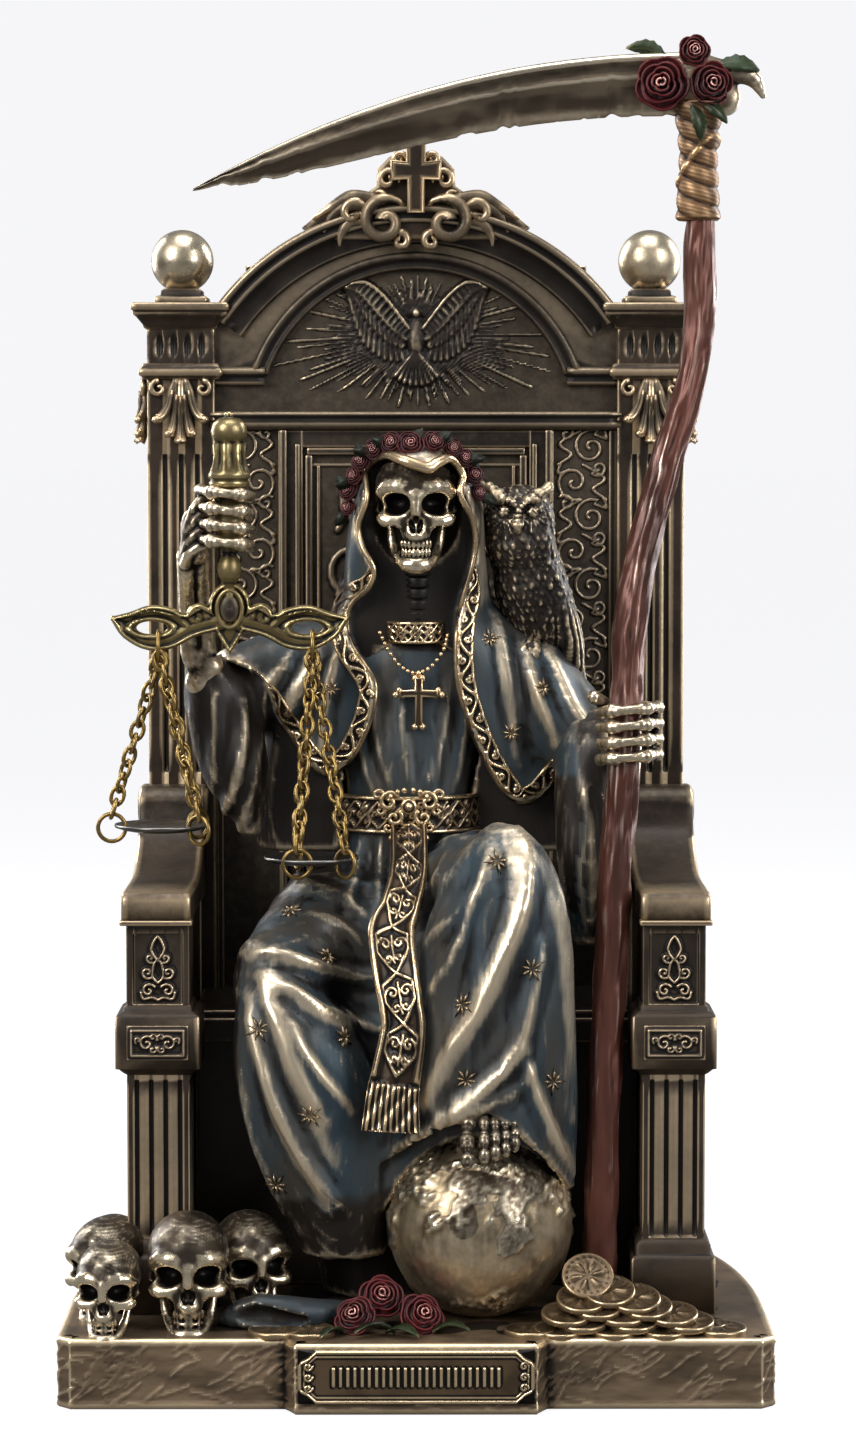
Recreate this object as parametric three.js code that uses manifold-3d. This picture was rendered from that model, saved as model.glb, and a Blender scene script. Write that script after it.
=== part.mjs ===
// A robed skeleton enthroned, holding a scythe and a hanging pair of scales: a cold-cast bronze statuette.
// Millimetres, +Z up, +X to the viewer's right, and the front faces -Y.
// The origin is under the middle of the plinth.
import * as THREE from "three";
import { mergeVertices } from "three/addons/utils/BufferGeometryUtils.js";
import Module from "manifold-3d";

const wasm = await Module();
wasm.setup();

// Driving dimensions
const GAP = 0.3; // left between separate pieces that touch
const RELIEF = 1.4; // how far carved ornament stands off its ground

const PLINTH_W = 152;
const PLINTH_D = 106; // without the bay
const PLINTH_FRONT = 50; // from the origin to the front face
const PLINTH_BACK = PLINTH_D - PLINTH_FRONT; // from the origin to the back face
const PLINTH_H = 15;
const PLINTH_CORNER = 3; // front corner bevel
const PLINTH_TAPER_Y = -10; // where the sides begin to curve in towards the back
const PLINTH_BACK_W = 116;
const BAY_W = 56; // the bay that carries the name plate
const BAY_OUT = 4.7;

const PLATE_W = 49.5;
const PLATE_H = 11.4;
const PLATE_T = 1;
const PLATE_LIFT = 0.8; // its middle over the middle of the plinth's front

const THRONE_W = 123; // over the pillars
const THRONE_INSET = 4; // from the plinth's back face to the throne's back
const PILLAR_W = 15.5;
const PILLAR_D = 16;
const PILLAR_H = 214;
const CAPITAL_H = 5.7;
const CAPITAL_OUT = 3.4;
const ASTRAGAL_H = 3.2;
const ASTRAGAL_OUT = 1.8;
const ASTRAGAL_DROP = 11.4; // from the pillar's top to the astragal's foot
const BALL_R = 7.2;
const BALL_STEP_H = 1.7; // each of two steps under the ball
const BOARD_T = 12;
const BOARD_SET = 2; // how far the back board lies behind the pillars' faces
const ARCH_RISE = 25; // of the outer arch over the pillars' tops
const TYMPANUM_W = 71;
const TYMPANUM_RISE = 25;
const TYMPANUM_Z = 204; // springing of the inner arch, over the plinth
const RAIL_Z = 190.8; // foot of the rail under the tympanum, over the plinth
const RAIL_H = 4.2;
const RAIL_OUT = 2.8; // how far the rail stands off the board
const ARC_STEPS = 10;
const PANEL_W = 60;
const SEAT_H = 62;
const SEAT_SET = 27; // how far the seat's front lies behind the posts' faces
const ARM_W = 13.6;
const ARM_OUT = 0.8; // how far the arms stand out past the pillars' sides
const ARM_LIP = 0.9; // how far the arm's cap stands over the post
const ARM_H = 91.5; // from the plinth to the arm's top at the front
const ARM_RISE = 18; // how much higher the arm meets the pillar
const ARM_REACH = 63; // from the pillar's face to the arm's front
const COLLAR_H = 11.5;
const COLLAR_Z = 53.5;
const POST_FOOT_H = 12.4;
const FLUTE_W = 1.9;
const FLUTE_DEEP = 1.1;

const FIGURE_H = 188; // from the plinth to the top of the hood
const GLOBE_R = 20.4;
const GLOBE_FACES = [12, 8]; // around and from pole to pole
const GLOBE_SUNK = 1; // so that it stands on more than a point
const SHAFT_R = 4.1;
const BLADE_T = 3.2;

const HANDLE_R = 3.3;
const BEAM_W = 52;
const BEAM_T = 2.4;
const WIRE_R = 0.5;
const LINK_PITCH = 4.9; // about what one link adds to a chain's length
const LINK_W = 3.2;
const LINK_STEPS = 4;
const BITE = 0.3; // how far fused wires run into each other
const RING_R = 3;
const RING_LONG = 1; // the hanging ring is a little taller than it is wide
const END_RING_R = 2.6;
const CHAIN_SPREAD = 0.85; // radians between neighbouring chains round the hanging ring
const PAN_R = 10.3;
const PAN_T = 0.7;
const PAN_RIM = 0.9; // how high the rim stands over the floor of the pan
const PAN_SLOPE_W = 3.6; // width of the sloping edge
const HOLE_R = 1.1;
const HOLE_SET = 2.2; // from the rim to the middle of a hole
const COIN_R = 6.6;
const COIN_T = 1.6;

const CAST_SLACK = 0.18; // how much shape a casting may lose to a smaller number of faces
const METAL_SLACK = 0.04;

// Places worked out from them
const deck = PLINTH_H;
const throneBack = PLINTH_BACK - THRONE_INSET;
const pillarFace = throneBack - PILLAR_D;
const boardFace = pillarFace + BOARD_SET;
const pillarX = THRONE_W / 2 - PILLAR_W / 2;
const innerX = THRONE_W / 2 - PILLAR_W; // the pillars' inner faces
const postFace = pillarFace - ARM_REACH + 2;
const throneFoot = deck + GAP;
const armX = THRONE_W / 2 + ARM_OUT - ARM_W / 2;
const seatTop = deck + SEAT_H;

// The figure and what it holds are drawn at this height, and every point is scaled from the plinth's top.
const DRAWN_H = 188;
const DRAWN_DECK = 15;
const scale = FIGURE_H / DRAWN_H;
const at = ([x, y, z]) => new THREE.Vector3(x * scale, y * scale, deck + (z - DRAWN_DECK) * scale);

// Solids

function volumeOf(position, index) {
  const a = new THREE.Vector3();
  const b = new THREE.Vector3();
  const c = new THREE.Vector3();
  let sum = 0;
  for (let i = 0; i < index.length; i += 3) {
    a.fromBufferAttribute(position, index[i]);
    b.fromBufferAttribute(position, index[i + 1]);
    c.fromBufferAttribute(position, index[i + 2]);
    sum += a.dot(b.cross(c));
  }
  return sum / 6;
}

// A closed geometry as a solid, its faces turned out.
function solid(geometry) {
  const bare = new THREE.BufferGeometry();
  bare.setAttribute("position", geometry.getAttribute("position"));
  bare.setIndex(geometry.index);
  const merged = mergeVertices(bare, 1e-4);
  const kept = [];
  const index = merged.index.array;
  for (let i = 0; i < index.length; i += 3) {
    const [a, b, c] = [index[i], index[i + 1], index[i + 2]];
    if (a !== b && b !== c && a !== c) kept.push(a, b, c);
  }
  if (volumeOf(merged.attributes.position, kept) < 0) kept.reverse();
  return new wasm.Manifold(
    new wasm.Mesh({
      numProp: 3,
      vertProperties: new Float32Array(merged.attributes.position.array),
      triVerts: new Uint32Array(kept),
    }),
  );
}

const join = (...parts) => parts.flat(Infinity).reduce((whole, part) => whole.add(part));
const cut = (whole, ...tools) => tools.flat(Infinity).reduce((rest, tool) => rest.subtract(tool), whole);

// A solid's corners and triangles, with corners left out where no face is lost by more than the slack:
// a corner moves onto a neighbour when that neighbour lies on the planes of all its faces, within the slack.
function thin(whole, slack) {
  const mesh = whole.getMesh();
  const corners = Array.from({ length: mesh.vertProperties.length / 3 }, (_, i) =>
    new THREE.Vector3().fromArray(mesh.vertProperties, 3 * i),
  );
  const faces = Array.from({ length: mesh.triVerts.length / 3 }, (_, i) => [
    ...mesh.triVerts.subarray(3 * i, 3 * i + 3),
  ]);
  const around = corners.map(() => new Set());
  faces.forEach((face, f) => face.forEach((corner) => around[corner].add(f)));
  const lost = new Float32Array(corners.length);
  const normalOf = ([a, b, c]) =>
    new THREE.Vector3()
      .subVectors(corners[b], corners[a])
      .cross(new THREE.Vector3().subVectors(corners[c], corners[a]));
  const neighbours = (corner) => {
    const found = new Set([...around[corner]].flatMap((f) => faces[f]));
    found.delete(corner);
    return found;
  };

  // How much shape goes when corner a moves onto b, or Infinity where it can't.
  const costOf = (a, b, near) => {
    const shared = [...neighbours(b)].filter((corner) => near.has(corner));
    if (shared.length !== 2) return Infinity;
    let cost = 0;
    for (const f of around[a]) {
      if (faces[f].includes(b)) continue;
      const before = normalOf(faces[f]);
      const after = normalOf(faces[f].map((corner) => (corner === a ? b : corner)));
      const size = before.length();
      if (after.dot(before) < 0.3 * size * after.length() || after.length() < 1e-4) return Infinity;
      if (size > 1e-6) cost = Math.max(cost, Math.abs(before.dot(corners[b].clone().sub(corners[a]))) / size);
    }
    return cost + lost[a];
  };

  const moveOnto = (a, b, cost) => {
    for (const f of [...around[a]]) {
      if (faces[f].includes(b)) {
        faces[f].forEach((corner) => around[corner].delete(f));
        faces[f] = null;
      } else {
        faces[f] = faces[f].map((corner) => (corner === a ? b : corner));
        around[b].add(f);
      }
    }
    around[a].clear();
    lost[b] = Math.max(lost[b], cost);
  };

  for (let made = 1; made > 0; ) {
    made = 0;
    for (let a = 0; a < corners.length; a++) {
      if (!around[a].size) continue;
      const near = neighbours(a);
      const moves = [...near].map((corner) => [costOf(a, corner, near), corner]);
      const [cost, b] = moves.sort((p, q) => p[0] - q[0])[0];
      if (cost > slack) continue;
      moveOnto(a, b, cost);
      made++;
    }
  }
  return { corners, faces: faces.filter(Boolean) };
}

function geometryOf(made, slack) {
  const { corners, faces } = thin(made, slack);
  return new THREE.BufferGeometry().setFromPoints(faces.flat().map((corner) => corners[corner]));
}

// A box by its middle in x and y and its foot in z.
function box(w, d, h, x, y, z) {
  return solid(new THREE.BoxGeometry(w, d, h).translate(x, y, z + h / 2));
}

// A box from low to high corner.
function span(x0, x1, y0, y1, z0, z1) {
  return box(x1 - x0, y1 - y0, z1 - z0, (x0 + x1) / 2, (y0 + y1) / 2, z0);
}

// An ellipsoid, turned about its middle.
function egg(middle, radii, turn = [0, 0, 0], wide = 8, tall = 6) {
  const shape = new THREE.SphereGeometry(1, wide, tall).rotateX(Math.PI / 2);
  shape.scale(...radii);
  shape.applyMatrix4(new THREE.Matrix4().makeRotationFromEuler(new THREE.Euler(...turn)));
  return solid(shape.translate(middle.x, middle.y, middle.z));
}

// One closed skin through rings of points, each end closed to its middle.
function skin(rings, endless = false) {
  const n = rings[0].length;
  const points = rings.flat();
  const index = [];
  const last = endless ? rings.length : rings.length - 1;
  for (let i = 0; i < last; i++) {
    for (let j = 0; j < n; j++) {
      const a = i * n + j;
      const b = i * n + ((j + 1) % n);
      const c = ((i + 1) % rings.length) * n + j;
      const d = ((i + 1) % rings.length) * n + ((j + 1) % n);
      index.push(a, b, d, a, d, c);
    }
  }
  if (!endless) {
    for (const [end, turned] of [[0, true], [rings.length - 1, false]]) {
      const middle = new THREE.Vector3();
      rings[end].forEach((p) => middle.addScaledVector(p, 1 / n));
      points.push(middle);
      for (let j = 0; j < n; j++) {
        const a = end * n + j;
        const b = end * n + ((j + 1) % n);
        index.push(...(turned ? [points.length - 1, b, a] : [points.length - 1, a, b]));
      }
    }
  }
  const geometry = new THREE.BufferGeometry().setFromPoints(points);
  geometry.setIndex(index);
  return solid(geometry);
}

// Level rings stacked up: each level is [z, x, y, half width, half depth], drawn as the figure is.
// Folds ripple the rings: count of folds, depth as a share of the radius, and the turn from foot to top.
function stack(levels, sides, [count, depth, turn] = [0, 0, 0]) {
  return skin(
    levels.map(([z, x, y, rx, ry], i) =>
      Array.from({ length: sides }, (_, j) => {
        const a = (2 * Math.PI * j) / sides;
        const r = 1 + depth * Math.cos(count * a + (turn * i) / levels.length);
        return at([x + rx * r * Math.cos(a), y + ry * r * Math.sin(a), z]);
      }),
    ),
  );
}

// A tube along drawn points. Each radius is one number, or [across, along the front-back direction].
function limb(path, radii, sides = 6, steps = (path.length - 1) * 2) {
  const curve = new THREE.CatmullRomCurve3(path.map(at));
  return tube(curve, (t) => radiusAt(radii, t).map((r) => r * scale), sides, steps);
}

function radiusAt(radii, t) {
  const place = t * (radii.length - 1);
  const i = Math.min(Math.floor(place), radii.length - 2);
  const [a, b] = [radii[i], radii[i + 1]].map((r) => (Array.isArray(r) ? r : [r, r]));
  return a.map((value, k) => THREE.MathUtils.lerp(value, b[k], place - i));
}

// A tube with its section kept level with the x axis, so that ribbons don't twist.
function tube(curve, radius, sides, steps) {
  return skin(
    Array.from({ length: steps + 1 }, (_, i) => {
      const t = i / steps;
      const middle = curve.getPoint(t);
      const along = curve.getTangent(t);
      const side = new THREE.Vector3(1, 0, 0).addScaledVector(along, -along.x);
      if (side.length() < 0.3) side.set(0, 1, 0).addScaledVector(along, -along.y);
      side.normalize();
      const up = new THREE.Vector3().crossVectors(along, side).normalize();
      const [a, b] = radius(t);
      return Array.from({ length: sides }, (_, j) => {
        const turn = (2 * Math.PI * (j + 0.5)) / sides;
        return middle
          .clone()
          .addScaledVector(side, a * Math.cos(turn))
          .addScaledVector(up, b * Math.sin(turn));
      });
    }),
  );
}

// A shape drawn in x and z, made solid from y0 back to y1.
function slab(shape, y0, y1, curveSegments = 8) {
  const made = new THREE.ExtrudeGeometry(shape, { depth: y1 - y0, bevelEnabled: false, curveSegments });
  return solid(made.rotateX(Math.PI / 2).translate(0, y1, 0));
}

// A shape drawn in y and z, made solid from x0 to x1.
function sideSlab(shape, x0, x1, curveSegments = 6) {
  const made = new THREE.ExtrudeGeometry(shape, { depth: x1 - x0, bevelEnabled: false, curveSegments });
  return solid(made.rotateX(Math.PI / 2).rotateZ(Math.PI / 2).translate(x0, 0, 0));
}

const UP = new THREE.Vector3(0, 0, 1);
const polygon = (points) => new THREE.Shape(points.map(([x, z]) => new THREE.Vector2(x, z)));
const bothSides = (make) => [-1, 1].map(make).flat();

// Plinth

function plinthSlab() {
  const shape = new THREE.Shape();
  const half = PLINTH_W / 2;
  shape.moveTo(-half + PLINTH_CORNER, -PLINTH_FRONT);
  shape.lineTo(-BAY_W / 2, -PLINTH_FRONT);
  shape.lineTo(-BAY_W / 2 + BAY_OUT / 2, -PLINTH_FRONT - BAY_OUT);
  shape.lineTo(BAY_W / 2 - BAY_OUT / 2, -PLINTH_FRONT - BAY_OUT);
  shape.lineTo(BAY_W / 2, -PLINTH_FRONT);
  shape.lineTo(half - PLINTH_CORNER, -PLINTH_FRONT);
  shape.lineTo(half, -PLINTH_FRONT + PLINTH_CORNER);
  shape.lineTo(half, PLINTH_TAPER_Y);
  shape.quadraticCurveTo(half - 1, PLINTH_BACK * 0.7, PLINTH_BACK_W / 2, PLINTH_BACK);
  shape.lineTo(-PLINTH_BACK_W / 2, PLINTH_BACK);
  shape.quadraticCurveTo(-half + 1, PLINTH_BACK * 0.7, -half, PLINTH_TAPER_Y);
  shape.lineTo(-half, -PLINTH_FRONT + PLINTH_CORNER);
  const made = new THREE.ExtrudeGeometry(shape, { depth: PLINTH_H, bevelEnabled: false, curveSegments: 7 });
  return solid(made);
}

// Rings of a skull from chin to crown: [height, middle in y, half width, half depth], 18 wide at size 1.
const SKULL_RINGS = [
  [-14, -6.4, 3.6, 2.8], [-8, -4.8, 5.3, 5.2], [-4, -3, 7.8, 6.8], [0, -0.8, 8.4, 9],
  [5, 1, 9.2, 10.4], [9, 1.2, 7.4, 8.6], [11, 1.2, 3.4, 4],
];

// A skull that looks along its own -y, with hollow eyes and nose.
function skull(middle, size, turn, n = 7) {
  const own = new THREE.Matrix4().makeRotationFromEuler(new THREE.Euler(...turn));
  const place = (x, y, z) => new THREE.Vector3(x, y, z).multiplyScalar(size).applyMatrix4(own).add(middle);
  const lump = (p, r, w, t) => egg(place(...p), r.map((v) => v * size), turn, w, t);
  const head = skin(
    SKULL_RINGS.map(([z, y, rx, ry]) =>
      Array.from({ length: n }, (_, j) => {
        const a = (2 * Math.PI * (j + 0.5)) / n;
        return place(rx * Math.cos(a), y + ry * Math.sin(a), z);
      }),
    ),
  );
  return cut(
    head,
    bothSides((s) => lump([s * 3.7, -9.2, -0.4], [2.8, 3.4, 2.7], 5, 3)),
    lump([0, -9.6, -5], [1.5, 2.8, 2], 3, 3),
  );
}

// A rose: rings of petals round a bud, facing along the given direction.
function rose(middle, radius, face, petals = 6) {
  const toward = new THREE.Quaternion().setFromUnitVectors(
    new THREE.Vector3(0, 0, 1),
    new THREE.Vector3(...face).normalize(),
  );
  const outline = [[0, -0.6], [1, 0], [0.8, 0.42], [0.5, 0.1], [0, 0.5]];
  const bloom = new THREE.LatheGeometry(
    outline.map(([r, z]) => new THREE.Vector2(r * radius, z * radius)),
    petals,
  );
  bloom.rotateX(Math.PI / 2).applyQuaternion(toward);
  return solid(bloom.translate(middle.x, middle.y, middle.z));
}

function leaf(middle, length, turn) {
  return egg(middle, [length / 2, length / 4, length / 12], turn, 4, 3);
}

function coin(x, y, z, turn = [0, 0, 0]) {
  const disc = new THREE.CylinderGeometry(COIN_R, COIN_R, COIN_T, 8).rotateX(Math.PI / 2);
  disc.applyMatrix4(new THREE.Matrix4().makeRotationFromEuler(new THREE.Euler(...turn)));
  return solid(disc.translate(x, y, z + COIN_T / 2));
}

// Coins lie flat and in a slumped pile, and one leans on the pile.
function coins() {
  const sunk = 0.4;
  const onDeck = deck - sunk;
  const flat = [[60, -38], [23, -46]].map(([x, y]) => coin(x, y, onDeck));
  const step = COIN_T * 1.6;
  const slump = [0.08, 0.14, 0];
  const lean = [0.95, 0, 0.1];
  const pile = Array.from({ length: 3 }, (_, i) => coin(50 - 4 * i, -37 + 0.4 * i, onDeck + step * i, slump));
  return [...flat, ...pile, coin(37, -38.5, deck + COIN_R * 0.7, lean)];
}

const globeMiddle = new THREE.Vector3(13.8 * scale, -25 * scale, deck + GLOBE_R - GLOBE_SUNK);

// The end of the robe lies on the plinth among the skulls.
function flap() {
  const path = [[-39, -38, 17], [-31, -40, 19.4], [-22, -38, 18], [-12, -30, 17]];
  return limb(path, [[2.6, 1.6], [4.6, 2.6], [4, 2], [3, 2]], 5, 5);
}

// The plinth's skulls: [x, y, size, turn], drawn as the figure is.
const PLINTH_SKULLS = [
  [-48.5, -37, 0.96, 0.05], [-65, -42, 0.76, -0.1], [-67.6, -25, 0.9, -0.5], [-35.6, -23, 0.86, 0.3],
];
const SKULL_CHIN = 14; // from a skull's middle down to its chin at size 1
const SKULL_SUNK = 0.8;

// The things on the plinth are cast with it, and cut clear of the throne's posts.
function plinth() {
  const skulls = PLINTH_SKULLS.map(([x, y, size, turn]) =>
    skull(at([x, y, DRAWN_DECK + SKULL_CHIN * size - SKULL_SUNK]), size, [0, 0, turn]),
  );
  const flowers = [
    rose(at([-13, -43, 18.6]), 5.2, [-0.2, -0.8, 0.6]),
    rose(at([-7, -38.6, 20.6]), 5, [0, -0.6, 0.8]),
    rose(at([1.5, -43, 18.2]), 5, [0.3, -0.8, 0.5]),
  ];
  const leaves = [
    leaf(at([-7, -48, 15.6]), 9, [0.3, 0, 0.5]),
    leaf(at([6, -47.6, 15.6]), 7, [0.3, 0, -0.4]),
  ];
  const globe = egg(globeMiddle, [GLOBE_R, GLOBE_R, GLOBE_R], [0, 0, 0], ...GLOBE_FACES);
  return cut(
    join(plinthSlab(), globe, skulls, flowers, leaves, coins(), flap()),
    bothSides((s) => [postFoot(s, GAP, 2 * POST_FOOT_H), sidePanel(s, GAP)]),
  );
}

// Name plate: a bracket-ended plate with a raised rim and rows of strokes.
function plateShape(w, h) {
  const shape = new THREE.Shape();
  const end = h * 0.34; // length of a bracket
  shape.moveTo(-w / 2 + end, -h / 2);
  shape.lineTo(w / 2 - end, -h / 2);
  shape.quadraticCurveTo(w / 2 - end * 0.7, -h * 0.3, w / 2, -h * 0.22);
  shape.lineTo(w / 2, h * 0.22);
  shape.quadraticCurveTo(w / 2 - end * 0.7, h * 0.3, w / 2 - end, h / 2);
  shape.lineTo(-w / 2 + end, h / 2);
  shape.quadraticCurveTo(-w / 2 + end * 0.7, h * 0.3, -w / 2, h * 0.22);
  shape.lineTo(-w / 2, -h * 0.22);
  shape.quadraticCurveTo(-w / 2 + end * 0.7, -h * 0.3, -w / 2 + end, -h / 2);
  return shape;
}

function namePlate() {
  const rim = 1.1;
  const back = -PLINTH_FRONT - BAY_OUT - GAP;
  const fieldShape = plateShape(PLATE_W - 2 * rim, PLATE_H - 2 * rim);
  const field = slab(fieldShape, back - PLATE_T - 1, back - PLATE_T * 0.55, 2);
  const strokes = 7;
  const strokeW = 0.9;
  const pitch = (PLATE_W * 0.66) / strokes;
  const tall = PLATE_H * 0.16;
  const marks = Array.from({ length: strokes }, (_, i) => {
    const x = (i - (strokes - 1) / 2) * pitch;
    return span(x - strokeW / 2, x + strokeW / 2, back - PLATE_T * 0.85, back - PLATE_T * 0.4, -tall, tall);
  });
  const made = join(cut(slab(plateShape(PLATE_W, PLATE_H), back - PLATE_T, back, 2), field), marks);
  return made.translate([0, 0, PLINTH_H / 2 + PLATE_LIFT]);
}

// Throne

// Grooves cut up a face that looks along -y, or along x when out is -1 or 1.
function flutes(count, middle, face, z0, z1, pitch, out = 0) {
  return Array.from({ length: count }, (_, i) => {
    const place = middle + (i - (count - 1) / 2) * pitch;
    const [a, b] = [place - FLUTE_W / 2, place + FLUTE_W / 2];
    if (!out) return span(a, b, face - 1, face + FLUTE_DEEP, z0, z1);
    const [x0, x1] = [face - out * FLUTE_DEEP, face + out].sort((p, q) => p - q);
    return span(x0, x1, a, b, z0, z1);
  });
}

// A spreading leaf of broad lobes that hangs from the astragal on a pillar's face.
function acanthus(x, y, z, turn, lobes) {
  const reach = PILLAR_W * 0.5;
  return Array.from({ length: lobes }, (_, i) => {
    const lean = (i - (lobes - 1) / 2) * 0.42;
    const long = reach * (1.2 - 0.3 * Math.abs(lean));
    const lobe = new THREE.OctahedronGeometry(1).scale(PILLAR_W * 0.13, RELIEF * 1.3, long);
    lobe.rotateY(-lean).translate(Math.sin(lean) * long * 0.6, 0, -Math.cos(lean) * long * 0.75);
    return solid(lobe.rotateZ(turn).translate(x, y, z));
  });
}

function pillar(s) {
  const x = s * pillarX;
  const y = pillarFace + PILLAR_D / 2;
  const top = deck + PILLAR_H;
  const astragal = top - ASTRAGAL_DROP;
  const fluteFoot = deck + ARM_H + ARM_RISE + 2;
  const fluteTop = astragal - 17;
  const pitch = PILLAR_W * 0.25;
  const shaft = cut(
    span(x - PILLAR_W / 2, x + PILLAR_W / 2, pillarFace, throneBack, throneFoot, top),
    flutes(3, x, pillarFace, fluteFoot, fluteTop, pitch),
    flutes(2, y, x + (s * PILLAR_W) / 2, fluteFoot, fluteTop, pitch * 1.5, s),
  );
  const flareH = CAPITAL_H * 0.55;
  const flare = new THREE.CylinderGeometry(
    (PILLAR_W / 2 + CAPITAL_OUT) * Math.SQRT2,
    (PILLAR_W / 2 + CAPITAL_OUT * 0.4) * Math.SQRT2,
    flareH,
    4,
  );
  flare.rotateX(Math.PI / 2).rotateZ(Math.PI / 4).translate(x, y, top + flareH / 2);
  const slabFoot = top + flareH - 0.1;
  const slabTop = top + CAPITAL_H;
  const ballFoot = slabTop + BALL_STEP_H * 2 - 0.8;
  return join(
    shaft,
    box(PILLAR_W + 2 * ASTRAGAL_OUT, PILLAR_D + 2 * ASTRAGAL_OUT, ASTRAGAL_H, x, y, astragal),
    solid(flare),
    box(PILLAR_W + 2 * CAPITAL_OUT, PILLAR_D + 2 * CAPITAL_OUT, slabTop - slabFoot, x, y, slabFoot),
    box(PILLAR_W * 0.78, PILLAR_D * 0.78, BALL_STEP_H, x, y, slabTop - 0.1),
    box(PILLAR_W * 0.6, PILLAR_D * 0.6, BALL_STEP_H, x, y, slabTop + BALL_STEP_H - 0.2),
    egg(new THREE.Vector3(x, y, ballFoot + BALL_R), [BALL_R, BALL_R, BALL_R], [0, 0, 0], 10, 6),
    acanthus(x, pillarFace, astragal, 0, 5),
    acanthus(x + (s * PILLAR_W) / 2, y, astragal, Math.PI / 2, 3),
  );
}

// The arc with a given half width at its springing and a given rise.
function arc(half, rise, springing) {
  const radius = (half ** 2 + rise ** 2) / (2 * rise);
  return { radius, half, middle: springing + rise - radius, top: springing + rise };
}

// The part of a circle about the arc's middle that lies between x = -half and half, from right to left.
function arcPoints({ middle }, radius, half) {
  const spread = Math.asin(half / radius);
  return Array.from({ length: ARC_STEPS + 1 }, (_, i) => {
    const a = Math.PI / 2 - spread + (2 * spread * i) / ARC_STEPS;
    return [radius * Math.cos(a), middle + radius * Math.sin(a)];
  });
}

// A moulding that runs along an arc, standing off the board.
function archBand(curve, width, out, outset = 0) {
  const outer = arcPoints(curve, curve.radius + outset, curve.half);
  const inner = arcPoints(curve, curve.radius + outset - width, curve.half - width * 0.35);
  return slab(polygon([...outer, ...inner.reverse()]), boardFace - out, boardFace + 1);
}

const outerArc = arc(innerX + 1, ARCH_RISE, deck + PILLAR_H + 3);
const innerArc = arc(TYMPANUM_W / 2, TYMPANUM_RISE, deck + TYMPANUM_Z);
const archTop = outerArc.top;
const panelFoot = seatTop;
const panelTop = deck + RAIL_Z;
const sideMiddle = (PANEL_W / 2 + innerX) / 2;
const sideW = innerX - PANEL_W / 2;

// The back board: a sunk field under the arch, a framed panel in the middle and a narrow one at each side.
function backBoard() {
  const half = outerArc.half;
  const arch = arcPoints(outerArc, outerArc.radius - 0.6, half);
  const outline = [[-half, throneFoot], [half, throneFoot], ...arch];
  const board = slab(polygon(outline), boardFace, boardFace + BOARD_T);
  const front = boardFace - 1;
  const sunk = boardFace + RELIEF;
  const field = [...arcPoints(innerArc, innerArc.radius, innerArc.half), [-TYMPANUM_W / 2, panelTop + 1]];
  field.push([TYMPANUM_W / 2, panelTop + 1]);
  const lip = 4;
  const panelH = panelTop - panelFoot;
  const beadX = (s, set) => s * (PANEL_W / 2 - set);
  const bead = (x, w, y, short) => box(w, 2 * RELIEF, panelH - short, x, y, panelFoot);
  return join(
    cut(
      board,
      slab(polygon(field), front, sunk),
      span(-innerX, innerX, front, sunk, panelTop + 1, innerArc.top - TYMPANUM_RISE - 1.6),
      span(-PANEL_W / 2 + lip, PANEL_W / 2 - lip, front, sunk, panelFoot, panelTop - lip),
      bothSides((s) => box(sideW - 3, 2 * RELIEF, panelH - 2, s * sideMiddle, boardFace, panelFoot)),
    ),
    archBand(outerArc, 2.6, 4.6),
    archBand(outerArc, 7.4, 2.6, -1),
    archBand(innerArc, 2.6, 2.2, 2.6),
    bothSides((s) => {
      const [x0, x1] = [s * (TYMPANUM_W / 2), s * (innerX + 1)].sort((a, b) => a - b);
      return span(x0, x1, boardFace - 2.2, boardFace + 2, deck + TYMPANUM_Z - 1.4, deck + TYMPANUM_Z + 1.2);
    }),
    span(-innerX - 1, innerX + 1, boardFace - RAIL_OUT, boardFace + 2, panelTop, panelTop + RAIL_H),
    bothSides((s) => bead(beadX(s, 0.6), 1.5, boardFace, 0.4)),
    bothSides((s) => bead(beadX(s, lip + 2), 1.3, boardFace + 0.8, lip + 2)),
    box(PANEL_W - 2 * lip, 2.6, 1.3, 0, boardFace + 0.7, panelTop - lip - 2.8),
  );
}

// A curl in x and z: a spiral stroke from its outer end inwards.
function curl(x, z, radius, start, turns, hand, thick, y) {
  const points = Array.from({ length: 8 }, (_, i) => {
    const t = i / 7;
    const r = radius * (1 - 0.72 * t);
    const a = start + hand * turns * 2 * Math.PI * t;
    return new THREE.Vector3(x + r * Math.cos(a), y, z + r * Math.sin(a));
  });
  return tube(new THREE.CatmullRomCurve3(points), (t) => [thick * (1 - 0.4 * t), thick * 1.6], 4, 7);
}

// Vines wave up the two narrow panels.
function vines() {
  const low = seatTop + 46;
  const high = panelTop - 3;
  const waves = 3;
  return bothSides((s) => {
    const points = Array.from({ length: 2 * waves + 1 }, (_, i) =>
      new THREE.Vector3(
        s * sideMiddle + (i % 2 ? 1 : -1) * sideW * 0.24,
        boardFace + RELIEF * 0.7,
        low + ((high - low) * i) / (2 * waves),
      ),
    );
    return tube(new THREE.CatmullRomCurve3(points), () => [0.9, 1.4], 4, 3 * waves);
  });
}

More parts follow.
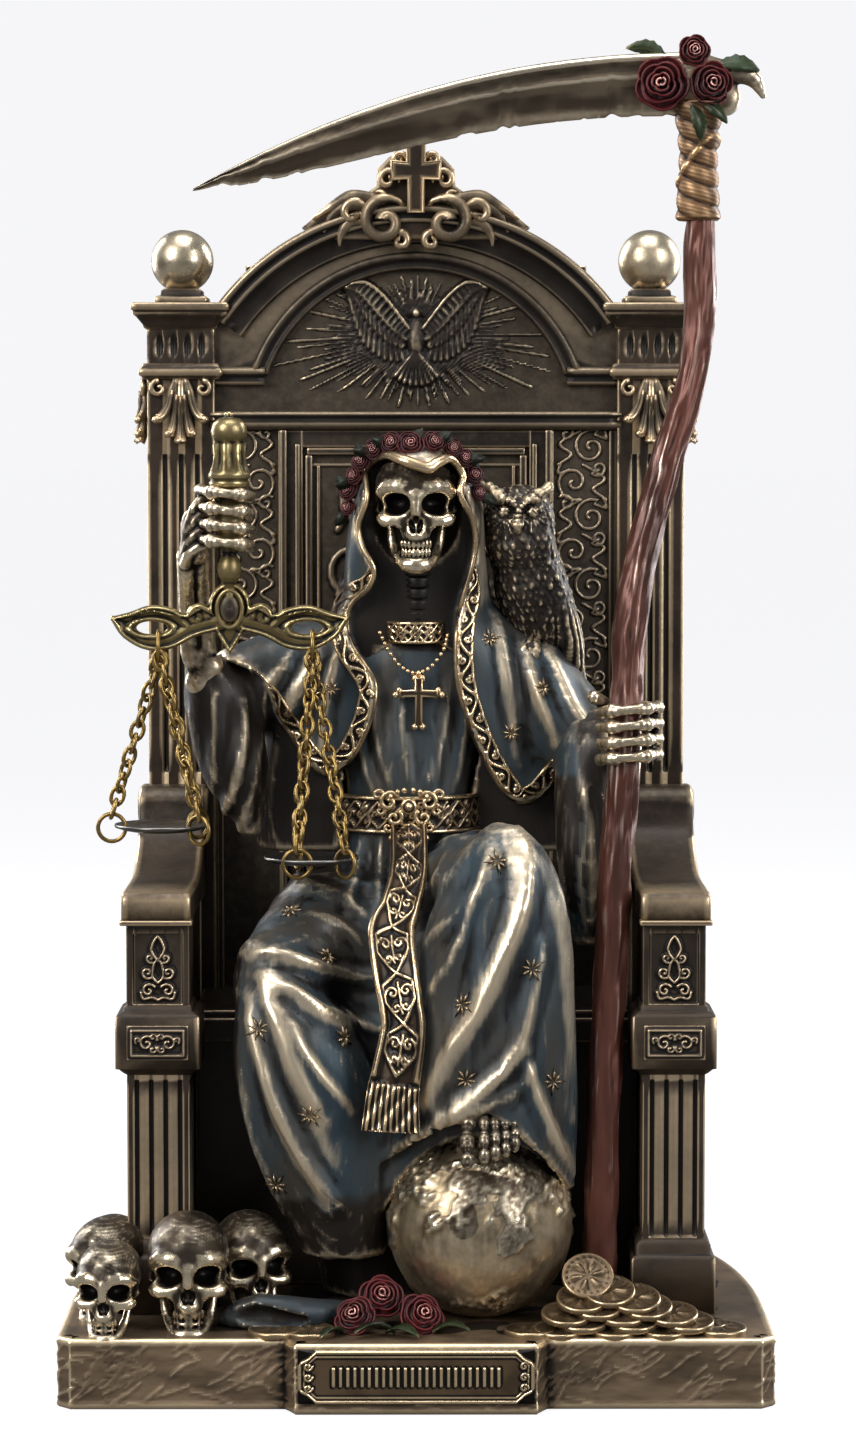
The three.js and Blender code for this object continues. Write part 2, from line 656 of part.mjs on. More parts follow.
// A dove with spread wings on a burst of rays.
function dove() {
  const z = deck + TYMPANUM_Z + 8;
  const y = boardFace + RELIEF * 0.6;
  const rays = 15;
  const clear = 7; // rays begin this far from the dove's middle
  const burst = Array.from({ length: rays }, (_, i) => {
    const a = (2 * Math.PI * (i + 0.25)) / rays;
    const reach = Math.sin(a) > 0 ? 13 + 12 * Math.abs(Math.cos(a)) : 14 + 19 * Math.cos(a) ** 2;
    const ray = new THREE.OctahedronGeometry(1).scale((reach - clear) / 2, 1.5, 1.1).rotateY(-a);
    const middle = (reach + clear) / 2;
    return solid(ray.translate(Math.cos(a) * middle, y + 0.6, z + Math.sin(a) * middle));
  });
  const wing = [
    [1, -3], [6, -3.4], [10, -0.6], [11.6, 3.6], [13.6, 9], [10, 8], [8.4, 9.8], [6.6, 6], [4.4, 7], [1, 2],
  ];
  const wings = bothSides((s) => slab(polygon(wing.map(([x, rise]) => [s * x, z + rise])), y - 1.8, y + 2));
  return [
    ...burst,
    ...wings,
    egg(new THREE.Vector3(0, y, z - 1.4), [2.3, 3, 5.6], [0, 0, 0], 6, 4),
    egg(new THREE.Vector3(0, y - 0.6, z + 4.6), [1.5, 2.2, 1.7], [0, 0, 0], 5, 3),
  ];
}

// The crest: a rough mount with scrolls that sit on the arch, and a plain cross.
function crest() {
  const rise = [
    [26, -5.6], [22, -2], [17, -0.4], [12, 2.4], [9.6, 4.6], [9.4, 8.6], [6.4, 11.4], [2.6, 12.4],
  ];
  const foot = -8;
  const outline = [...rise, ...rise.map(([x, z]) => [-x, z]).reverse(), [-20, foot], [20, foot]];
  const mount = slab(
    polygon(outline.map(([x, z]) => [x, archTop + z])),
    boardFace - 3,
    boardFace + BOARD_T * 0.6,
  );
  const y = boardFace - 4;
  const scrolls = bothSides((s) => [
    curl(s * 7.4, archTop - 3.4, 5.6, s > 0 ? Math.PI * 0.9 : Math.PI * 0.1, 0.95, -s, 1.2, y + 0.6),
    curl(s * 15.6, archTop - 1.4, 3.6, s > 0 ? 0 : Math.PI, 0.7, s, 1, y + 0.8),
  ]);
  const cross = [
    span(-1.9, 1.9, y - 1.8, y + 2, archTop - 2.2, archTop + 15.2),
    span(-5.6, 5.6, y - 1.8, y + 2, archTop + 6, archTop + 9.8),
  ];
  return [mount, ...scrolls, ...cross];
}

function armRest(s) {
  const top = deck + ARM_H;
  const high = top + ARM_RISE;
  const low = top - 7;
  const front = postFace - 2;
  const roll = 4.6;
  const shape = new THREE.Shape();
  shape.moveTo(pillarFace + 1, low);
  shape.lineTo(front, low);
  shape.lineTo(front, top - 2.6);
  shape.quadraticCurveTo(front, top, front + 3, top);
  shape.lineTo(front + ARM_REACH * 0.36, top);
  const rollY = pillarFace - roll;
  const rollZ = high - roll;
  const dip = top + ARM_RISE * 0.3;
  shape.bezierCurveTo(front + ARM_REACH * 0.66, top, pillarFace - 14, dip, rollY - 4.2, rollZ);
  shape.absarc(rollY, rollZ, roll, Math.PI, Math.PI / 2, true);
  shape.lineTo(pillarFace + 1, high);
  const x = s * armX;
  return sideSlab(shape, x - ARM_W / 2 - ARM_LIP / 2, x + ARM_W / 2 + ARM_LIP, 4);
}

const postD = ARM_W + 0.6;

// The block under a front post, larger all round by extra.
function postFoot(s, extra = 0, tall = POST_FOOT_H) {
  const [w, d] = [ARM_W + 4.6, postD + 4];
  return box(w + 2 * extra, d + 2 * extra, tall, s * armX, postFace + postD / 2, throneFoot - extra);
}

// The closed side under an arm, behind the post.
function sidePanel(s, extra = 0) {
  const low = throneFoot - extra;
  const high = deck + ARM_H - 3;
  const middle = (postFace + pillarFace) / 2 + 3;
  return box(ARM_W - 2.4 + 2 * extra, pillarFace - postFace - 2, high - low, s * armX, middle, low);
}

// A front post: fluted shaft, bevelled collar and a panelled block under the arm.
function post(s) {
  const x = s * armX;
  const y = postFace + postD / 2;
  const collar = deck + COLLAR_Z;
  const collarOut = 2.3;
  const stepH = 3.4;
  const bevel = new THREE.CylinderGeometry(
    (ARM_W / 2) * Math.SQRT2, (ARM_W / 2 + collarOut) * Math.SQRT2, 1.6, 4,
  );
  bevel.rotateX(Math.PI / 2).rotateZ(Math.PI / 4).translate(x, y, collar + COLLAR_H + 0.7);
  const panel = collar + COLLAR_H + stepH;
  const panelH = deck + ARM_H - 9 - panel;
  const fluteFoot = throneFoot + POST_FOOT_H + stepH + 3;
  const shaft = cut(
    box(ARM_W, postD, ARM_H - 5, x, y, throneFoot),
    flutes(3, x, postFace, fluteFoot, collar - 2, ARM_W * 0.25),
    box(ARM_W - 3.4, 2 * 0.8, panelH, x, postFace, panel),
  );
  const petals = 3;
  const palmette = Array.from({ length: petals }, (_, i) => {
    const lean = (i - (petals - 1) / 2) * 0.9;
    const petal = new THREE.OctahedronGeometry(1).scale(1.3, 1.6, 4.2).translate(0, 0, 3.4).rotateY(lean);
    return solid(petal.translate(x, postFace + 0.5, panel + 3));
  });
  return join(
    shaft,
    postFoot(s),
    box(ARM_W + 2.6, postD + 2, stepH, x, y, throneFoot + POST_FOOT_H - 0.1),
    box(ARM_W + 2 * collarOut, postD + 2 * collarOut, COLLAR_H, x, y, collar),
    solid(bevel),
    box(ARM_W - 2.4, postD, COLLAR_H - 4.6, x, y - collarOut - 0.5, collar + 2.3),
    palmette,
  );
}

const seatHalf = armX - ARM_W / 2 + 1;
const seatFront = postFace + SEAT_SET;

// The seat's block and its moulding, larger by extra at the front and on top.
function seat(extra = 0) {
  const lip = 2;
  return [
    span(-seatHalf, seatHalf, seatFront - extra, boardFace + 2, throneFoot - extra, seatTop + extra),
    span(-seatHalf, seatHalf, seatFront - lip - extra, boardFace + 2, seatTop - 7, seatTop - 1.5 + extra),
  ];
}

function throne() {
  const flanks = bothSides((s) => [sidePanel(s), pillar(s), post(s), armRest(s)]);
  return join(backBoard(), seat(), flanks, crest(), dove(), vines());
}

// Figure, drawn in its own height

// A finger of bone: knuckles and hollows along a bent path.
const finger = (path, r = 1.5) => limb(path, [r, r * 0.85, r, r * 0.8], 3, 4);

// Fingers that close round an upright rod: each leaves the knuckles at one side and ends at the other.
function fist([x, y], heights, hold, s) {
  const r = hold + 0.9;
  return heights.map((z) =>
    finger([
      [x - s * (r + 1.4), y + 1.5, z],
      [x - s * r, y - r * 0.75, z + 0.3],
      [x, y - r * 1.12, z + 0.4],
      [x + s * r, y - r * 0.6, z - 0.2],
      [x + s * r * 0.9, y + 1, z - 0.6],
    ]),
  );
}

const HANDLE_AT = [-40.4, -12];
const GRIP_AT = [45.2, -19];

function robeLegs() {
  const farLeg = [
    limb([[-8, 16, 92], [-20, -5, 95], [-29, -23, 89.5]], [15, 14, 10.5], 6, 2),
    stack(
      [
        [30, -15.5, -23, 9.5, 9], [42, -18.4, -24, 13, 11.4], [56, -22, -25, 15.2, 13],
        [70, -25, -25.8, 14.6, 13.8], [84, -28.6, -25.4, 10.2, 11.4], [95, -30.4, -23, 4, 5],
      ],
      10, [4, 0.07, 2.4],
    ),
  ];
  const nearLeg = [
    limb([[8, 14, 96], [13, -10, 106], [18, -27, 110]], [15, 13.5, 10], 6, 2),
    stack(
      [
        [42, 14, -23, 20.5, 17], [62, 14.2, -25.6, 20.8, 15.8], [86, 16.2, -28.4, 17.8, 13.4],
        [104, 17.8, -29.4, 14.2, 11.6], [115, 18.6, -29, 9.4, 8.4], [121.4, 18.8, -28.5, 3, 3],
      ],
      12, [5, 0.06, 3],
    ),
  ];
  const lap = stack(
    [[DRAWN_DECK, 0, -6, 20, 8], [60, -2, -8, 26, 13], [94, -3, -2, 28, 17], [106, -2, 6, 24, 15]],
    7,
  );
  return [...farLeg, ...nearLeg, lap];
}

// The edge of the robe's hem over the foot, in x and z.
const HEM = [[-8, 38], [-8, 48], [-2, 53], [6, 59], [14.6, 61.6], [20, 58], [27, 51], [33, 42], [36, 38]];

function torso() {
  const body = stack(
    [
      [95, -1, 12, 23, 16], [112, -1.6, 10, 16, 12], [125, -2, 9.5, 14, 11.5],
      [140, -1, 11, 18, 11.4], [152, 0, 12, 20, 11], [163, 0, 11, 6.4, 7.5],
    ],
    9,
  );
  const belt = stack([[116.6, -2, 9.5, 16, 13.2], [125.4, -2, 9.5, 16, 13.2]], 9);
  const neckband = stack([[158.8, 0, 8, 7, 7.4], [163, 0, 8, 6.6, 7]], 8);
  const neck = limb([[0.4, 7, 160], [0.4, 4.6, 190]], [3.4, 3.4], 6, 1);
  const buckle = egg(at([-1.6, -3, 121.6]), [6, 2, 5.4], [0, 0, 0], 6, 4);
  const cross = [
    limb([[0.6, 0.2, 141.8], [0.6, 1.4, 153]], [[1.8, 1.4], [1.8, 1.4]], 4, 1),
    limb([[-3.4, 1.2, 149.4], [4.6, 1.2, 149.4]], [[1.4, 1.8], [1.4, 1.8]], 4, 1),
  ];
  const sash = limb(
    [
      [-1, -3.5, 117], [-1.6, -8, 110], [-6, -20, 103], [-8, -32, 92], [-6, -37, 80],
      [-5.4, -39.4, 69], [-5, -40.6, 57],
    ],
    [[3.9, 1.2], [4.6, 1.4], [6, 1.5], [6.6, 1.5], [6.4, 1.5], [6.8, 1.5], [7.2, 1.7]],
    4, 7,
  );
  return [body, belt, neckband, neck, buckle, ...cross, sash];
}

// The right-hand edge of the veil's opening, from its lower point up to the hood, and the left-hand one, from
// the hood down.
const EDGE_RIGHT = [
  [21.6, 1, 124], [12.4, -2.4, 138], [10.4, -3, 154], [13.4, -2, 176], [11.4, -3, 190], [7.4, -4.4, 199],
];
const EDGE_LEFT = [
  [-7, -4.4, 199], [-10.8, -3, 190], [-12.6, -2, 178], [-9.6, -3, 156], [-14.4, -2.4, 141],
  [-17.4, -1.6, 130],
];
const BROW = [0.2, -5, 198]; // the dip of the hood's rim between them

// The veil: one shell from the crown over the shoulders, open in front, its lower edge cut in two points.
function veil() {
  const shell = stack(
    [
      [112, 2, 15, 38, 17], [124, 1, 14, 38, 17], [140, 0, 13, 35.4, 17], [150, -0.5, 12, 31, 16.2],
      [158, 0, 11, 24, 15.2], [166, 0, 9.4, 17, 13.6], [176, 0, 8, 14.8, 13.2],
      [190, 0.3, 6.8, 13.6, 14.4], [199.6, 0.3, 8, 9.2, 11.4], [DRAWN_DECK + DRAWN_H, 0.3, 8, 2.5, 4],
    ],
    12,
  );
  const lower = [[40, 0, 143], [64, 0, 146], [64, 0, 90], [-64, 0, 90], [-64, 0, 150], [-40, 0, 151]];
  const outline = [BROW, ...[...EDGE_RIGHT].reverse(), ...lower, ...[...EDGE_LEFT].reverse()];
  const opening = polygon(outline.map((p) => [at(p).x, at(p).z]));
  const hollow = egg(at([0.3, -2, 186]), [11.6 * scale, 9.5 * scale, 12.4 * scale], [0, 0, 0], 8, 6);
  const rim = limb([...EDGE_RIGHT, BROW, ...EDGE_LEFT], [[1, 2.6], [1.2, 3], [1.2, 3], [1, 2.6]], 4, 12);
  return join(cut(shell, slab(opening, -60, at([0, 3.4, 0]).y), hollow), rim);
}

// Roses set round the hood, the highest over the brow.
function crown() {
  const count = 7;
  return Array.from({ length: count }, (_, i) => {
    const a = Math.PI * (0.05 + (0.9 * i) / (count - 1));
    const low = 1 - Math.sin(a);
    return rose(
      at([0.3 + 12 * Math.cos(a), -3.5 + 5 * low, 187 + 14 * Math.sin(a) ** 0.8]),
      (i % 2 ? 3.2 : 3.6) * scale,
      [Math.cos(a), -0.75, Math.sin(a)],
      5,
    );
  });
}

// The arm raised to the balance, its sleeve fallen to the elbow, and the arm that holds the scythe.
function arms() {
  const [hx, hy] = HANDLE_AT;
  const [gx, gy] = GRIP_AT;
  const hold = HANDLE_R / scale;
  const grip = SHAFT_R / scale;
  const raised = [
    limb([[-18, 13, 150], [-32, 9, 150], [-43, 5, 147]], [11, 10, 7.5], 6, 2),
    stack(
      [
        [117, -36.4, 1, 2, 2.6], [130, -40, 1.6, 7.6, 7], [147, -43.6, 2, 7.4, 7],
        [156, -46.6, 0.6, 4.4, 4.6],
      ],
      7,
    ),
    limb([[-46, 2, 146], [-48, -1, 162], [-47, -5, 178], [-45.5, -8, 187]], [3.6, 2.5, 2.4, 3.4], 5, 3),
    egg(at([-46.4, -9.4, 186]), [2.8, 4.4, 7.4], [0, 0.1, 0], 6, 4),
    fist([hx, hy], [191.4, 188, 184.6, 181.2], hold, 1),
  ];
  const resting = [
    limb([[18, 13, 150], [31, 11, 142], [40, 2, 132]], [11, 9.5, 8], 6, 2),
    limb([[37, 4, 134], [44, -8, 137], [50.6, -15, 139]], [6, 3.4, 2.8], 5, 2),
    stack([[94, 38, -5, 3.5, 3], [112, 38.2, -5.6, 7, 5.6], [134, 38.6, -1, 8, 8.4]], 7),
    egg(at([51.4, -17, 140.4]), [2.8, 4.4, 8.4], [0, 0, 0], 6, 4),
    fist([gx, gy], [145.2, 141.8, 138.4, 135.2], grip, -1),
  ];
  return [...raised, ...resting];
}

function foot() {
  const toes = Array.from({ length: 5 }, (_, i) => {
    const x = 10.6 + i * 2.2;
    const back = 0.7 * i;
    const root = [x + (2 - i) * 0.2, -33, 60.5 - i * 0.4];
    return finger([root, [x, -40.4 + back * 0.4, 57], [x, -44 + back, 51.6]], 1.1);
  });
  return [egg(at([14.8, -33, 59]), [5.6, 6, 3.6], [0.4, 0, 0], 8, 5), ...toes];
}

// The owl perched at the shoulder, turned a little to the front.
function owl() {
  return [
    egg(at([26.4, 10.4, 170.6]), [9, 8.4, 15.8], [0.12, 0.26, 0], 7, 6),
    egg(at([22.6, 7.2, 186.6]), [7.8, 7, 7], [0, 0.1, 0], 7, 5),
    bothSides((s) => egg(at([22.6 + s * 5.6, 4.6, 191.4]), [1.9, 1.9, 3.6], [0, s * 0.7, 0], 4, 2)),
    bothSides((s) => egg(at([22.4 + s * 3.1, 1.2, 186.6]), [2.8, 1.5, 2.8], [0, 0, 0], 6, 2)),
    egg(at([22.3, 0.2, 184.8]), [0.9, 1.6, 2], [0, 0, 0], 4, 2),
    egg(at([33, 12.4, 165]), [3.2, 6, 14.6], [0.1, -0.28, 0], 6, 4),
    egg(at([34, 15.4, 151]), [3.6, 2, 9.4], [0.1, -0.3, 0], 4, 3),
  ];
}

const SIX_ROUND = 1.16; // a six-sided rod this much wider holds a round one
const SKULL_AT = [0.4, 0.4, 188.6]; // the skull's middle

// What the figure sits on, leans on and holds is cut clear of it by the fitting gap.
function figure() {
  const hem = polygon(HEM.map(([x, z]) => [at([x, 0, z]).x, at([x, 0, z]).z]));
  const hemDeep = at([0, -30, 0]).y;
  const head = skull(at(SKULL_AT), scale, [0.06, 0, 0], 10);
  const globeRoom = GLOBE_R + GAP;
  const room = (SHAFT_R + GAP) * SIX_ROUND / scale;
  const hold = (HANDLE_R + GAP) * SIX_ROUND / scale;
  const whole = join(robeLegs(), torso(), veil(), arms(), owl(), crown(), head);
  const cloth = cut(whole, slab(hem, -PLINTH_W, hemDeep));
  return cut(
    join(cloth, foot()),
    egg(globeMiddle, [globeRoom, globeRoom, globeRoom], [0, 0, 0], ...GLOBE_FACES),
    span(-THRONE_W, THRONE_W, -PLINTH_W, throneBack, 0, deck + GAP),
    seat(GAP),
    span(-THRONE_W, THRONE_W, boardFace - RAIL_OUT - GAP, 2 * THRONE_W, deck, deck + PILLAR_H),
    limb([[42, -21.8, 90], [44.4, -19.4, 128], [...GRIP_AT, 142], [47, -16, 170]], [room, room], 6, 3),
    limb([[...HANDLE_AT, 168], [...HANDLE_AT, 212]], [hold, hold], 6, 1),
  );
}

// Scythe

const SHAFT_TOP_Y = -8.4;
const BLADE_TOP = 287; // drawn height of the blade's back at the socket
const BLADE_BOW = 29.6; // how far the back comes down towards the tip
const shaftPath = [
  [39.6, -23, DRAWN_DECK], [40.4, -23, 60], [42.2, -21.6, 95], [44.4, -19.4, 128], [...GRIP_AT, 142],
  [47, -16, 170], [53.6, -12, 196], [60.6, -9, 222], [61.4, SHAFT_TOP_Y, 250], [60.8, SHAFT_TOP_Y, 279],
];

function shaft() {
  const curve = new THREE.CatmullRomCurve3(shaftPath.map(at));
  return tube(curve, (t) => [SHAFT_R - 0.5 * t, SHAFT_R - 0.5 * t], 7, 11);
}

// The blade: pointed sections along a bow, from the socket to the tip, thickest along a ridge near the back.
function blade() {
  const stations = 9;
  const [heel, tip] = [60, -48.2];
  return skin(
    Array.from({ length: stations }, (_, i) => {
      const t = i / (stations - 1);
      const x = THREE.MathUtils.lerp(heel, tip, t);
      const top = BLADE_TOP - BLADE_BOW * t ** 2.1;
      const tall = (13.4 - 2.6 * t) * (1 - t ** 5) + 0.5;
      const half = (BLADE_T / 2) * (1 - 0.75 * t);
      const section = [[0, 0], [-half, 0.3], [-half * 0.4, 0.62], [0, 1], [half * 0.4, 0.62], [half, 0.3]];
      return section.map(([y, down]) => at([x, SHAFT_TOP_Y + y, top - tall * down]));
    }),
  );
}

// The head of the scythe: the socket under roses, the cord wrap below it and the spur behind.
function scytheHead() {
  const y = SHAFT_TOP_Y;
  const wrap = limb([[60.8, y, 251.4], [61, y, 262], [60.6, y, 275]], [4.9, 4.5, 5, 4.7], 7, 3);
  const socket = egg(at([60.4, y, 280]), [7.4, 4.8, 7], [0, 0, 0], 6, 4);
  const spurPath = [[62, y, 281], [69, y, 282.4], [73.4, y, 281], [75.4, y, 277.6]];
  const spur = limb(spurPath, [[2.6, 2.6], [1.8, 2.2], [0.5, 0.5]], 5, 4);
  const flowers = [
    rose(at([52.8, y - 4, 280.2]), 6.6 * scale, [-0.2, -1, -0.05]),
    rose(at([63.4, y - 4.4, 279.4]), 5.2 * scale, [0.2, -1, -0.05]),
    rose(at([59.4, y - 2.4, BLADE_TOP]), 4.4 * scale, [0.05, -0.9, 0.4], 5),
    rose(at([58, y + 4, 281]), 5.4 * scale, [0, 1, 0.2], 5),
  ];
  const leaves = [
    leaf(at([51.6, y - 1, BLADE_TOP - 0.6]), 9, [0, 0.3, 0.2]),
    leaf(at([69.4, y - 1, 284]), 9, [0, -0.1, 0.3]),
    leaf(at([58.4, y - 4, 273.4]), 8, [1.3, 1.2, 0]),
  ];
  return [wrap, socket, spur, ...flowers, ...leaves];
}

function scythe() {
  return cut(
    join(shaft(), blade(), scytheHead()),
    span(-PLINTH_W, PLINTH_W, -PLINTH_W, PLINTH_W, -PLINTH_H, deck + GAP),
  );
}

// Scales

const BEAM_AT = 164.2; // drawn height of the beam's middle

function handle() {
  const profile = [
    [0, 209.6], [1.2, 208.4], [3.6, 205.6], [3.9, 202.8], [3.2, 200.8], [4.2, 194.4], [3.2, 192.8],
    [3.2, 180], [2.4, 178.6], [2.3, 174.8], [3.1, 172.2], [2.4, 169.6], [0, 168.8],
  ];
  const [x, y] = HANDLE_AT;
  const grow = (HANDLE_R / 3.2) * scale;
  const turned = new THREE.LatheGeometry(
    profile.map(([r, z]) => new THREE.Vector2(r * grow, (z - BEAM_AT) * scale)),
    8,
  );
  const middle = at([x, y, BEAM_AT]);
  return solid(turned.rotateX(Math.PI / 2).translate(middle.x, middle.y, middle.z));
}

const beamY = HANDLE_AT[1] * scale;
const beamX = HANDLE_AT[0] * scale;
const beamZ = deck + (BEAM_AT - DRAWN_DECK) * scale;
const SLOT_X = 17; // from the handle to the middle of a slot
const SLOT_Z = -1;
const SLOT_R = [4.8, 2];
const SLOT_FLOOR_T = 2.7; // the metal under a slot

function beamShape() {
  const half = BEAM_W / 2;
  const shape = new THREE.Shape();
  const low = SLOT_Z - SLOT_R[1] - SLOT_FLOOR_T;
  shape.moveTo(0, -6.4);
  shape.lineTo(2.6, -2.4);
  shape.bezierCurveTo(half * 0.3, -2.6, half * 0.45, low, half * 0.7, low);
  shape.bezierCurveTo(half * 0.88, low, half * 0.97, -2.6, half, 1);
  shape.quadraticCurveTo(half * 0.86, 2.6, half * 0.7, 2.4);
  shape.quadraticCurveTo(half * 0.4, 3.4, 5, 0.6);
  shape.lineTo(4.4, 5.2);
  shape.quadraticCurveTo(2.6, 8, 0, 8);
  shape.quadraticCurveTo(-2.6, 8, -4.4, 5.2);
  shape.lineTo(-5, 0.6);
  shape.quadraticCurveTo(-half * 0.4, 3.4, -half * 0.7, 2.4);
  shape.quadraticCurveTo(-half * 0.86, 2.6, -half, 1);
  shape.bezierCurveTo(-half * 0.97, -2.6, -half * 0.88, low, -half * 0.7, low);
  shape.bezierCurveTo(-half * 0.45, low, -half * 0.3, -2.6, -2.6, -2.4);
  for (const s of [-1, 1]) {
    const slot = new THREE.Path();
    slot.absellipse(s * SLOT_X, SLOT_Z, ...SLOT_R, 0, 2 * Math.PI, false);
    shape.holes.push(slot);
  }
  return shape;
}

// The beam is a flat plate with a slot in each arm and a raised oval setting in the middle.
function balanceBeam() {
  const setting = egg(new THREE.Vector3(0, -BEAM_T / 2, 2.6), [3.2, 1, 4.2], [0, 0, 0], 6, 4);
  return join(slab(beamShape(), -BEAM_T / 2, BEAM_T / 2, 3), setting).translate([beamX, beamY, beamZ]);
}

function balance() {
  return join(handle(), balanceBeam());
}

// A ring of wire about a middle, in the plane whose normal is given, with a flat side across each end of up.
// The wire's section has a corner on the inner side, so that two rings that hang in each other meet there.
// Its length and width are those of the wire's core.
function wireRing(middle, normal, up, width, length, wireSides, steps) {
  const n = normal.clone().addScaledVector(up, -normal.dot(up) / up.lengthSq()).normalize();
  const u = up.clone().normalize();
  const v = new THREE.Vector3().crossVectors(n, u);
  const reach = 1 / Math.cos(Math.PI / steps);
  return skin(
    Array.from({ length: steps }, (_, i) => {
      const a = (2 * Math.PI * (i + 0.5)) / steps;
      const out = u.clone().multiplyScalar(Math.cos(a)).addScaledVector(v, Math.sin(a));
      const core = middle
        .clone()
        .addScaledVector(u, (reach * Math.cos(a) * length) / 2)
        .addScaledVector(v, (reach * Math.sin(a) * width) / 2);
      return Array.from({ length: wireSides }, (_, j) => {
        const b = Math.PI + (2 * Math.PI * j) / wireSides;
        return core
          .clone()
          .addScaledVector(out, WIRE_R * Math.cos(b))
          .addScaledVector(n, WIRE_R * Math.sin(b));
      });
    }),
    true,
  );
}

// Each pan: how far its ring hangs from the handle, the pan's drop, its swing forward and sideways, where the
// chains meet its rim as turns from the right, and how far, in radians, each end ring is turned from the rim.
const HANG = [
  {
    name: "left", eye: -15.4, drop: 45, forward: 0.6, shift: 0.5,
    spots: [0.5, -0.11, 0.13], turned: [0, 0, 0],
  },
  {
    name: "right", eye: 18, drop: 51.5, forward: 6, shift: -0.2,
    spots: [-0.29, -0.13, 0.3], turned: [0.9, 0, 0],
  },
];
function placesOf({ eye, drop, forward, shift }) {
  const ring = new THREE.Vector3(beamX + eye, beamY, beamZ + SLOT_Z - SLOT_R[1] + WIRE_R + GAP);
  ring.z -= RING_R + RING_LONG / 2;
  const pan = new THREE.Vector3(ring.x + shift, beamY - forward, beamZ - drop);
  return { ring, pan };
}

const hangingRing = (side) =>
  wireRing(placesOf(side).ring, new THREE.Vector3(1, 0, 0), UP, 2 * RING_R, 2 * RING_R + RING_LONG, 3, 8);

function panHole(middle, a) {
  const r = PAN_R - HOLE_SET;
  return new THREE.Vector3(r * Math.cos(a), r * Math.sin(a), 0).add(middle);
}

function pan(side) {
  const middle = placesOf(side).pan;
  const flat = PAN_R - PAN_SLOPE_W;
  const under = [[0, -PAN_T], [flat, -PAN_T], [PAN_R, -PAN_T + PAN_RIM]];
  const outline = [...under, [PAN_R, PAN_RIM], [flat, 0], [0, 0]];
  const dish = new THREE.LatheGeometry(outline.map(([r, z]) => new THREE.Vector2(r, z)), 12);
  return cut(
    solid(dish.rotateX(Math.PI / 2).translate(middle.x, middle.y, middle.z)),
    side.spots.map((turn) => {
      const hole = panHole(middle, turn * 2 * Math.PI);
      return box(2 * HOLE_R, 2 * HOLE_R, 6, hole.x, hole.y, hole.z - 3);
    }),
  );
}

// A chain of fused links from the hanging ring to the ring in the pan's hole. Each link is turned a quarter
// from the last, and the whole chain twists evenly, so that both ends cross their rings.
function chain(side, index) {
  const { ring, pan: middle } = placesOf(side);
  const spot = side.spots[index] * 2 * Math.PI;
  const order = [...side.spots].map((turn) => Math.sin(turn * 2 * Math.PI)).sort((a, b) => a - b);
  const around = (order.indexOf(Math.sin(spot)) - 1) * CHAIN_SPREAD;
  const hook = ring.clone();
  hook.y += Math.sin(around) * RING_R;
  hook.z -= Math.cos(around) * (RING_R + RING_LONG / 2) - 2 * WIRE_R;
  const hole = panHole(middle, spot);
  const facing = spot + side.turned[index];
  const outward = new THREE.Vector3(Math.cos(facing), Math.sin(facing), 0);
  const endRing = hole.clone().addScaledVector(outward, END_RING_R).add(new THREE.Vector3(0, 0, 0.5));
  const foot = endRing.clone().add(new THREE.Vector3(0, 0, END_RING_R - WIRE_R * 0.62));
  const along = foot.clone().sub(hook);
  const count = Math.round(along.length() / LINK_PITCH);
  const pitch = along.length() / count;
  const first = Math.PI / 2;
  const last = Math.atan2(outward.y, outward.x);
  const quarters = ((count - 1) * Math.PI) / 2;
  const spare = last - first - quarters;
  const twist = spare - Math.round(spare / Math.PI) * Math.PI;
  const coreW = LINK_W - 2 * WIRE_R;
  const coreLength = pitch + 2 * WIRE_R * Math.cos(Math.PI / LINK_STEPS) - BITE;
  const links = Array.from({ length: count }, (_, i) => {
    const a = first + (i * Math.PI) / 2 + (twist * i) / (count - 1);
    const core = hook.clone().addScaledVector(along, (i + 0.5) / count);
    const across = new THREE.Vector3(Math.cos(a), Math.sin(a), 0);
    return wireRing(core, across, along, coreW, coreLength, 3, LINK_STEPS);
  });
  const tangent = new THREE.Vector3(-outward.y, outward.x, 0);
  return join(links, wireRing(endRing, tangent, UP, 2 * END_RING_R, 2 * END_RING_R, 3, 7));
}

// The named pieces

const finishes = {
  bronze: new THREE.MeshStandardMaterial({ color: 0x4a3a2a, metalness: 0.7, roughness: 0.45 }),
  plate: new THREE.MeshStandardMaterial({ color: 0x6b5232, metalness: 0.8, roughness: 0.4 }),
  robe: new THREE.MeshStandardMaterial({ color: 0x35485a, metalness: 0.5, roughness: 0.45 }),
  wood: new THREE.MeshStandardMaterial({ color: 0x6a3a30, metalness: 0.4, roughness: 0.5 }),
  brass: new THREE.MeshStandardMaterial({ color: 0x8a7434, metalness: 0.9, roughness: 0.35 }),
  steel: new THREE.MeshStandardMaterial({ color: 0x5c5a58, metalness: 0.9, roughness: 0.35 }),
};
const statuette = new THREE.Group();

function piece(name, made, finish, slack = METAL_SLACK) {
  const mesh = new THREE.Mesh(geometryOf(made, slack), finishes[finish]);
  mesh.name = name;
  statuette.add(mesh);
}

piece("plinth", plinth(), "bronze", CAST_SLACK);
piece("name_plate", namePlate(), "plate");
piece("throne", throne(), "bronze", CAST_SLACK);
piece("figure", figure(), "robe", CAST_SLACK);
piece("scythe", scythe(), "wood", CAST_SLACK);
piece("balance", balance(), "brass");
for (const side of HANG) {
  piece(`${side.name}_hanging_ring`, hangingRing(side), "brass");
  piece(`${side.name}_pan`, pan(side), "steel");
  side.spots.forEach((_, i) => piece(`${side.name}_chain_${i + 1}`, chain(side, i), "brass"));
}

export default statuette;
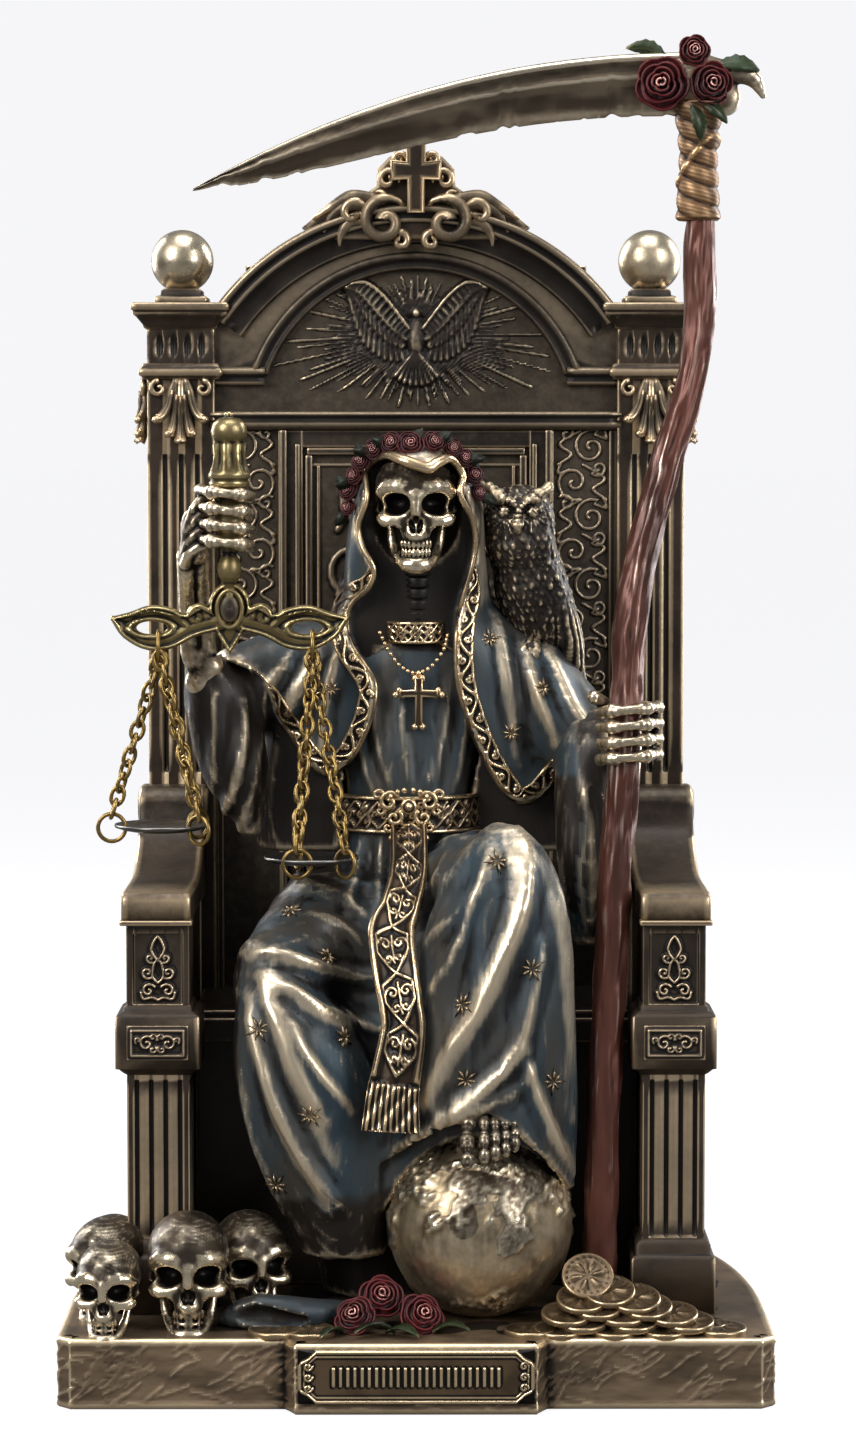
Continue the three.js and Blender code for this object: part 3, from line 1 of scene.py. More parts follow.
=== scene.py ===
"""The finish and the fine carving of a robed skeleton statuette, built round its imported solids.

Lengths are millimetres in the part's own frame until add() makes a mesh: +Z is up, +X is to the viewer's
right and the front faces -Y. A shape is a pair of arrays, its points and its triangles.
"""
import math

import bpy
import numpy as np
from mathutils import Euler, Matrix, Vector
from mathutils.bvhtree import BVHTree
from mathutils.geometry import tessellate_polygon


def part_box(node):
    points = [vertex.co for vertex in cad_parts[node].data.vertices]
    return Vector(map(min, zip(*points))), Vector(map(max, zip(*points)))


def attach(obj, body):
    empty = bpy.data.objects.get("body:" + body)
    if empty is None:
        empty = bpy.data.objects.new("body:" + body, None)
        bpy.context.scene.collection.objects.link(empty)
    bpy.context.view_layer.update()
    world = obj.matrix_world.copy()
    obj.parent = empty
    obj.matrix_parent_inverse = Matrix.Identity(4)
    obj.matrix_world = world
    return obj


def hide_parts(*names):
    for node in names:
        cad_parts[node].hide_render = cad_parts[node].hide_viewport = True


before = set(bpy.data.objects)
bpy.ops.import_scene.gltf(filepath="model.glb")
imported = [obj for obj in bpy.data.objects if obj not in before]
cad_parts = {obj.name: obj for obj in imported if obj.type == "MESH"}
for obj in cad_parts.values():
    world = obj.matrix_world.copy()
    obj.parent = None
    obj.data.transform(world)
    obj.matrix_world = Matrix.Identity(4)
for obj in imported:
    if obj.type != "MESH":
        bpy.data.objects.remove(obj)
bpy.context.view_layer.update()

TAU = 2 * math.pi
MM = 0.001
CLOSE = 1.7  # points further apart than this have no say in how strongly each other bulges, which sets the rub on crests and the patina and painted shade in hollows
SHORTEST = 0.15  # edges shorter than this count as this long in how strongly a point bulges
COARSE = 1.0  # how much coarser the sculpted meshes are while trying things


def node_box(name):
    """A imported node's lowest and highest corners in millimetres."""
    low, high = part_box(name)
    return np.array(low) / MM, np.array(high) / MM


# Arrays of points and triangles


def grid_faces(rows, cols, wrap_rows=False, wrap_cols=False):
    """Triangles over a grid of points that is stored row by row."""
    r, c = np.meshgrid(
        np.arange(rows if wrap_rows else rows - 1),
        np.arange(cols if wrap_cols else cols - 1),
        indexing="ij",
    )
    r, c = r.ravel(), c.ravel()
    r1, c1 = (r + 1) % rows, (c + 1) % cols
    a, b, d, e = r * cols + c, r * cols + c1, r1 * cols + c, r1 * cols + c1
    return np.concatenate([np.stack([a, b, e], 1), np.stack([a, e, d], 1)])


def merged(shapes):
    """Several shapes as one."""
    points, faces, start = [], [], 0
    for p, f in shapes:
        points.append(np.asarray(p, float))
        faces.append(np.asarray(f) + start)
        start += len(p)
    return np.concatenate(points), np.concatenate(faces)


def outward(shape):
    """The shape with its faces turned out."""
    p, f = shape
    a, b, c = p[f[:, 0]], p[f[:, 1]], p[f[:, 2]]
    volume = np.einsum("ij,ij->i", a, np.cross(b, c)).sum()
    return (p, f[:, ::-1]) if volume < 0 else (p, f)


def welded(shape, places=3):
    """The shape with points that share a place joined."""
    p, f = shape
    _, first, index = np.unique(np.round(p, places), axis=0, return_index=True, return_inverse=True)
    f = index.ravel()[f]
    whole = (f[:, 0] != f[:, 1]) & (f[:, 1] != f[:, 2]) & (f[:, 0] != f[:, 2])
    return p[first], f[whole]


def loft(rings, closed=False):
    """A skin through rings of points, each end closed to its middle."""
    rings = np.asarray(rings, float)
    rows, cols, _ = rings.shape
    points, faces = rings.reshape(-1, 3), grid_faces(rows, cols, closed, True)
    if not closed:
        i = np.arange(cols)
        j = (i + 1) % cols
        first, last = rows * cols, (rows - 1) * cols
        ends = [
            np.stack([np.full(cols, first), j, i], 1),
            np.stack([np.full(cols, first + 1), last + i, last + j], 1),
        ]
        points = np.concatenate([points, rings[[0, -1]].mean(1)])
        faces = np.concatenate([faces, *ends])
    return outward((points, faces))


def smooth_path(points, count):
    """Points along a smooth curve through the given ones."""
    p = np.asarray(points, float)
    p = np.concatenate([[2 * p[0] - p[1]], p, [2 * p[-1] - p[-2]]])
    place = np.linspace(0, len(p) - 3, count)
    i = np.minimum(place.astype(int), len(p) - 4)
    t = (place - i)[:, None]
    a, b, c, d = p[i], p[i + 1], p[i + 2], p[i + 3]
    return 0.5 * (2 * b + (c - a) * t + (2 * a - 5 * b + 4 * c - d) * t**2 + (3 * b - a - 3 * c + d) * t**3)


def evened(values, rounds):
    """Draws each value but the first and the last towards its neighbours, in place, so many times."""
    for _ in range(rounds):
        values[1:-1] = (values[:-2] + 2 * values[1:-1] + values[2:]) / 4
    return values


def run_of(line):
    """How far along a line each of its points is."""
    return np.concatenate([[0], np.cumsum(np.linalg.norm(np.diff(line, axis=0), axis=1))])


def upright(curve, y):
    """A curve in x and z, at one depth."""
    return np.stack([curve[:, 0], np.full(len(curve), y), curve[:, 1]], 1)


def level_ring(angle, r, z, middle=(0.0, 0.0)):
    """Points round a middle at one height."""
    return np.stack([middle[0] + r * np.cos(angle), middle[1] + r * np.sin(angle), z + 0 * angle], 1)


def by_side(angle, s):
    """An angle on the right side, where s is 1, or its mirror image on the left."""
    return angle if s > 0 else math.pi - angle


def unit(v):
    """Vectors of length 1 along the given ones."""
    return v / np.maximum(np.linalg.norm(v, axis=-1, keepdims=True), 1e-9)


def tube(path, radii, sides=8, up=(0, 1, 0), closed=False):
    """A tube along a path. A radius is one number for all, or one number or a pair for each point."""
    path = np.asarray(path, float)
    along = np.roll(path, -1, 0) - np.roll(path, 1, 0)
    if not closed:
        along[0], along[-1] = path[1] - path[0], path[-1] - path[-2]
    along = unit(along)
    side = np.empty_like(path)
    last = np.asarray(up, float)
    for i, t in enumerate(along):
        last = last - t * (last @ t)
        if np.linalg.norm(last) < 1e-3:
            last = np.cross(t, (1.0, 0.3, 0.2))
        last = last / np.linalg.norm(last)
        side[i] = last
    other = np.cross(along, side)
    r = np.asarray(radii, float)
    if r.ndim == 0:
        r = np.full(len(path), float(r))
    r = np.stack([r, r], 1) if r.ndim == 1 else r
    angle = TAU * np.arange(sides) / sides
    rings = (
        path[:, None]
        + side[:, None] * (r[:, :1] * np.cos(angle))[..., None]
        + other[:, None] * (r[:, 1:] * np.sin(angle))[..., None]
    )
    return loft(rings, closed)


def turned(euler):
    """The matrix of a turn about x, then y, then z."""
    return np.array(Euler(euler).to_matrix())


def placed(shape, middle, euler=(0, 0, 0), size=1.0):
    """The shape turned, scaled and moved."""
    return shape[0] * size @ turned(euler).T + np.asarray(middle, float), shape[1]


def facing(direction, spin=0.0):
    """Turns that point a shape's own +z along the direction."""
    q = Vector((0, 0, 1)).rotation_difference(Vector(direction))
    return (q.to_matrix() @ Euler((0, 0, spin)).to_matrix()).to_euler()


def lathe(profile, sides, middle=(0, 0, 0), euler=(0, 0, 0)):
    """A closed turning about its own z: the profile of (r, z) runs from axis to axis."""
    angle = TAU * np.arange(sides) / sides
    return placed(loft([level_ring(angle, r, z) for r, z in profile]), middle, euler)


def normals_of(shape):
    """Each point's normal, from the faces round it by their area."""
    p, f = shape
    n = np.cross(p[f[:, 1]] - p[f[:, 0]], p[f[:, 2]] - p[f[:, 0]])
    out = np.zeros_like(p)
    for k in range(3):
        for c in range(3):
            out[:, c] += np.bincount(f[:, k], n[:, c], len(p))
    return unit(out)


def pushed(shape, amount):
    """The shape with each point moved out along its normal by amount(points, normals)."""
    n = normals_of(shape)
    return shape[0] + n * amount(shape[0], n)[:, None], shape[1]


def bulge(shape, rounds):
    """How strongly each point bulges, as one over a radius in millimetres, taken over so many rounds."""
    p, f = shape
    edges = np.unique(np.sort(np.concatenate([f[:, :2], f[:, 1:], f[:, ::2]]), 1), axis=0)
    long = np.linalg.norm(p[edges[:, 0]] - p[edges[:, 1]], axis=1)
    i, j = edges[long < CLOSE].T
    long = long[long < CLOSE]
    count = np.bincount(i, minlength=len(p)) + np.bincount(j, minlength=len(p))
    share = np.maximum(count, 1)
    step = (np.bincount(i, long, len(p)) + np.bincount(j, long, len(p))) / share
    q = p.copy()
    for _ in range(rounds):
        q = np.stack(
            [
                (np.bincount(i, q[j, c], len(p)) + np.bincount(j, q[i, c], len(p))) / share
                for c in range(3)
            ],
            1,
        )
    out = np.einsum("ij,ij->i", p - q, normals_of(shape))
    return np.where(count == 0, 0, 2 * out / (rounds * np.maximum(step, SHORTEST) ** 2))


def add(name, shape, material, replaced=(), sculpted=True, tone=None):
    """Makes a piece of the shape that rides on the part, with how its points bulge as attributes.

    The tone is 1 where the paint has its second colour, which on the robe and the veil also stands for
    painted shade, and below 0 where a painted highlight lightens it towards the glint.
    """
    points, faces = shape
    mesh = bpy.data.meshes.new(name)
    mesh.from_pydata((points * MM).tolist(), [], faces.tolist())
    mesh.update()
    for label, rounds in (("crest", 3), ("depth", 22 if sculpted else 2)):
        layer = mesh.attributes.new(label, "FLOAT", "POINT")
        layer.data.foreach_set("value", np.clip(bulge(shape, rounds), -3, 3).astype(np.float32))
    layer = mesh.attributes.new("tone", "FLOAT", "POINT")
    tone = np.zeros(len(points)) if tone is None else tone
    layer.data.foreach_set("value", tone.astype(np.float32))
    mesh.shade_smooth()
    mesh.materials.append(material)
    piece = bpy.data.objects.new(name, mesh)
    bpy.context.scene.collection.objects.link(piece)
    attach(piece, "root")
    if replaced:
        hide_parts(*([replaced] if isinstance(replaced, str) else replaced))
    return piece


# Solids as fields: a field gives each point's distance outside the surface


def egg(middle, radii, euler=(0, 0, 0)):
    """An egg-shaped solid."""
    c, r, m = np.array(middle, float), np.array(radii, float), turned(euler)

    def field(p):
        q = (p - c) @ m / r
        far = np.linalg.norm(q, axis=1)
        return far * (far - 1) / np.maximum(np.linalg.norm(q / r, axis=1), 1e-6)

    return field


def bone(points, radii):
    """A chain of rods whose radius changes from point to point."""
    p, r = np.array(points, float), np.broadcast_to(np.array(radii, float), len(points))

    def field(q):
        best = None
        for a, b, ra, rb in zip(p[:-1], p[1:], r[:-1], r[1:]):
            ab = b - a
            off = q - a
            t = np.clip(off @ ab / (ab @ ab), 0, 1)
            d = np.linalg.norm(off - t[:, None] * ab, axis=1) - (ra + (rb - ra) * t)
            best = d if best is None else np.minimum(best, d)
        return best

    return field


def bent(points, radii, count=9):
    """A bone along a smooth curve."""
    at = np.linspace(0, 1, count)
    return bone(smooth_path(points, count), np.interp(at, np.linspace(0, 1, len(radii)), radii))


def column(levels):
    """A field through level ellipses, each [z, x, y, half width, half depth], joined smoothly."""
    table = smooth_path(levels, 6 * len(levels))
    z0, z1 = table[0, 0], table[-1, 0]

    def field(p):
        x, y, rx, ry = (np.interp(p[:, 2], table[:, 0], table[:, k]) for k in range(1, 5))
        far = np.hypot((p[:, 0] - x) / rx, (p[:, 1] - y) / ry)
        side = (far - 1) * np.minimum(rx, ry)
        return np.maximum(side, np.maximum(z0 - p[:, 2], p[:, 2] - z1))

    return field


def union(k, *fields):
    """Fields joined, with a fillet of about k."""

    def field(p):
        d = fields[0](p)
        for other in fields[1:]:
            e = other(p)
            h = np.maximum(k - np.abs(d - e), 0) / k
            d = np.minimum(d, e) - h * h * k / 4
        return d

    return field


def carved(base, tool, k=0.4):
    """The base with the tool taken out of it."""

    def field(p):
        d, e = base(p), -tool(p)
        h = np.maximum(k - np.abs(d - e), 0) / k
        return np.maximum(d, e) + h * h * k / 4

    return field


def sampled(field, low, high, step, block=14):
    """The field's values on a grid, worked out in full only near the surface."""
    count = np.ceil((high - low) / step).astype(int) + 1
    axes = [low[i] + step * np.arange(count[i]) for i in range(3)]
    values = np.empty(count, np.float32)
    corners = np.stack(
        np.meshgrid(*[np.arange(0, n, block) for n in count], indexing="ij"), -1
    ).reshape(-1, 3)
    rough = field(low + (corners + block / 2) * step)
    slack = 2.5  # how far off a field may be away from its surface
    reach = block * step * 0.9 + slack
    for (i, j, k), value in zip(corners, rough):
        part = values[i : i + block, j : j + block, k : k + block]
        if abs(value) > reach:
            part[...] = value
            continue
        x, y, z = (axes[a][s : s + block] for a, s in enumerate((i, j, k)))
        spots = np.stack(np.meshgrid(x, y, z, indexing="ij"), -1).reshape(-1, 3)
        part[...] = field(spots).reshape(part.shape)
    return values


def skinned(field, low, high, step):
    """The surface of a field as a shape: a point in each cell that the surface crosses."""
    low, high = np.array(low, float), np.array(high, float)
    step = step * COARSE
    value = sampled(field, low, high, step)
    size = np.array(value.shape)
    inner = size - 1
    cells, spots, flips = [], [], []
    for axis in range(3):
        u, v = (axis + 1) % 3, (axis + 2) % 3
        near, far = [slice(None)] * 3, [slice(None)] * 3
        near[axis], far[axis] = slice(0, -1), slice(1, None)
        for other in (u, v):
            near[other] = far[other] = slice(1, -1)
        a, b = value[tuple(near)], value[tuple(far)]
        where = np.argwhere((a < 0) != (b < 0))
        a, b = a[tuple(where.T)], b[tuple(where.T)]
        where = where + [0 if k == axis else 1 for k in range(3)]
        spot = where.astype(float)
        spot[:, axis] += a / (a - b)
        ring = []
        for du, dv in ((0, 0), (1, 0), (1, 1), (0, 1)):
            cell = where.copy()
            cell[:, u] -= du
            cell[:, v] -= dv
            ring.append((cell[:, 0] * inner[1] + cell[:, 1]) * inner[2] + cell[:, 2])
        cells.append(np.stack(ring, 1))
        spots.append(spot)
        flips.append(a > 0)
    cells, spots, flips = np.concatenate(cells), np.concatenate(spots), np.concatenate(flips)
    names, index = np.unique(cells.ravel(), return_inverse=True)
    share = np.bincount(index, minlength=len(names))
    points = np.stack(
        [np.bincount(index, np.repeat(spots[:, c], 4), len(names)) / share for c in range(3)], 1
    )
    quad = index.reshape(-1, 4)
    quad[flips] = quad[flips][:, ::-1]
    faces = np.concatenate([quad[:, [0, 1, 2]], quad[:, [0, 2, 3]]])
    points = points * step + low
    tiny = 0.02
    for _ in range(2):  # moves each point on to the surface itself
        here = field(points)
        slope = np.stack([field(points + tiny * axis) - here for axis in np.eye(3)], 1) / tiny
        off = here / np.maximum(np.sum(slope**2, 1), 0.3)
        points = points - slope * np.clip(off, -0.3 * step, 0.3 * step)[:, None]
    return points, faces


# Noise

OCTAVE_SHARE = 0.55  # how strong each finer octave is, as a share of the one before
OCTAVE_SCALE = 2.03  # how much finer it is
OCTAVE_SHIFT = 17.3  # how far its pattern is moved


def mixed_bits(i, j, k, seed):
    """A fixed pseudo-random number from 0 to 1 for each whole-numbered place."""
    h = (i * 374761393 + j * 668265263 + k * 2147483647 + seed * 1274126177) & 0xFFFFFFFF
    h = ((h ^ (h >> 13)) * 1274126177) & 0xFFFFFFFF
    return ((h ^ (h >> 16)) & 0xFFFF) / 65535.0


def noise(p, size, seed=0, octaves=3):
    """Smooth noise from -1 to 1 with features of about the given size. The size may differ by axis."""
    total, weight, scale = 0.0, 0.0, 1.0
    for octave in range(octaves):
        q = p / np.asarray(size, float) * scale + OCTAVE_SHIFT * octave
        whole = np.floor(q).astype(np.int64)
        t = q - whole
        t = t * t * (3 - 2 * t)
        value = 0.0
        for corner in range(8):
            bits = [(corner >> b) & 1 for b in range(3)]
            share = np.prod([t[:, c] if bits[c] else 1 - t[:, c] for c in range(3)], axis=0)
            value = value + share * mixed_bits(*(whole[:, c] + bits[c] for c in range(3)), seed + octave)
        total = total + (2 * value - 1) * OCTAVE_SHARE**octave
        weight += OCTAVE_SHARE**octave
        scale *= OCTAVE_SCALE
    return total / weight


# Drawn ornament: curves on a plane, and how far they stand out


def hill(*shares):
    """1 where every share is 0, dying away smoothly past 1."""
    return np.exp(-sum(share**2 for share in shares))


def spiral(x, y, radius, start, turns, hand=1, count=18, core=0.16):
    """A scroll that winds in from its outer end."""
    t = np.linspace(0, 1, count)
    r = radius * (1 - (1 - core) * t)
    a = start + hand * TAU * turns * t
    return np.stack([x + r * np.cos(a), y + r * np.sin(a)], 1)


def to_segment(u, v, a, b):
    """Each spot's place along a segment, from 0 to 1, and its squared distance from it."""
    du, dv = b - a
    t = np.clip(((u - a[0]) * du + (v - a[1]) * dv) / max(du * du + dv * dv, 1e-9), 0, 1)
    return t, (u - a[0] - t * du) ** 2 + (v - a[1] - t * dv) ** 2


def distance(u, v, curve):
    """The distance of each spot from a line through the curve's points."""
    best = np.full(u.shape, np.inf)
    for a, b in zip(curve[:-1], curve[1:]):
        best = np.minimum(best, to_segment(u, v, a, b)[1])
    return np.sqrt(best)


def run_along(u, v, curve):
    """Each spot's distance from a line through points, and its place along it from 0 to 1."""
    best, place = np.full(u.shape, np.inf), np.zeros(u.shape)
    for i, (a, b) in enumerate(zip(curve[:-1], curve[1:])):
        t, d = to_segment(u, v, a, b)
        place = np.where(d < best, (i + t) / (len(curve) - 1), place)
        best = np.minimum(best, d)
    return np.sqrt(best), place


def ridge(x, z, line, wide, high):
    """A fold's crest along a line: sharp on a soft base, with a hollow beside it, dying away at both ends."""
    d, place = run_along(x, z, smooth_path(line, 16))
    d = d / wide
    crest = 0.65 * hill(d / 0.85) + 0.35 * hill(d / 1.8)
    crest = crest - 0.22 * hill((d - 2.4) / 0.9)
    return high * crest * np.sin(math.pi * np.clip(place, 0.03, 0.97)) ** 0.45


def strokes(u, v, curves, width=0.45, height=0.7):
    """Round-backed lines along curves: the width is from the middle of a line to its edge."""
    out = np.zeros(u.shape)
    for curve in curves:
        low, high = curve.min(0) - width, curve.max(0) + width
        near = (u > low[0]) & (u < high[0]) & (v > low[1]) & (v < high[1])
        if near.any():
            d = distance(u[near], v[near], curve) / width
            out[near] = np.maximum(out[near], height * np.sqrt(np.clip(1 - d * d, 0, 1)))
    return out


def mirrored(curves, x=0.0):
    """The curves and their mirror images across a line at x."""
    return [*curves, *[np.stack([2 * x - c[:, 0], c[:, 1]], 1) for c in curves]]


def moved(curves, x, y, size=1.0):
    """The curves scaled and moved."""
    return [c * size + (x, y) for c in curves]


def palmette():
    """A leafy ornament about 8 wide and 16 tall round its middle."""
    half = [
        spiral(2.2, -5.2, 1.7, 2.6, 1.1, -1),
        spiral(2.4, -1.0, 1.5, -2.2, 1.15, 1),
        spiral(1.7, 2.4, 1.1, -1.9, 1.0, 1),
        smooth_path([(0, -7.4), (1.4, -6.8), (3.4, -7.2), (4.0, -5.6)], 9),
        smooth_path([(0, -3.4), (1.2, -2.0), (1.0, 0.8), (0, 2.4)], 9),
        smooth_path([(0, 1.8), (1.5, 4.2), (0.9, 6.4), (0, 7.6)], 9),
    ]
    return mirrored(half)


def vine(length, wide, repeats, hand=1):
    """A wavy stem along u from 0 to the length, with a scroll in each bend."""
    u = np.linspace(0, length, 12 * repeats)
    pitch = length / repeats
    stem = np.stack([u, hand * 0.36 * wide * np.sin(TAU * u / (2 * pitch))], 1)
    curves = [stem]
    for i in range(repeats):
        side = hand * (-1) ** i
        middle = (i + 0.5) * pitch
        curves.append(spiral(middle, -side * 0.16 * wide, 0.3 * wide, -side * 0.4, 1.25, -side, 16))
        end = (middle + 0.32 * pitch, side * 0.34 * wide)
        curves.append(spiral(*end, 0.13 * wide, side * 2.6, 0.8, side, 8))
    return curves


def crosses(length, wide, repeats):
    """Crossed stems with curls between them, along u."""
    pitch = length / repeats
    curves = []
    for i in range(repeats):
        m = (i + 0.5) * pitch
        for s in (-1, 1):
            line = [(m - 0.46 * pitch, -s * 0.42 * wide), (m, 0), (m + 0.46 * pitch, s * 0.42 * wide)]
            curves.append(np.array(line))
            curves.append(spiral(m + s * 0.26 * pitch, 0, 0.17 * wide, 0, 1.1, s, 10))
            curves.append(spiral(m, s * 0.28 * wide, 0.15 * wide, s * 1.57, 1.1, 1, 10))
    return curves


def hearts(length, wide, repeats):
    """Paired scrolls like hearts between crossed stems, along u."""
    pitch = length / repeats
    curves = []
    for i in range(repeats):
        m = (i + 0.5) * pitch
        for s in (-1, 1):
            curves.append(spiral(m - 0.12 * pitch, s * 0.23 * wide, 0.22 * wide, s * 1.5, 1.2, s, 14))
            curves.append(spiral(m + 0.17 * pitch, s * 0.17 * wide, 0.16 * wide, s * 1.5, 1.1, -s, 12))
            curves.append(np.array([(m - 0.5 * pitch, 0), (m - 0.28 * pitch, s * 0.5 * wide),
                                    (m + 0.06 * pitch, s * 0.5 * wide)]))
            curves.append(np.array([(m + 0.06 * pitch, s * 0.5 * wide), (m + 0.34 * pitch, s * 0.2 * wide),
                                    (m + 0.5 * pitch, 0)]))
        curves.append(np.array([(m - 0.3 * pitch, 0), (m + 0.3 * pitch, 0)]))
    return curves


def plate(corner, right, up, size, step, height, back=1.2):
    """A carved plate: height(u, v) is how far it stands out, with u and v from its lower left corner."""
    step = step * COARSE
    right, up = np.array(right, float), np.array(up, float)
    out = np.cross(right, up)
    nu, nv = (int(math.ceil(s / step)) + 1 for s in size)
    v, u = np.meshgrid(np.linspace(0, size[1], nv), np.linspace(0, size[0], nu), indexing="ij")
    flat = np.array(corner, float) + u[..., None] * right + v[..., None] * up
    front = flat + height(u, v)[..., None] * out
    index = np.arange(nu * nv).reshape(nv, nu)
    border = np.concatenate([index[0, :-1], index[:-1, -1], index[-1, :0:-1], index[:0:-1, 0]])
    rear = flat.reshape(-1, 3)[border] - back * out
    n, total = len(border), nu * nv
    i = np.arange(n)
    j = (i + 1) % n
    faces = [
        grid_faces(nv, nu),
        np.stack([border[i], total + i, total + j], 1),
        np.stack([border[i], total + j, border[j]], 1),
        np.stack([np.full(n, total + n), total + j, total + i], 1),
    ]
    points = np.concatenate([front.reshape(-1, 3), rear, rear.mean(0)[None]])
    return outward((points, np.concatenate(faces)))


def front_plate(corner, size, step, height, back=0.5):
    """A carved plate that faces forward."""
    return plate(corner, (1, 0, 0), (0, 0, 1), size, step, height, back)


# Built shapes


def stations(low, high, edge, extra=()):
    """Places along one side of a block: close together at its ends, and wherever a carved edge needs one."""
    ends = [0, 0.3 * edge, edge, 2.2 * edge]
    inside = [e for e in extra if low + edge < e < high - edge]
    places = [*(low + e for e in ends), *(high - e for e in ends), *inside]
    return np.array(sorted({round(x, 4) for x in places}))


def block(low, high, edge=0.6, extra=((), (), ()), relief=None):
    """A box with rounded edges between two corners, which may be given in any order.

    relief(points, axis, side) gives how far the points of a face stand out.
    """
    low, high = np.minimum(low, high).astype(float), np.maximum(low, high).astype(float)
    lines = [stations(low[i], high[i], edge, extra[i]) for i in range(3)]
    faces = []
    for axis in range(3):
        u, v = (axis + 1) % 3, (axis + 2) % 3
        a, b = np.meshgrid(lines[u], lines[v], indexing="ij")
        for side, level in ((-1, low[axis]), (1, high[axis])):
            p = np.empty((a.size, 3))
            p[:, u], p[:, v], p[:, axis] = a.ravel(), b.ravel(), level
            core = np.clip(p, low + edge, high - edge)
            p = core + unit(p - core) * edge
            if relief is not None:
                p[:, axis] += side * relief(p, axis, side)
            f = grid_faces(len(lines[u]), len(lines[v]))
            faces.append((p, f if side > 0 else f[:, ::-1]))
    return outward(welded(merged(faces)))


def offset(outline, amount):
    """A closed outline moved in by an amount."""
    before, after = np.roll(outline, 1, 0), np.roll(outline, -1, 0)
    a, b = unit(outline - before), unit(after - outline)
    na, nb = (np.stack([-d[:, 1], d[:, 0]], 1) for d in (a, b))
    bisector = unit(na + nb)
    stretch = np.clip(np.einsum("ij,ij->i", bisector, na), 0.35, 1)[:, None]
    area = np.sum(before[:, 0] * outline[:, 1] - before[:, 1] * outline[:, 0])
    return outline + bisector * amount * (1 if area > 0 else -1) / stretch


PLANES = {"xz": (0, 2, 1), "yz": (1, 2, 0)}


def prism(outline, low, high, plane_name="xz", edge=0.5):
    """An outline in one plane, made solid between two levels of the third axis, with its edges eased."""
    outline = np.asarray(outline, float)
    u, v, w = PLANES[plane_name]
    rings = []
    far, near = 2.4 * edge, 0.3 * edge
    for inset, level in ((far, low), (edge, low), (near, low + near), (0, low + edge), (0, low + far),
                         (0, high - far), (0, high - edge), (near, high - near), (edge, high), (far, high)):
        ring = np.empty((len(outline), 3))
        ring[:, [u, v]] = offset(outline, inset)
        ring[:, w] = level
        rings.append(ring)
    rings = np.array(rings)
    rows, cols, _ = rings.shape
    cap = np.array(tessellate_polygon([[Vector((*p, 0)) for p in rings[0][:, [u, v]]]]))
    ends = np.cross(outline[cap[0, 1]] - outline[cap[0, 0]], outline[cap[0, 2]] - outline[cap[0, 0]])
    cap = cap if ends > 0 else cap[:, ::-1]
    area = np.sum(np.roll(outline, 1, 0)[:, 0] * outline[:, 1] - np.roll(outline, 1, 0)[:, 1] * outline[:, 0])
    sides = grid_faces(rows, cols, False, True)
    if area < 0:
        sides = sides[:, ::-1]
    faces = np.concatenate([sides, cap[:, ::-1], cap + (rows - 1) * cols])
    return outward((rings.reshape(-1, 3), faces))


def moulding(path, profile):
    """A profile of (along the path's normal, y) carried along a path in x and z."""
    path = np.asarray(path, float)
    along = np.gradient(path, axis=0)
    normal = unit(np.stack([-along[:, 1], along[:, 0]], 1))
    rings = []
    for (x, z), (nx, nz) in zip(path, normal):
        rings.append([(x + nx * n, y, z + nz * n) for n, y in profile])
    return loft(rings)


def stepped(middle, half, profile, corner=0.5):
    """Rounded oblong rings stacked up: the profile is [how much wider, z]."""
    cx, cy = middle
    rings = []
    for extra, z in profile:
        a, b = half[0] + extra, half[1] + extra
        ring = []
        for qx, qy in ((1, 1), (-1, 1), (-1, -1), (1, -1)):
            tip = (a - corner * 0.3, b - corner * 0.3)
            wide, deep = (a - corner, b), (a, b - corner)
            far_x, far_y = (a - 3 * corner, b), (a, b - 3 * corner)
            order = [far_y, deep, tip, wide, far_x]
            ring += [(cx + qx * px, cy + qy * py, z) for px, py in (order if qx * qy > 0 else order[::-1])]
        rings.append(ring)
    return loft(rings)


def flutes(across, z, centres, wide, low, high, ease):
    """How far round-bottomed grooves between two levels stand out, which is less than nothing."""
    out = np.zeros(len(z))
    ends = np.clip((z - low) / ease, 0, 1) * np.clip((high - z) / ease, 0, 1)
    for c in centres:
        t = np.clip(np.abs(across - c) / wide, 0, 1)
        out -= 0.8 * np.sqrt(np.clip(1 - t**2.5, 0, 1)) * ends
    return out


def ring_link(middle, across, along, wide, length, wire, steps=14, sides=7):
    """An oval wire link: its plane holds along and is square to across."""
    u = unit(np.array(along, float))
    n = np.array(across, float)
    n = unit(n - u * (n @ u))
    v = np.cross(n, u)
    a = TAU * np.arange(steps) / steps
    path = np.asarray(middle) + np.outer(np.cos(a) * length / 2, u) + np.outer(np.sin(a) * wide / 2, v)
    return tube(path, wire, sides, up=n, closed=True)


# Materials

# The colour of the hollows, partly patina and partly painted shade.
DARK = (0.010, 0.008, 0.007)
POLISHED = {"rough": (0.28, 0.42), "metal": (0.6, 1.0)}
BONY = {"rough": (0.3, 0.44), "metal": (0.6, 1.0), "hollow": 2.4}


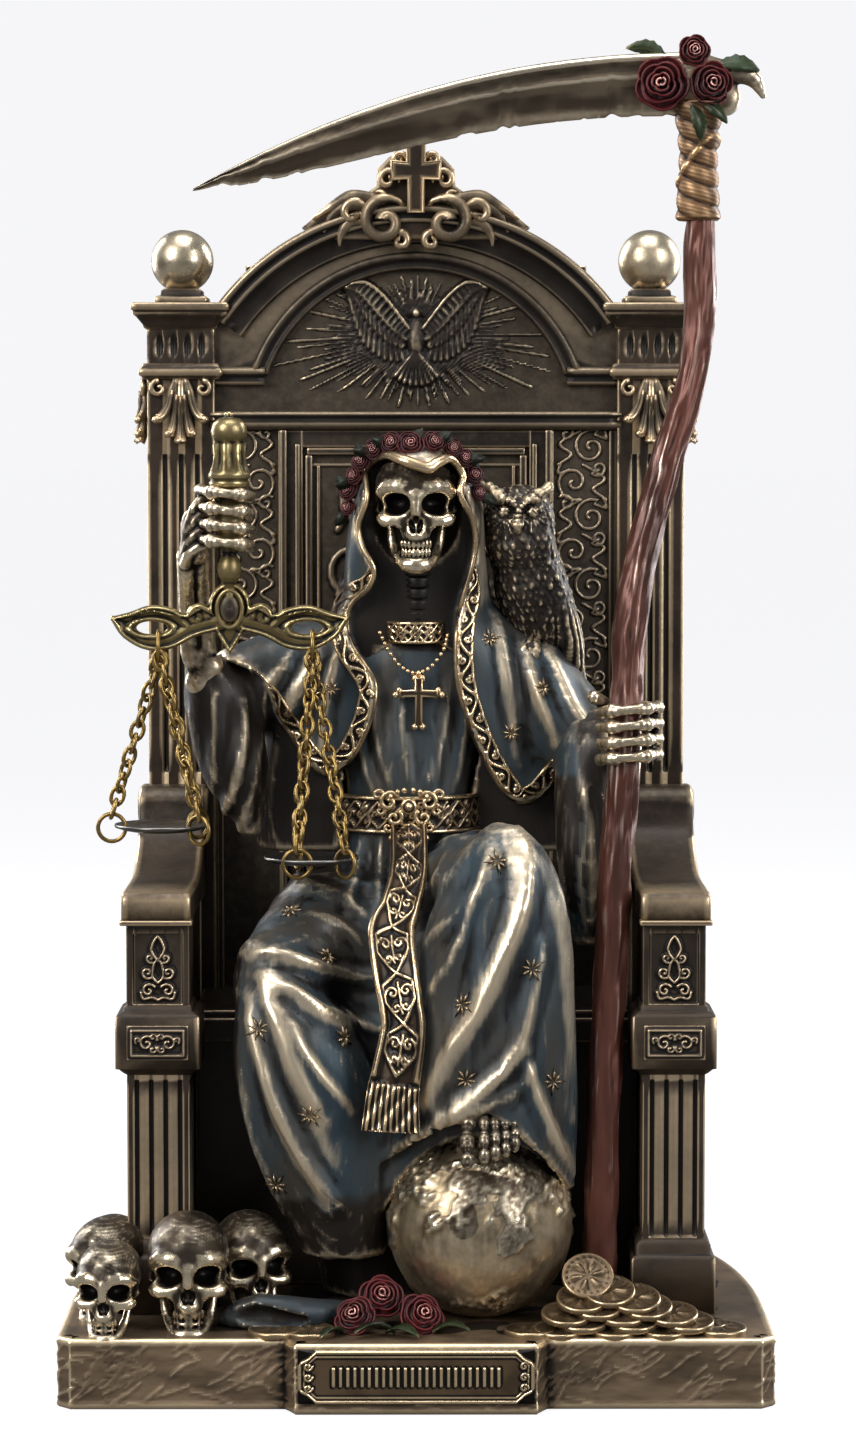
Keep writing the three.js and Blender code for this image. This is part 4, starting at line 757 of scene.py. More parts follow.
def patina_and_painted_light(name, base, glint, *, dark=DARK, other=None, metal=(0.4, 1.0), rough=(0.38, 0.52),
           start=0.1, width=0.6, broad=0.5, hollow=1.0, streak=(1, 1, 1), slant=(0, 0, 0), grain=0.3,
           noisy=0.22, toned=None):
    """Painted or toned metal: dark in its hollows, as patina and painted shade, and rubbed to the glint on
    its crests and where its tone paints a highlight.

    It is rubbed from where it bulges by start, and fully so by start + width, in one over millimetres.
    """
    material = bpy.data.materials.new(name)
    material.use_nodes = True
    nodes, links = material.node_tree.nodes, material.node_tree.links
    shader = nodes["Principled BSDF"]

    def node(kind, **values):
        made = nodes.new(kind)
        for key, value in values.items():
            if hasattr(made, key):
                setattr(made, key, value)
            else:
                made.inputs[key].default_value = value
        return made

    def socket(source):
        return source if isinstance(source, bpy.types.NodeSocket) else source.outputs[0]

    def maths(operation, a, b):
        made = node("ShaderNodeMath", operation=operation)
        for slot_index, value in enumerate((a, b)):
            if isinstance(value, (int, float)):
                made.inputs[slot_index].default_value = value
            else:
                links.new(socket(value), made.inputs[slot_index])
        return made

    def blend_colours(share, a, b):
        made = node("ShaderNodeMix", data_type="RGBA")
        links.new(socket(share), made.inputs["Factor"])
        for key, value in (("A", a), ("B", b)):
            target = [s for s in made.inputs if s.name == key and s.type == "RGBA"][0]
            if isinstance(value, tuple):
                target.default_value = (*value, 1)
            else:
                links.new(value, target)
        return [s for s in made.outputs if s.type == "RGBA"][0]

    def ranged(source, low, high, to_low=0.0, to_high=1.0):
        made = node("ShaderNodeMapRange", interpolation_type="SMOOTHSTEP")
        made.inputs["From Min"].default_value = low
        made.inputs["From Max"].default_value = high
        made.inputs["To Min"].default_value = to_low
        made.inputs["To Max"].default_value = to_high
        links.new(socket(source), made.inputs["Value"])
        return made.outputs["Result"]

    place = node("ShaderNodeTexCoord").outputs["Object"]
    stretched = node("ShaderNodeMapping", Scale=streak, Rotation=slant)
    links.new(place, stretched.inputs["Vector"])

    def clouds(scale, detail, vector=stretched):
        made = node("ShaderNodeTexNoise", Scale=scale, Detail=detail, Roughness=0.6)
        links.new(socket(vector), made.inputs["Vector"])
        return made.outputs[0]

    crest = node("ShaderNodeAttribute", attribute_name="crest").outputs["Fac"]
    depth = node("ShaderNodeAttribute", attribute_name="depth").outputs["Fac"]
    wide, fine = clouds(90, 3), clouds(520, 4)
    mottle = maths("SUBTRACT", fine, 0.5)
    bulging = maths("ADD", crest, maths("MULTIPLY", depth, broad))
    tone = node("ShaderNodeAttribute", attribute_name="tone").outputs["Fac"]
    # A tone below zero is a painted highlight: it adds to the rub from bulges and lightens the paint towards
    # the glint.
    painted_highlight = maths("MULTIPLY", maths("MINIMUM", tone, 0.0), -1.0)
    worn = maths("ADD", maths("ADD", bulging, maths("MULTIPLY", mottle, noisy)), painted_highlight)
    glint_share = ranged(worn, start, start + width)
    # Hollows go dark: partly the patina that lies in them, partly painted shade for the light they lose.
    low = maths("ADD", maths("MINIMUM", bulging, 0.0), maths("MULTIPLY", mottle, 0.5 * noisy))
    sunk = maths("MULTIPLY", low, -hollow)
    hollow_patina_and_shade = ranged(sunk, 0.02, 0.45)
    colour = blend_colours(ranged(wide, 0.35, 0.68), base, other or tuple(c * 0.55 for c in base))
    if toned:
        colour = blend_colours(ranged(tone, 0.3, 0.7), colour, toned)
    colour = blend_colours(hollow_patina_and_shade, colour, dark)
    colour = blend_colours(glint_share, colour, glint)
    links.new(colour, shader.inputs["Base Color"])
    links.new(ranged(glint_share, 0, 1, *metal), shader.inputs["Metallic"])
    gloss = ranged(maths("ADD", wide, maths("MULTIPLY", mottle, 0.5)), 0.2, 0.8, rough[1], rough[0])
    links.new(maths("SUBTRACT", gloss, maths("MULTIPLY", glint_share, 0.08)).outputs[0],
              shader.inputs["Roughness"])
    bump = node("ShaderNodeBump", Strength=grain, Distance=0.00025)
    links.new(clouds(700, 5), bump.inputs["Height"])
    links.new(bump.outputs["Normal"], shader.inputs["Normal"])
    return material


bronze = patina_and_painted_light("bronze", (0.048, 0.031, 0.019), (0.74, 0.57, 0.37), other=(0.022, 0.015, 0.01), start=0.14,
                width=0.7)
brushed_bronze = patina_and_painted_light("brushed_bronze", (0.29, 0.208, 0.132), (0.9, 0.72, 0.48), other=(0.13, 0.092, 0.06),
                        streak=(0.6, 0.6, 1.8), slant=(0, 0.7, 0), start=0.04, width=0.4, metal=(0.7, 1.0))
dark_bronze = patina_and_painted_light("dark_bronze", (0.028, 0.02, 0.014), (0.56, 0.44, 0.3), other=(0.015, 0.011, 0.009),
                     start=0.14, width=0.7)
post_bronze = patina_and_painted_light("post_bronze", (0.058, 0.04, 0.026), (0.7, 0.54, 0.36), other=(0.028, 0.02, 0.014),
                     start=0.7, width=1.0)
fold_paint = patina_and_painted_light("fold_paint", (0.036, 0.052, 0.064), (0.66, 0.58, 0.46), other=(0.05, 0.047, 0.041),
                    start=0.55, width=1.0, hollow=1.4)
# Near black all over: painted shade for the neck under the hood.
painted_shade_bronze = patina_and_painted_light("painted_shade_bronze", (0.010, 0.008, 0.007), (0.09, 0.07, 0.05), start=0.3, width=1.2)
bone_metal = patina_and_painted_light("bone_metal", (0.1, 0.068, 0.04), (0.9, 0.76, 0.55), other=(0.05, 0.036, 0.024),
                    start=0.2, width=0.75, broad=0.8, **BONY)
foot_metal = patina_and_painted_light("foot_metal", (0.075, 0.054, 0.036), (0.88, 0.74, 0.54), other=(0.04, 0.03, 0.021),
                    start=0.45, width=1.1, broad=0.6, **BONY)
skull_metal = patina_and_painted_light("skull_metal", (0.075, 0.055, 0.037), (0.93, 0.79, 0.57), other=(0.036, 0.027, 0.019),
                     start=0.12, width=0.42, hollow=2.4, broad=0.8, noisy=0.25, **POLISHED)
# Its toned colour is the brown of the sleeves and the sides, and also painted shade where robe_tone and
# veil_tone put it.
robe_paint = patina_and_painted_light("robe_paint", (0.032, 0.056, 0.074), (0.92, 0.77, 0.56), other=(0.066, 0.06, 0.051),
                    dark=(0.009, 0.008, 0.008), start=0.08, width=0.5, streak=(1, 1, 0.16), rough=(0.38, 0.5),
                    hollow=2.0, toned=(0.015, 0.011, 0.009), metal=(0.3, 0.95), noisy=0.4, broad=0.8)
gilt = patina_and_painted_light("gilt", (0.07, 0.043, 0.024), (0.92, 0.7, 0.43), other=(0.04, 0.026, 0.016), start=0.12,
              width=0.5, **POLISHED)
coin_metal = patina_and_painted_light("coin_metal", (0.17, 0.115, 0.062), (0.92, 0.7, 0.42), other=(0.09, 0.06, 0.034),
                    start=0.25, width=0.7, hollow=0.8, rough=(0.28, 0.42), metal=(0.7, 1.0))
plate_metal = patina_and_painted_light("plate_metal", (0.15, 0.1, 0.058), (0.94, 0.74, 0.46), other=(0.08, 0.052, 0.03),
                     start=0.08, width=0.45, **POLISHED)
feather_metal = patina_and_painted_light("feather_metal", (0.036, 0.026, 0.019), (0.84, 0.68, 0.46), other=(0.018, 0.013, 0.01),
                       start=0.2, width=0.75, hollow=1.6, noisy=0.8)
shaft_paint = patina_and_painted_light("shaft_paint", (0.14, 0.048, 0.033), (0.86, 0.67, 0.57), other=(0.055, 0.022, 0.017),
                     streak=(1, 1, 0.1), start=0.24, width=0.45, rough=(0.26, 0.4), noisy=0.9, hollow=1.6)
blade_metal = patina_and_painted_light("blade_metal", (0.26, 0.2, 0.138), (0.92, 0.79, 0.6), other=(0.12, 0.092, 0.064),
                     streak=(0.25, 1, 1), start=0.1, width=0.5, rough=(0.34, 0.48), metal=(0.7, 1.0),
                     noisy=0.4, toned=(0.06, 0.043, 0.029))
wrap_metal = patina_and_painted_light("wrap_metal", (0.2, 0.1, 0.042), (0.84, 0.54, 0.28), other=(0.09, 0.044, 0.02),
                    start=0.24, width=0.6, hollow=1.5)
crown_paint = patina_and_painted_light("crown_paint", (0.13, 0.018, 0.02), (0.7, 0.36, 0.33), dark=(0.012, 0.002, 0.003),
                     other=(0.055, 0.008, 0.01), start=1.5, width=1.6, metal=(0.2, 0.8), broad=0.2)
dark_leaf_paint = patina_and_painted_light("dark_leaf_paint", (0.014, 0.02, 0.01), (0.34, 0.33, 0.22), start=0.5, width=1.4)
petal_paint = patina_and_painted_light("petal_paint", (0.13, 0.012, 0.014), (0.78, 0.42, 0.37), dark=(0.012, 0.002, 0.003),
                     other=(0.055, 0.006, 0.008), start=1.0, width=1.4, metal=(0.2, 0.8), broad=0.2)
leaf_paint = patina_and_painted_light("leaf_paint", (0.03, 0.05, 0.016), (0.5, 0.46, 0.26), other=(0.016, 0.026, 0.01),
                    start=0.2, width=0.8, metal=(0.2, 0.8))
brass = patina_and_painted_light("brass", (0.15, 0.112, 0.043), (0.66, 0.53, 0.27), other=(0.095, 0.07, 0.029), start=0.15,
               width=0.7, rough=(0.3, 0.42), metal=(0.6, 1.0))
chain_brass = patina_and_painted_light("chain_brass", (0.34, 0.225, 0.075), (0.86, 0.65, 0.32), start=0.7, width=0.9,
                     other=(0.22, 0.145, 0.05), rough=(0.24, 0.36), metal=(0.9, 1.0), noisy=0.5)
pan_metal = patina_and_painted_light("pan_metal", (0.09, 0.086, 0.082), (0.5, 0.48, 0.45), other=(0.05, 0.048, 0.046),
                   start=0.2, rough=(0.26, 0.42), streak=(0.4, 1, 1), metal=(0.9, 1.0))
globe_metal = patina_and_painted_light("globe_metal", (0.56, 0.44, 0.28), (0.97, 0.86, 0.65), other=(0.2, 0.148, 0.092),
                     start=-0.05, width=0.55, rough=(0.28, 0.44), toned=(0.075, 0.052, 0.034),
                     metal=(0.85, 1.0), noisy=0.35)

# Throne

PILLAR_X = 53.75
PILLAR_HALF = 7.75
INNER_X = PILLAR_X - PILLAR_HALF
PILLAR_FACE = 36.0
BACK = 52.0
BOARD_FACE = 38.0
SUNK = 39.4
FOOT = node_box("throne")[0][2]
PILLAR_TOP = 229.0
ASTRAGAL = 217.6
CAPITAL_TOP = 234.7
SEAT_TOP = 77.0
PANEL_TOP = 205.8
ARM_TOP = 106.5
ARM_X = 55.5
ARM_HALF = 6.8
POST_FACE = -25.0
POST_D = 14.2
COLLAR = 68.5


def arc_of(half, rise, springing):
    """An arch's radius and the height of its middle, from its half width, its rise and its foot."""
    radius = (half**2 + rise**2) / (2 * rise)
    return radius, springing + rise - radius


def arc_path(radius, middle, half, count=41):
    """Points along an arch from the left to the right."""
    a = math.asin(min(half / radius, 1))
    t = np.linspace(math.pi / 2 + a, math.pi / 2 - a, count)
    return np.stack([radius * np.cos(t), middle + radius * np.sin(t)], 1)


OUTER = arc_of(47.0, 25.0, 232.0)
INNER = arc_of(35.5, 25.0, 219.0)


def board():
    """The back board with its arch, stiles, rails and mouldings."""
    half, shoulder = 46.9, 218.4
    stile_in, stile_out, edge_bead = 26, 31.6, 45.2
    arch = arc_path(OUTER[0] - 0.6, OUTER[1], half)
    outline = np.concatenate([[(-half, FOOT)], arch, [(half, FOOT)]])
    parts = [prism(outline, SUNK, BOARD_FACE + 12, edge=0.4)]
    y0, y1 = BOARD_FACE, SUNK + 1
    inner_arch = arc_path(INNER[0] + 0.4, INNER[1], 35.4)
    outer_arch = arc_path(OUTER[0] - 1.2, OUTER[1], 46.6)
    spandrel = np.concatenate([inner_arch, [(35.6, shoulder), (46.6, shoulder)], outer_arch[::-1],
                               [(-46.6, shoulder), (-35.6, shoulder)]])
    parts.append(prism(spandrel, y0, y1, edge=0.3))
    for s in (-1, 1):
        parts.append(block((s * stile_in, y0, SEAT_TOP), (s * stile_out, y1, PANEL_TOP), 0.3))
        parts.append(block((s * edge_bead - 0.9, y0, SEAT_TOP), (s * edge_bead + 0.9, y1, PANEL_TOP), 0.3))
        for x, w, out in ((30.4, 0.75, 1.5), (27.2, 0.55, 0.9), (24.6, 0.8, 0.2), (22.4, 0.4, -0.6)):
            top = PANEL_TOP - abs(30.4 - x)
            parts.append(block((s * x - w, y0 - out, SEAT_TOP), (s * x + w, y1, top), 0.3))
    parts.append(block((-26.4, y0, PANEL_TOP - 4), (26.4, y1, PANEL_TOP), 0.3))
    for z, w, out in ((4.9, 0.8, 0.4), (8.0, 0.4, -0.6)):
        parts.append(block((-25, y0 - out, PANEL_TOP - z - w), (25, y1, PANEL_TOP - z + w), 0.3))
    rail = [(-2.1, y1), (-2.1, y0 - 0.8), (-1.5, y0 - 2.2), (-0.7, y0 - 2.7), (0.3, y0 - 1.7),
            (0.8, y0 - 2.0), (1.5, y0 - 2.6), (2.1, y0 - 1.4), (2.1, y1)]
    path = np.stack([np.linspace(-INNER_X - 1, INNER_X + 1, 30), np.full(30, PANEL_TOP + 2.1)], 1)
    parts.append(moulding(path, rail))
    return parts


def arches():
    """The mouldings of the outer and the inner arch, and the inner one's level returns."""
    y = BOARD_FACE
    outer = [(0.0, y + 1), (0.0, y - 3.4), (-0.7, y - 4.5), (-1.6, y - 4.1), (-2.0, y - 3.2), (-2.8, y - 3.0),
             (-3.4, y - 3.5), (-4.1, y - 3.0), (-4.6, y - 2.0), (-6.2, y - 1.7), (-7.6, y - 0.8),
             (-8.2, y - 1.3), (-8.8, y - 0.6), (-9.0, y + 1)]
    inner = [(2.4, y + 1.6), (2.4, y - 0.6), (1.7, y - 2.0), (0.8, y - 1.8), (0.3, y - 0.7), (-0.5, y - 0.6),
             (-1.1, y - 1.2), (-1.8, y - 0.2), (-1.8, y + 1.6)]
    parts = [
        moulding(arc_path(OUTER[0], OUTER[1], 46.98, 61), outer),
        moulding(arc_path(INNER[0], INNER[1], 35.5, 61), inner),
    ]
    for s in (-1, 1):
        x = np.sort([s * 34.6, s * (INNER_X + 1)])
        path = np.stack([np.linspace(*x, 8), np.full(8, ASTRAGAL + 0.2)], 1)
        parts.append(moulding(path, inner))
    return parts


def pillar(s):
    """A fluted pillar with its frieze, astragal, capital and ball."""
    x, y = s * PILLAR_X, (PILLAR_FACE + BACK) / 2
    half, deep = PILLAR_HALF, (BACK - PILLAR_FACE) / 2
    wide, centres = 0.6, (-3.7, 0, 3.7)
    low, high = 127.0, 200.5
    frieze_z, frieze_x = 225.0, (-4.8, -1.6, 1.6, 4.8)
    edges = [c + e for c in centres for e in (-wide, -0.72 * wide, 0, 0.72 * wide, wide)]
    frieze = [c + e for c in frieze_x for e in (-0.8, -0.5, 0, 0.5, 0.8)]

    def relief(p, axis, side):
        if axis == 2:
            return np.zeros(len(p))
        across = p[:, 0] - x if axis == 1 else p[:, 1] - y
        out = flutes(across, p[:, 2], centres, wide, low, high, 1.2)
        for c in frieze_x:
            far = np.hypot((across - c) / 0.85, (p[:, 2] - frieze_z) / 3.0)
            out -= 0.9 * np.clip(1 - far**3, 0, 1)
        return out

    zs = [low, low + 0.4, low + 1.2, low + 2, *np.linspace(low + 8, high - 8, 7), high - 2, high - 1.2,
          high - 0.4, high, *np.linspace(frieze_z - 3.6, frieze_z + 3.6, 12)]
    shaft = block((x - half, PILLAR_FACE, FOOT), (x + half, BACK, PILLAR_TOP + 0.4), 0.5,
                  ([x + e for e in edges + frieze], [y + e for e in edges + frieze], zs), relief)
    top = CAPITAL_TOP
    astragal = [(0, 217.2), (1.0, 217.4), (1.2, 217.9), (1.8, 218.3), (1.8, 219.5), (1.3, 219.9),
                (1.1, 220.4), (0.8, 220.9), (0, 221.0)]
    cap = [(0, 228.6), (0.6, 229.0), (0.9, 229.8), (2.2, 231.4), (2.8, 231.9), (3.0, 232.3), (2.9, 232.8),
           (3.4, 233.1), (3.4, 234.2), (3.0, top), (1.0, top), (-1.5, top)]
    steps = [(-1.9, top - 0.2), (-1.7, top + 0.1), (-1.7, top + 1.3), (-2.2, top + 1.7), (-3.0, top + 1.9),
             (-3.1, top + 3.0), (-3.6, top + 3.4), (-5.5, top + 3.4)]
    return [
        shaft,
        stepped((x, y), (half, deep), astragal),
        stepped((x, y), (half, deep), cap),
        stepped((x, y), (half, deep), steps),
        *acanthus((x, PILLAR_FACE, ASTRAGAL), 0),
        *acanthus((x + s * half, y, ASTRAGAL), s * math.pi / 2),
    ]


def ball(s):
    """The ball on a pillar."""
    r, sunk = 7.2, 0.8
    middle = (s * PILLAR_X, (PILLAR_FACE + BACK) / 2, CAPITAL_TOP + 3.4 - sunk + r)
    profile = [(r * math.sin(t), -r * math.cos(t)) for t in np.linspace(0.001, math.pi - 0.001, 30)]
    return lathe(profile, 48, middle)


def acanthus(top, turn):
    """Leaves that hang from the astragal, their tips curling out."""
    parts = []
    for lean, long, size in ((0, 14.6, 1.35), (0.3, 12.8, 1.15), (-0.3, 12.8, 1.15), (0.66, 9.4, 1.1),
                             (-0.66, 9.4, 1.1)):
        s = math.sin(lean)
        path = [(1.6 * s, -0.6, 0), (3.4 * s, -1.0, -0.3 * long), (4.4 * s, -0.9, -0.62 * long),
                (6.4 * s, -1.4, -0.88 * long), (8.6 * s, -2.1, -long), (9.6 * s, -2.3, -0.93 * long)]
        width = np.interp(np.linspace(0, 1, 14), [0, 0.3, 0.75, 0.92, 1], [0.6, 0.8, 1, 1.1, 0.5]) * size
        shape = tube(smooth_path(path, 14), np.stack([width * 0.75, width], 1), 8)
        parts.append(placed(shape, top, (0, 0, turn)))
        groove = tube(smooth_path([(a * 0.9, b - 1.0 * size, c) for a, b, c in path[1:-1]], 10), 0.32, 5)
        parts.append(placed(groove, top, (0, 0, turn)))
    for s in (-1, 1):
        curl = spiral(s * 5.0, -2.4, 2.0, math.pi / 2, 1.1, -s, 14)
        parts.append(placed(tube(upright(curl, -1.0), np.linspace(0.7, 0.4, 14), 7), top, (0, 0, turn)))
    return parts


def arm(s):
    """An arm: a rolled cap that sweeps up to the pillar, over a closed side."""
    low, high = 99.5, 124.5
    front = POST_FACE - 2
    roll = 4.6
    rise = smooth_path([(front + 22, ARM_TOP), (front + 34, ARM_TOP + 0.6), (PILLAR_FACE - 20, ARM_TOP + 3.2),
                        (PILLAR_FACE - 12, ARM_TOP + 8), (PILLAR_FACE - roll * 2, high - roll)], 20)
    scroll = [(PILLAR_FACE - roll - roll * math.cos(a), high - roll + roll * math.sin(a))
              for a in np.linspace(0.2, math.pi / 2, 9)]
    nose = [(front, low + 0.6), (front, ARM_TOP - 1.6), (front + 0.5, ARM_TOP - 0.5), (front + 1.8, ARM_TOP)]
    outline = np.concatenate([nose, rise, scroll, [(PILLAR_FACE + 1, high), (PILLAR_FACE + 1, low)]])
    x0, x1 = ARM_X - ARM_HALF - 0.45, ARM_X + ARM_HALF + 0.9
    x0, x1 = (x0, x1) if s > 0 else (-x1, -x0)
    parts = [prism(outline, x0, x1, "yz", 0.7)]
    parts.append(block((x0 - 0.3, front - 0.7, ARM_TOP - 7), (x1 + 0.3, front + 3, ARM_TOP - 5.9), 0.3))
    panel = (s * ARM_X - ARM_HALF + 1.2, POST_FACE + POST_D - 1, FOOT)
    parts.append(block(panel, (s * ARM_X + ARM_HALF - 1.2, PILLAR_FACE + 0.5, low + 2), 0.4))
    cap = [(0.01, -8.1), (roll - 1.2, -8.0), (roll - 0.5, -7.6), (roll - 0.5, 7.6), (roll - 1.2, 8.0),
           (0.01, 8.1)]
    parts.append(lathe(cap, 28, (s * ARM_X, PILLAR_FACE - roll, high - roll), (0, math.pi / 2, 0)))
    return parts


def fluted_post(s):
    """A front post: stepped foot, fluted shaft, panelled collar and panelled block."""
    x, y = s * ARM_X, POST_FACE + POST_D / 2
    half, deep = ARM_HALF, POST_D / 2
    wide, pitch = 0.55, 3.1
    centres = (-1.5 * pitch, -pitch / 2, pitch / 2, 1.5 * pitch)
    low, high = 31.5, 66.0
    panel_low, panel_high, border, bevel = 82.2, 97.6, 1.4, 0.35

    def relief(p, axis, side):
        if axis == 2:
            return np.zeros(len(p))
        across = p[:, 0] - x if axis == 1 else p[:, 1] - y
        out = flutes(across, p[:, 2], centres, wide, low, high, 0.8)
        if axis == 1 and side < 0:
            inside = np.minimum(np.minimum(p[:, 2] - panel_low, panel_high - p[:, 2]),
                                half - border - np.abs(across))
            out -= 0.8 * np.clip(inside / bevel, 0, 1)
        return out

    edges = [c + e for c in centres for e in (-wide, -0.7 * wide, 0, 0.7 * wide, wide)]
    edges += [-half + border, -half + border + bevel, half - border - bevel, half - border]
    zs = [low, low + 0.4, low + 0.8, *np.linspace(low + 4, high - 4, 5), high - 0.8, high - 0.4, high,
          panel_low, panel_low + bevel, panel_high - bevel, panel_high]
    shaft = block((x - half, POST_FACE, FOOT), (x + half, POST_FACE + POST_D, 101), 0.45,
                  ([x + e for e in edges], [y + e for e in edges], zs), relief)
    foot = [(2.3, FOOT), (2.3, FOOT + 11.6), (2.0, FOOT + 12.3), (1.5, FOOT + 12.5), (1.3, FOOT + 13.0),
            (1.3, FOOT + 14.6), (0.9, FOOT + 15.4), (0.3, FOOT + 15.9), (0, FOOT + 16)]
    collar = [(0, COLLAR - 1.6), (0.6, COLLAR - 1.2), (1.6, COLLAR - 0.2), (2.3, COLLAR), (2.3, COLLAR + 11),
              (2.0, COLLAR + 11.5), (1.2, COLLAR + 12.1), (0.6, COLLAR + 12.4), (0.5, COLLAR + 13.2),
              (0, COLLAR + 13.6)]
    front = y - deep - 2.3

    def small_panel(u, v):
        frame_line = strokes(u, v, [np.array([(1, 1), (12.2, 1), (12.2, 6.4), (1, 6.4), (1, 1)])], 0.35, 0.5)
        curls = mirrored([spiral(8.9, 3.7, 1.7, 2.2, 1.2, -1), spiral(10.7, 4.4, 0.8, -1, 1.0, 1),
                          spiral(7.6, 2.4, 0.9, 2.5, 1, 1), spiral(7.5, 5.0, 0.9, -2.5, 1, -1)], 6.6)
        return np.maximum(frame_line, strokes(u, v, curls, 0.34, 0.75)) + 0.15

    def tall_panel(u, v):
        return strokes(u, v, moved(palmette(), 5.2, 7.8, 0.92), 0.42, 0.95) + 0.1

    return [
        shaft,
        stepped((x, y), (half, deep), foot),
        stepped((x, y), (half, deep), collar),
        front_plate((x - 6.6, front - 0.1, COLLAR + 2.0), (13.2, 7.4), 0.24, small_panel),
        front_plate((x - 5.2, POST_FACE + 0.75, panel_low), (10.4, 15.4), 0.24, tall_panel),
    ]


def dove_height(u, v):
    """A dove with raised wings on a burst of rays. Its middle is the origin of u and v."""
    radius = np.hypot(u, v)
    angle = np.degrees(np.arctan2(v, np.abs(u)))
    reach = np.interp(angle, [-90, -60, -38, -30, -12, -2, 6, 20, 34, 52, 60, 90],
                      [17, 18, 21, 28, 34.5, 33, 25, 27, 17, 12, 13.5, 14.5])
    count = 118
    turn = np.arctan2(v, u) / TAU * count
    away = np.abs(turn - np.round(turn)) / count * TAU * radius
    jitter = 0.8 + 0.2 * np.cos(np.round(turn) * 2.4)
    thick = 0.38 + 0.1 * np.sin(np.round(turn) * 5.3)
    ray = np.clip(1 - (away / thick) ** 2, 0, 1) * np.clip((reach * jitter - radius) / 1.5, 0, 1)
    height = 1.15 * np.sqrt(ray) * np.clip((radius - 3) / 2, 0, 1)
    for s in (-1, 1):
        lead = smooth_path([(s * 1.6, 1.4), (s * 4.0, 4.6), (s * 7.6, 9.0), (s * 11.4, 11.8),
                            (s * 14.6, 11.6)], 15)
        tips = smooth_path([(s * 2.8, -6.0), (s * 7.8, -5.2), (s * 12.0, -1.6), (s * 14.2, 4.0),
                            (s * 15.0, 10.6)], 15)
        wing = 0.0
        for reach_here, rise, wide in ((1.0, 0.7, 0.6), (0.62, 1.0, 0.68), (0.34, 1.3, 0.75)):
            ends = lead + (tips - lead) * reach_here
            feathers = [smooth_path([a, 0.5 * (a + b) + (s * 1.4, -0.6), b], 6) for a, b in zip(lead, ends)]
            wing = np.maximum(wing, strokes(u, v, feathers, wide, rise))
            if reach_here == 1.0:
                within = np.clip(strokes(u, v, feathers, 1.0, 2.5), 0, 1)
        wing = np.maximum(wing, strokes(u, v, [lead], 0.6, 1.7))
        height = height * (1 - within) + within * (0.7 + wing)
    tail = [np.array([(0, -3.4), (6.0 * math.sin(a), -6 - 5.4 * math.cos(a))])
            for a in np.linspace(-0.9, 0.9, 9)]
    height = np.maximum(height, strokes(u, v, tail, 0.7, 1.8))
    body = np.hypot(u / 2.3, (v + 0.8) / 5.2)
    head = np.hypot(u / 1.25, (v - 4.9) / 1.5)
    height = np.maximum(height, 2.4 * np.sqrt(np.clip(1 - body**2, 0, 1)))
    return np.maximum(height, 2.2 * np.sqrt(np.clip(1 - head**2, 0, 1)))


def tympanum():
    """The field under the arch, with the dove."""
    left, foot, wide, tall = -39.0, 209.6, 78.0, 33.6

    def height(u, v):
        x, z = u + left, v + foot
        out = dove_height(x, z - 227.6)
        inside = np.hypot(x, z - INNER[1]) < INNER[0] - 1.4
        return np.where(inside | (z < 216.4), out, 0) - 0.25

    return front_plate((left, SUNK, foot), (wide, tall), 0.42, height)


def arabesque(wide, tall, rows):
    """Interlacing loops and leaves that fill a tall panel."""
    curves = []
    pitch = tall / rows
    for i in range(rows):
        z = (i + 0.5) * pitch
        s = (-1) ** i
        curves.append(spiral(wide * (0.5 + 0.16 * s), z, wide * 0.34, s * 1.2, 1.45, s, 24, 0.1))
        curves.append(spiral(wide * (0.5 - 0.3 * s), z + 0.4 * pitch, wide * 0.16, s * 2.4, 1.2, -s, 14))
        curves.append(smooth_path([(wide * (0.5 - 0.46 * s), z - 0.5 * pitch),
                                   (wide * (0.5 - 0.2 * s), z - 0.2 * pitch),
                                   (wide * (0.5 - 0.42 * s), z + 0.1 * pitch),
                                   (wide * (0.5 - 0.02 * s), z + 0.5 * pitch)],
                                  14))
        curves.append(smooth_path([(wide * (0.5 + 0.4 * s), z + 0.5 * pitch),
                                   (wide * (0.5 + 0.46 * s), z + 0.25 * pitch),
                                   (wide * (0.5 + 0.24 * s), z + 0.36 * pitch)], 8))
    return curves


def panels():
    """The carved side panels and the leaf scrolls in the middle one."""
    foot = 118.0
    tall, wide = PANEL_TOP - foot, 12.4
    out = []
    for s in (-1, 1):
        curves = arabesque(wide, tall, 11)
        if s < 0:
            curves = [np.stack([wide - c[:, 0], c[:, 1]], 1) for c in curves]
        out.append(front_plate((s * 38.2 - wide / 2, SUNK, foot), (wide, tall), 0.4,
                               lambda u, v, c=curves: strokes(u, v, c, 0.5, 0.9) - 0.2))
    scrolls = []
    for z, r, s in ((8, 7, 1), (24, 7.6, -1), (40, 8, 1), (56, 7.4, -1), (71, 6.6, 1)):
        scrolls += [spiral(9 + s, z, r, 0.6 * s, 1.5, s, 26, 0.1), spiral(17, z + 7 * s, 3.6, 2, 1.2, -s)]
        scrolls += [smooth_path([(4, z - 6), (9, z + 2), (15, z + 3), (20, z + 9)], 12)]
    scrolls = mirrored(scrolls, 22)
    out.append(front_plate((-22, SUNK, foot), (44, 79), 0.56,
                           lambda u, v: strokes(u, v, scrolls, 1.15, 1.5) - 0.2))
    return out


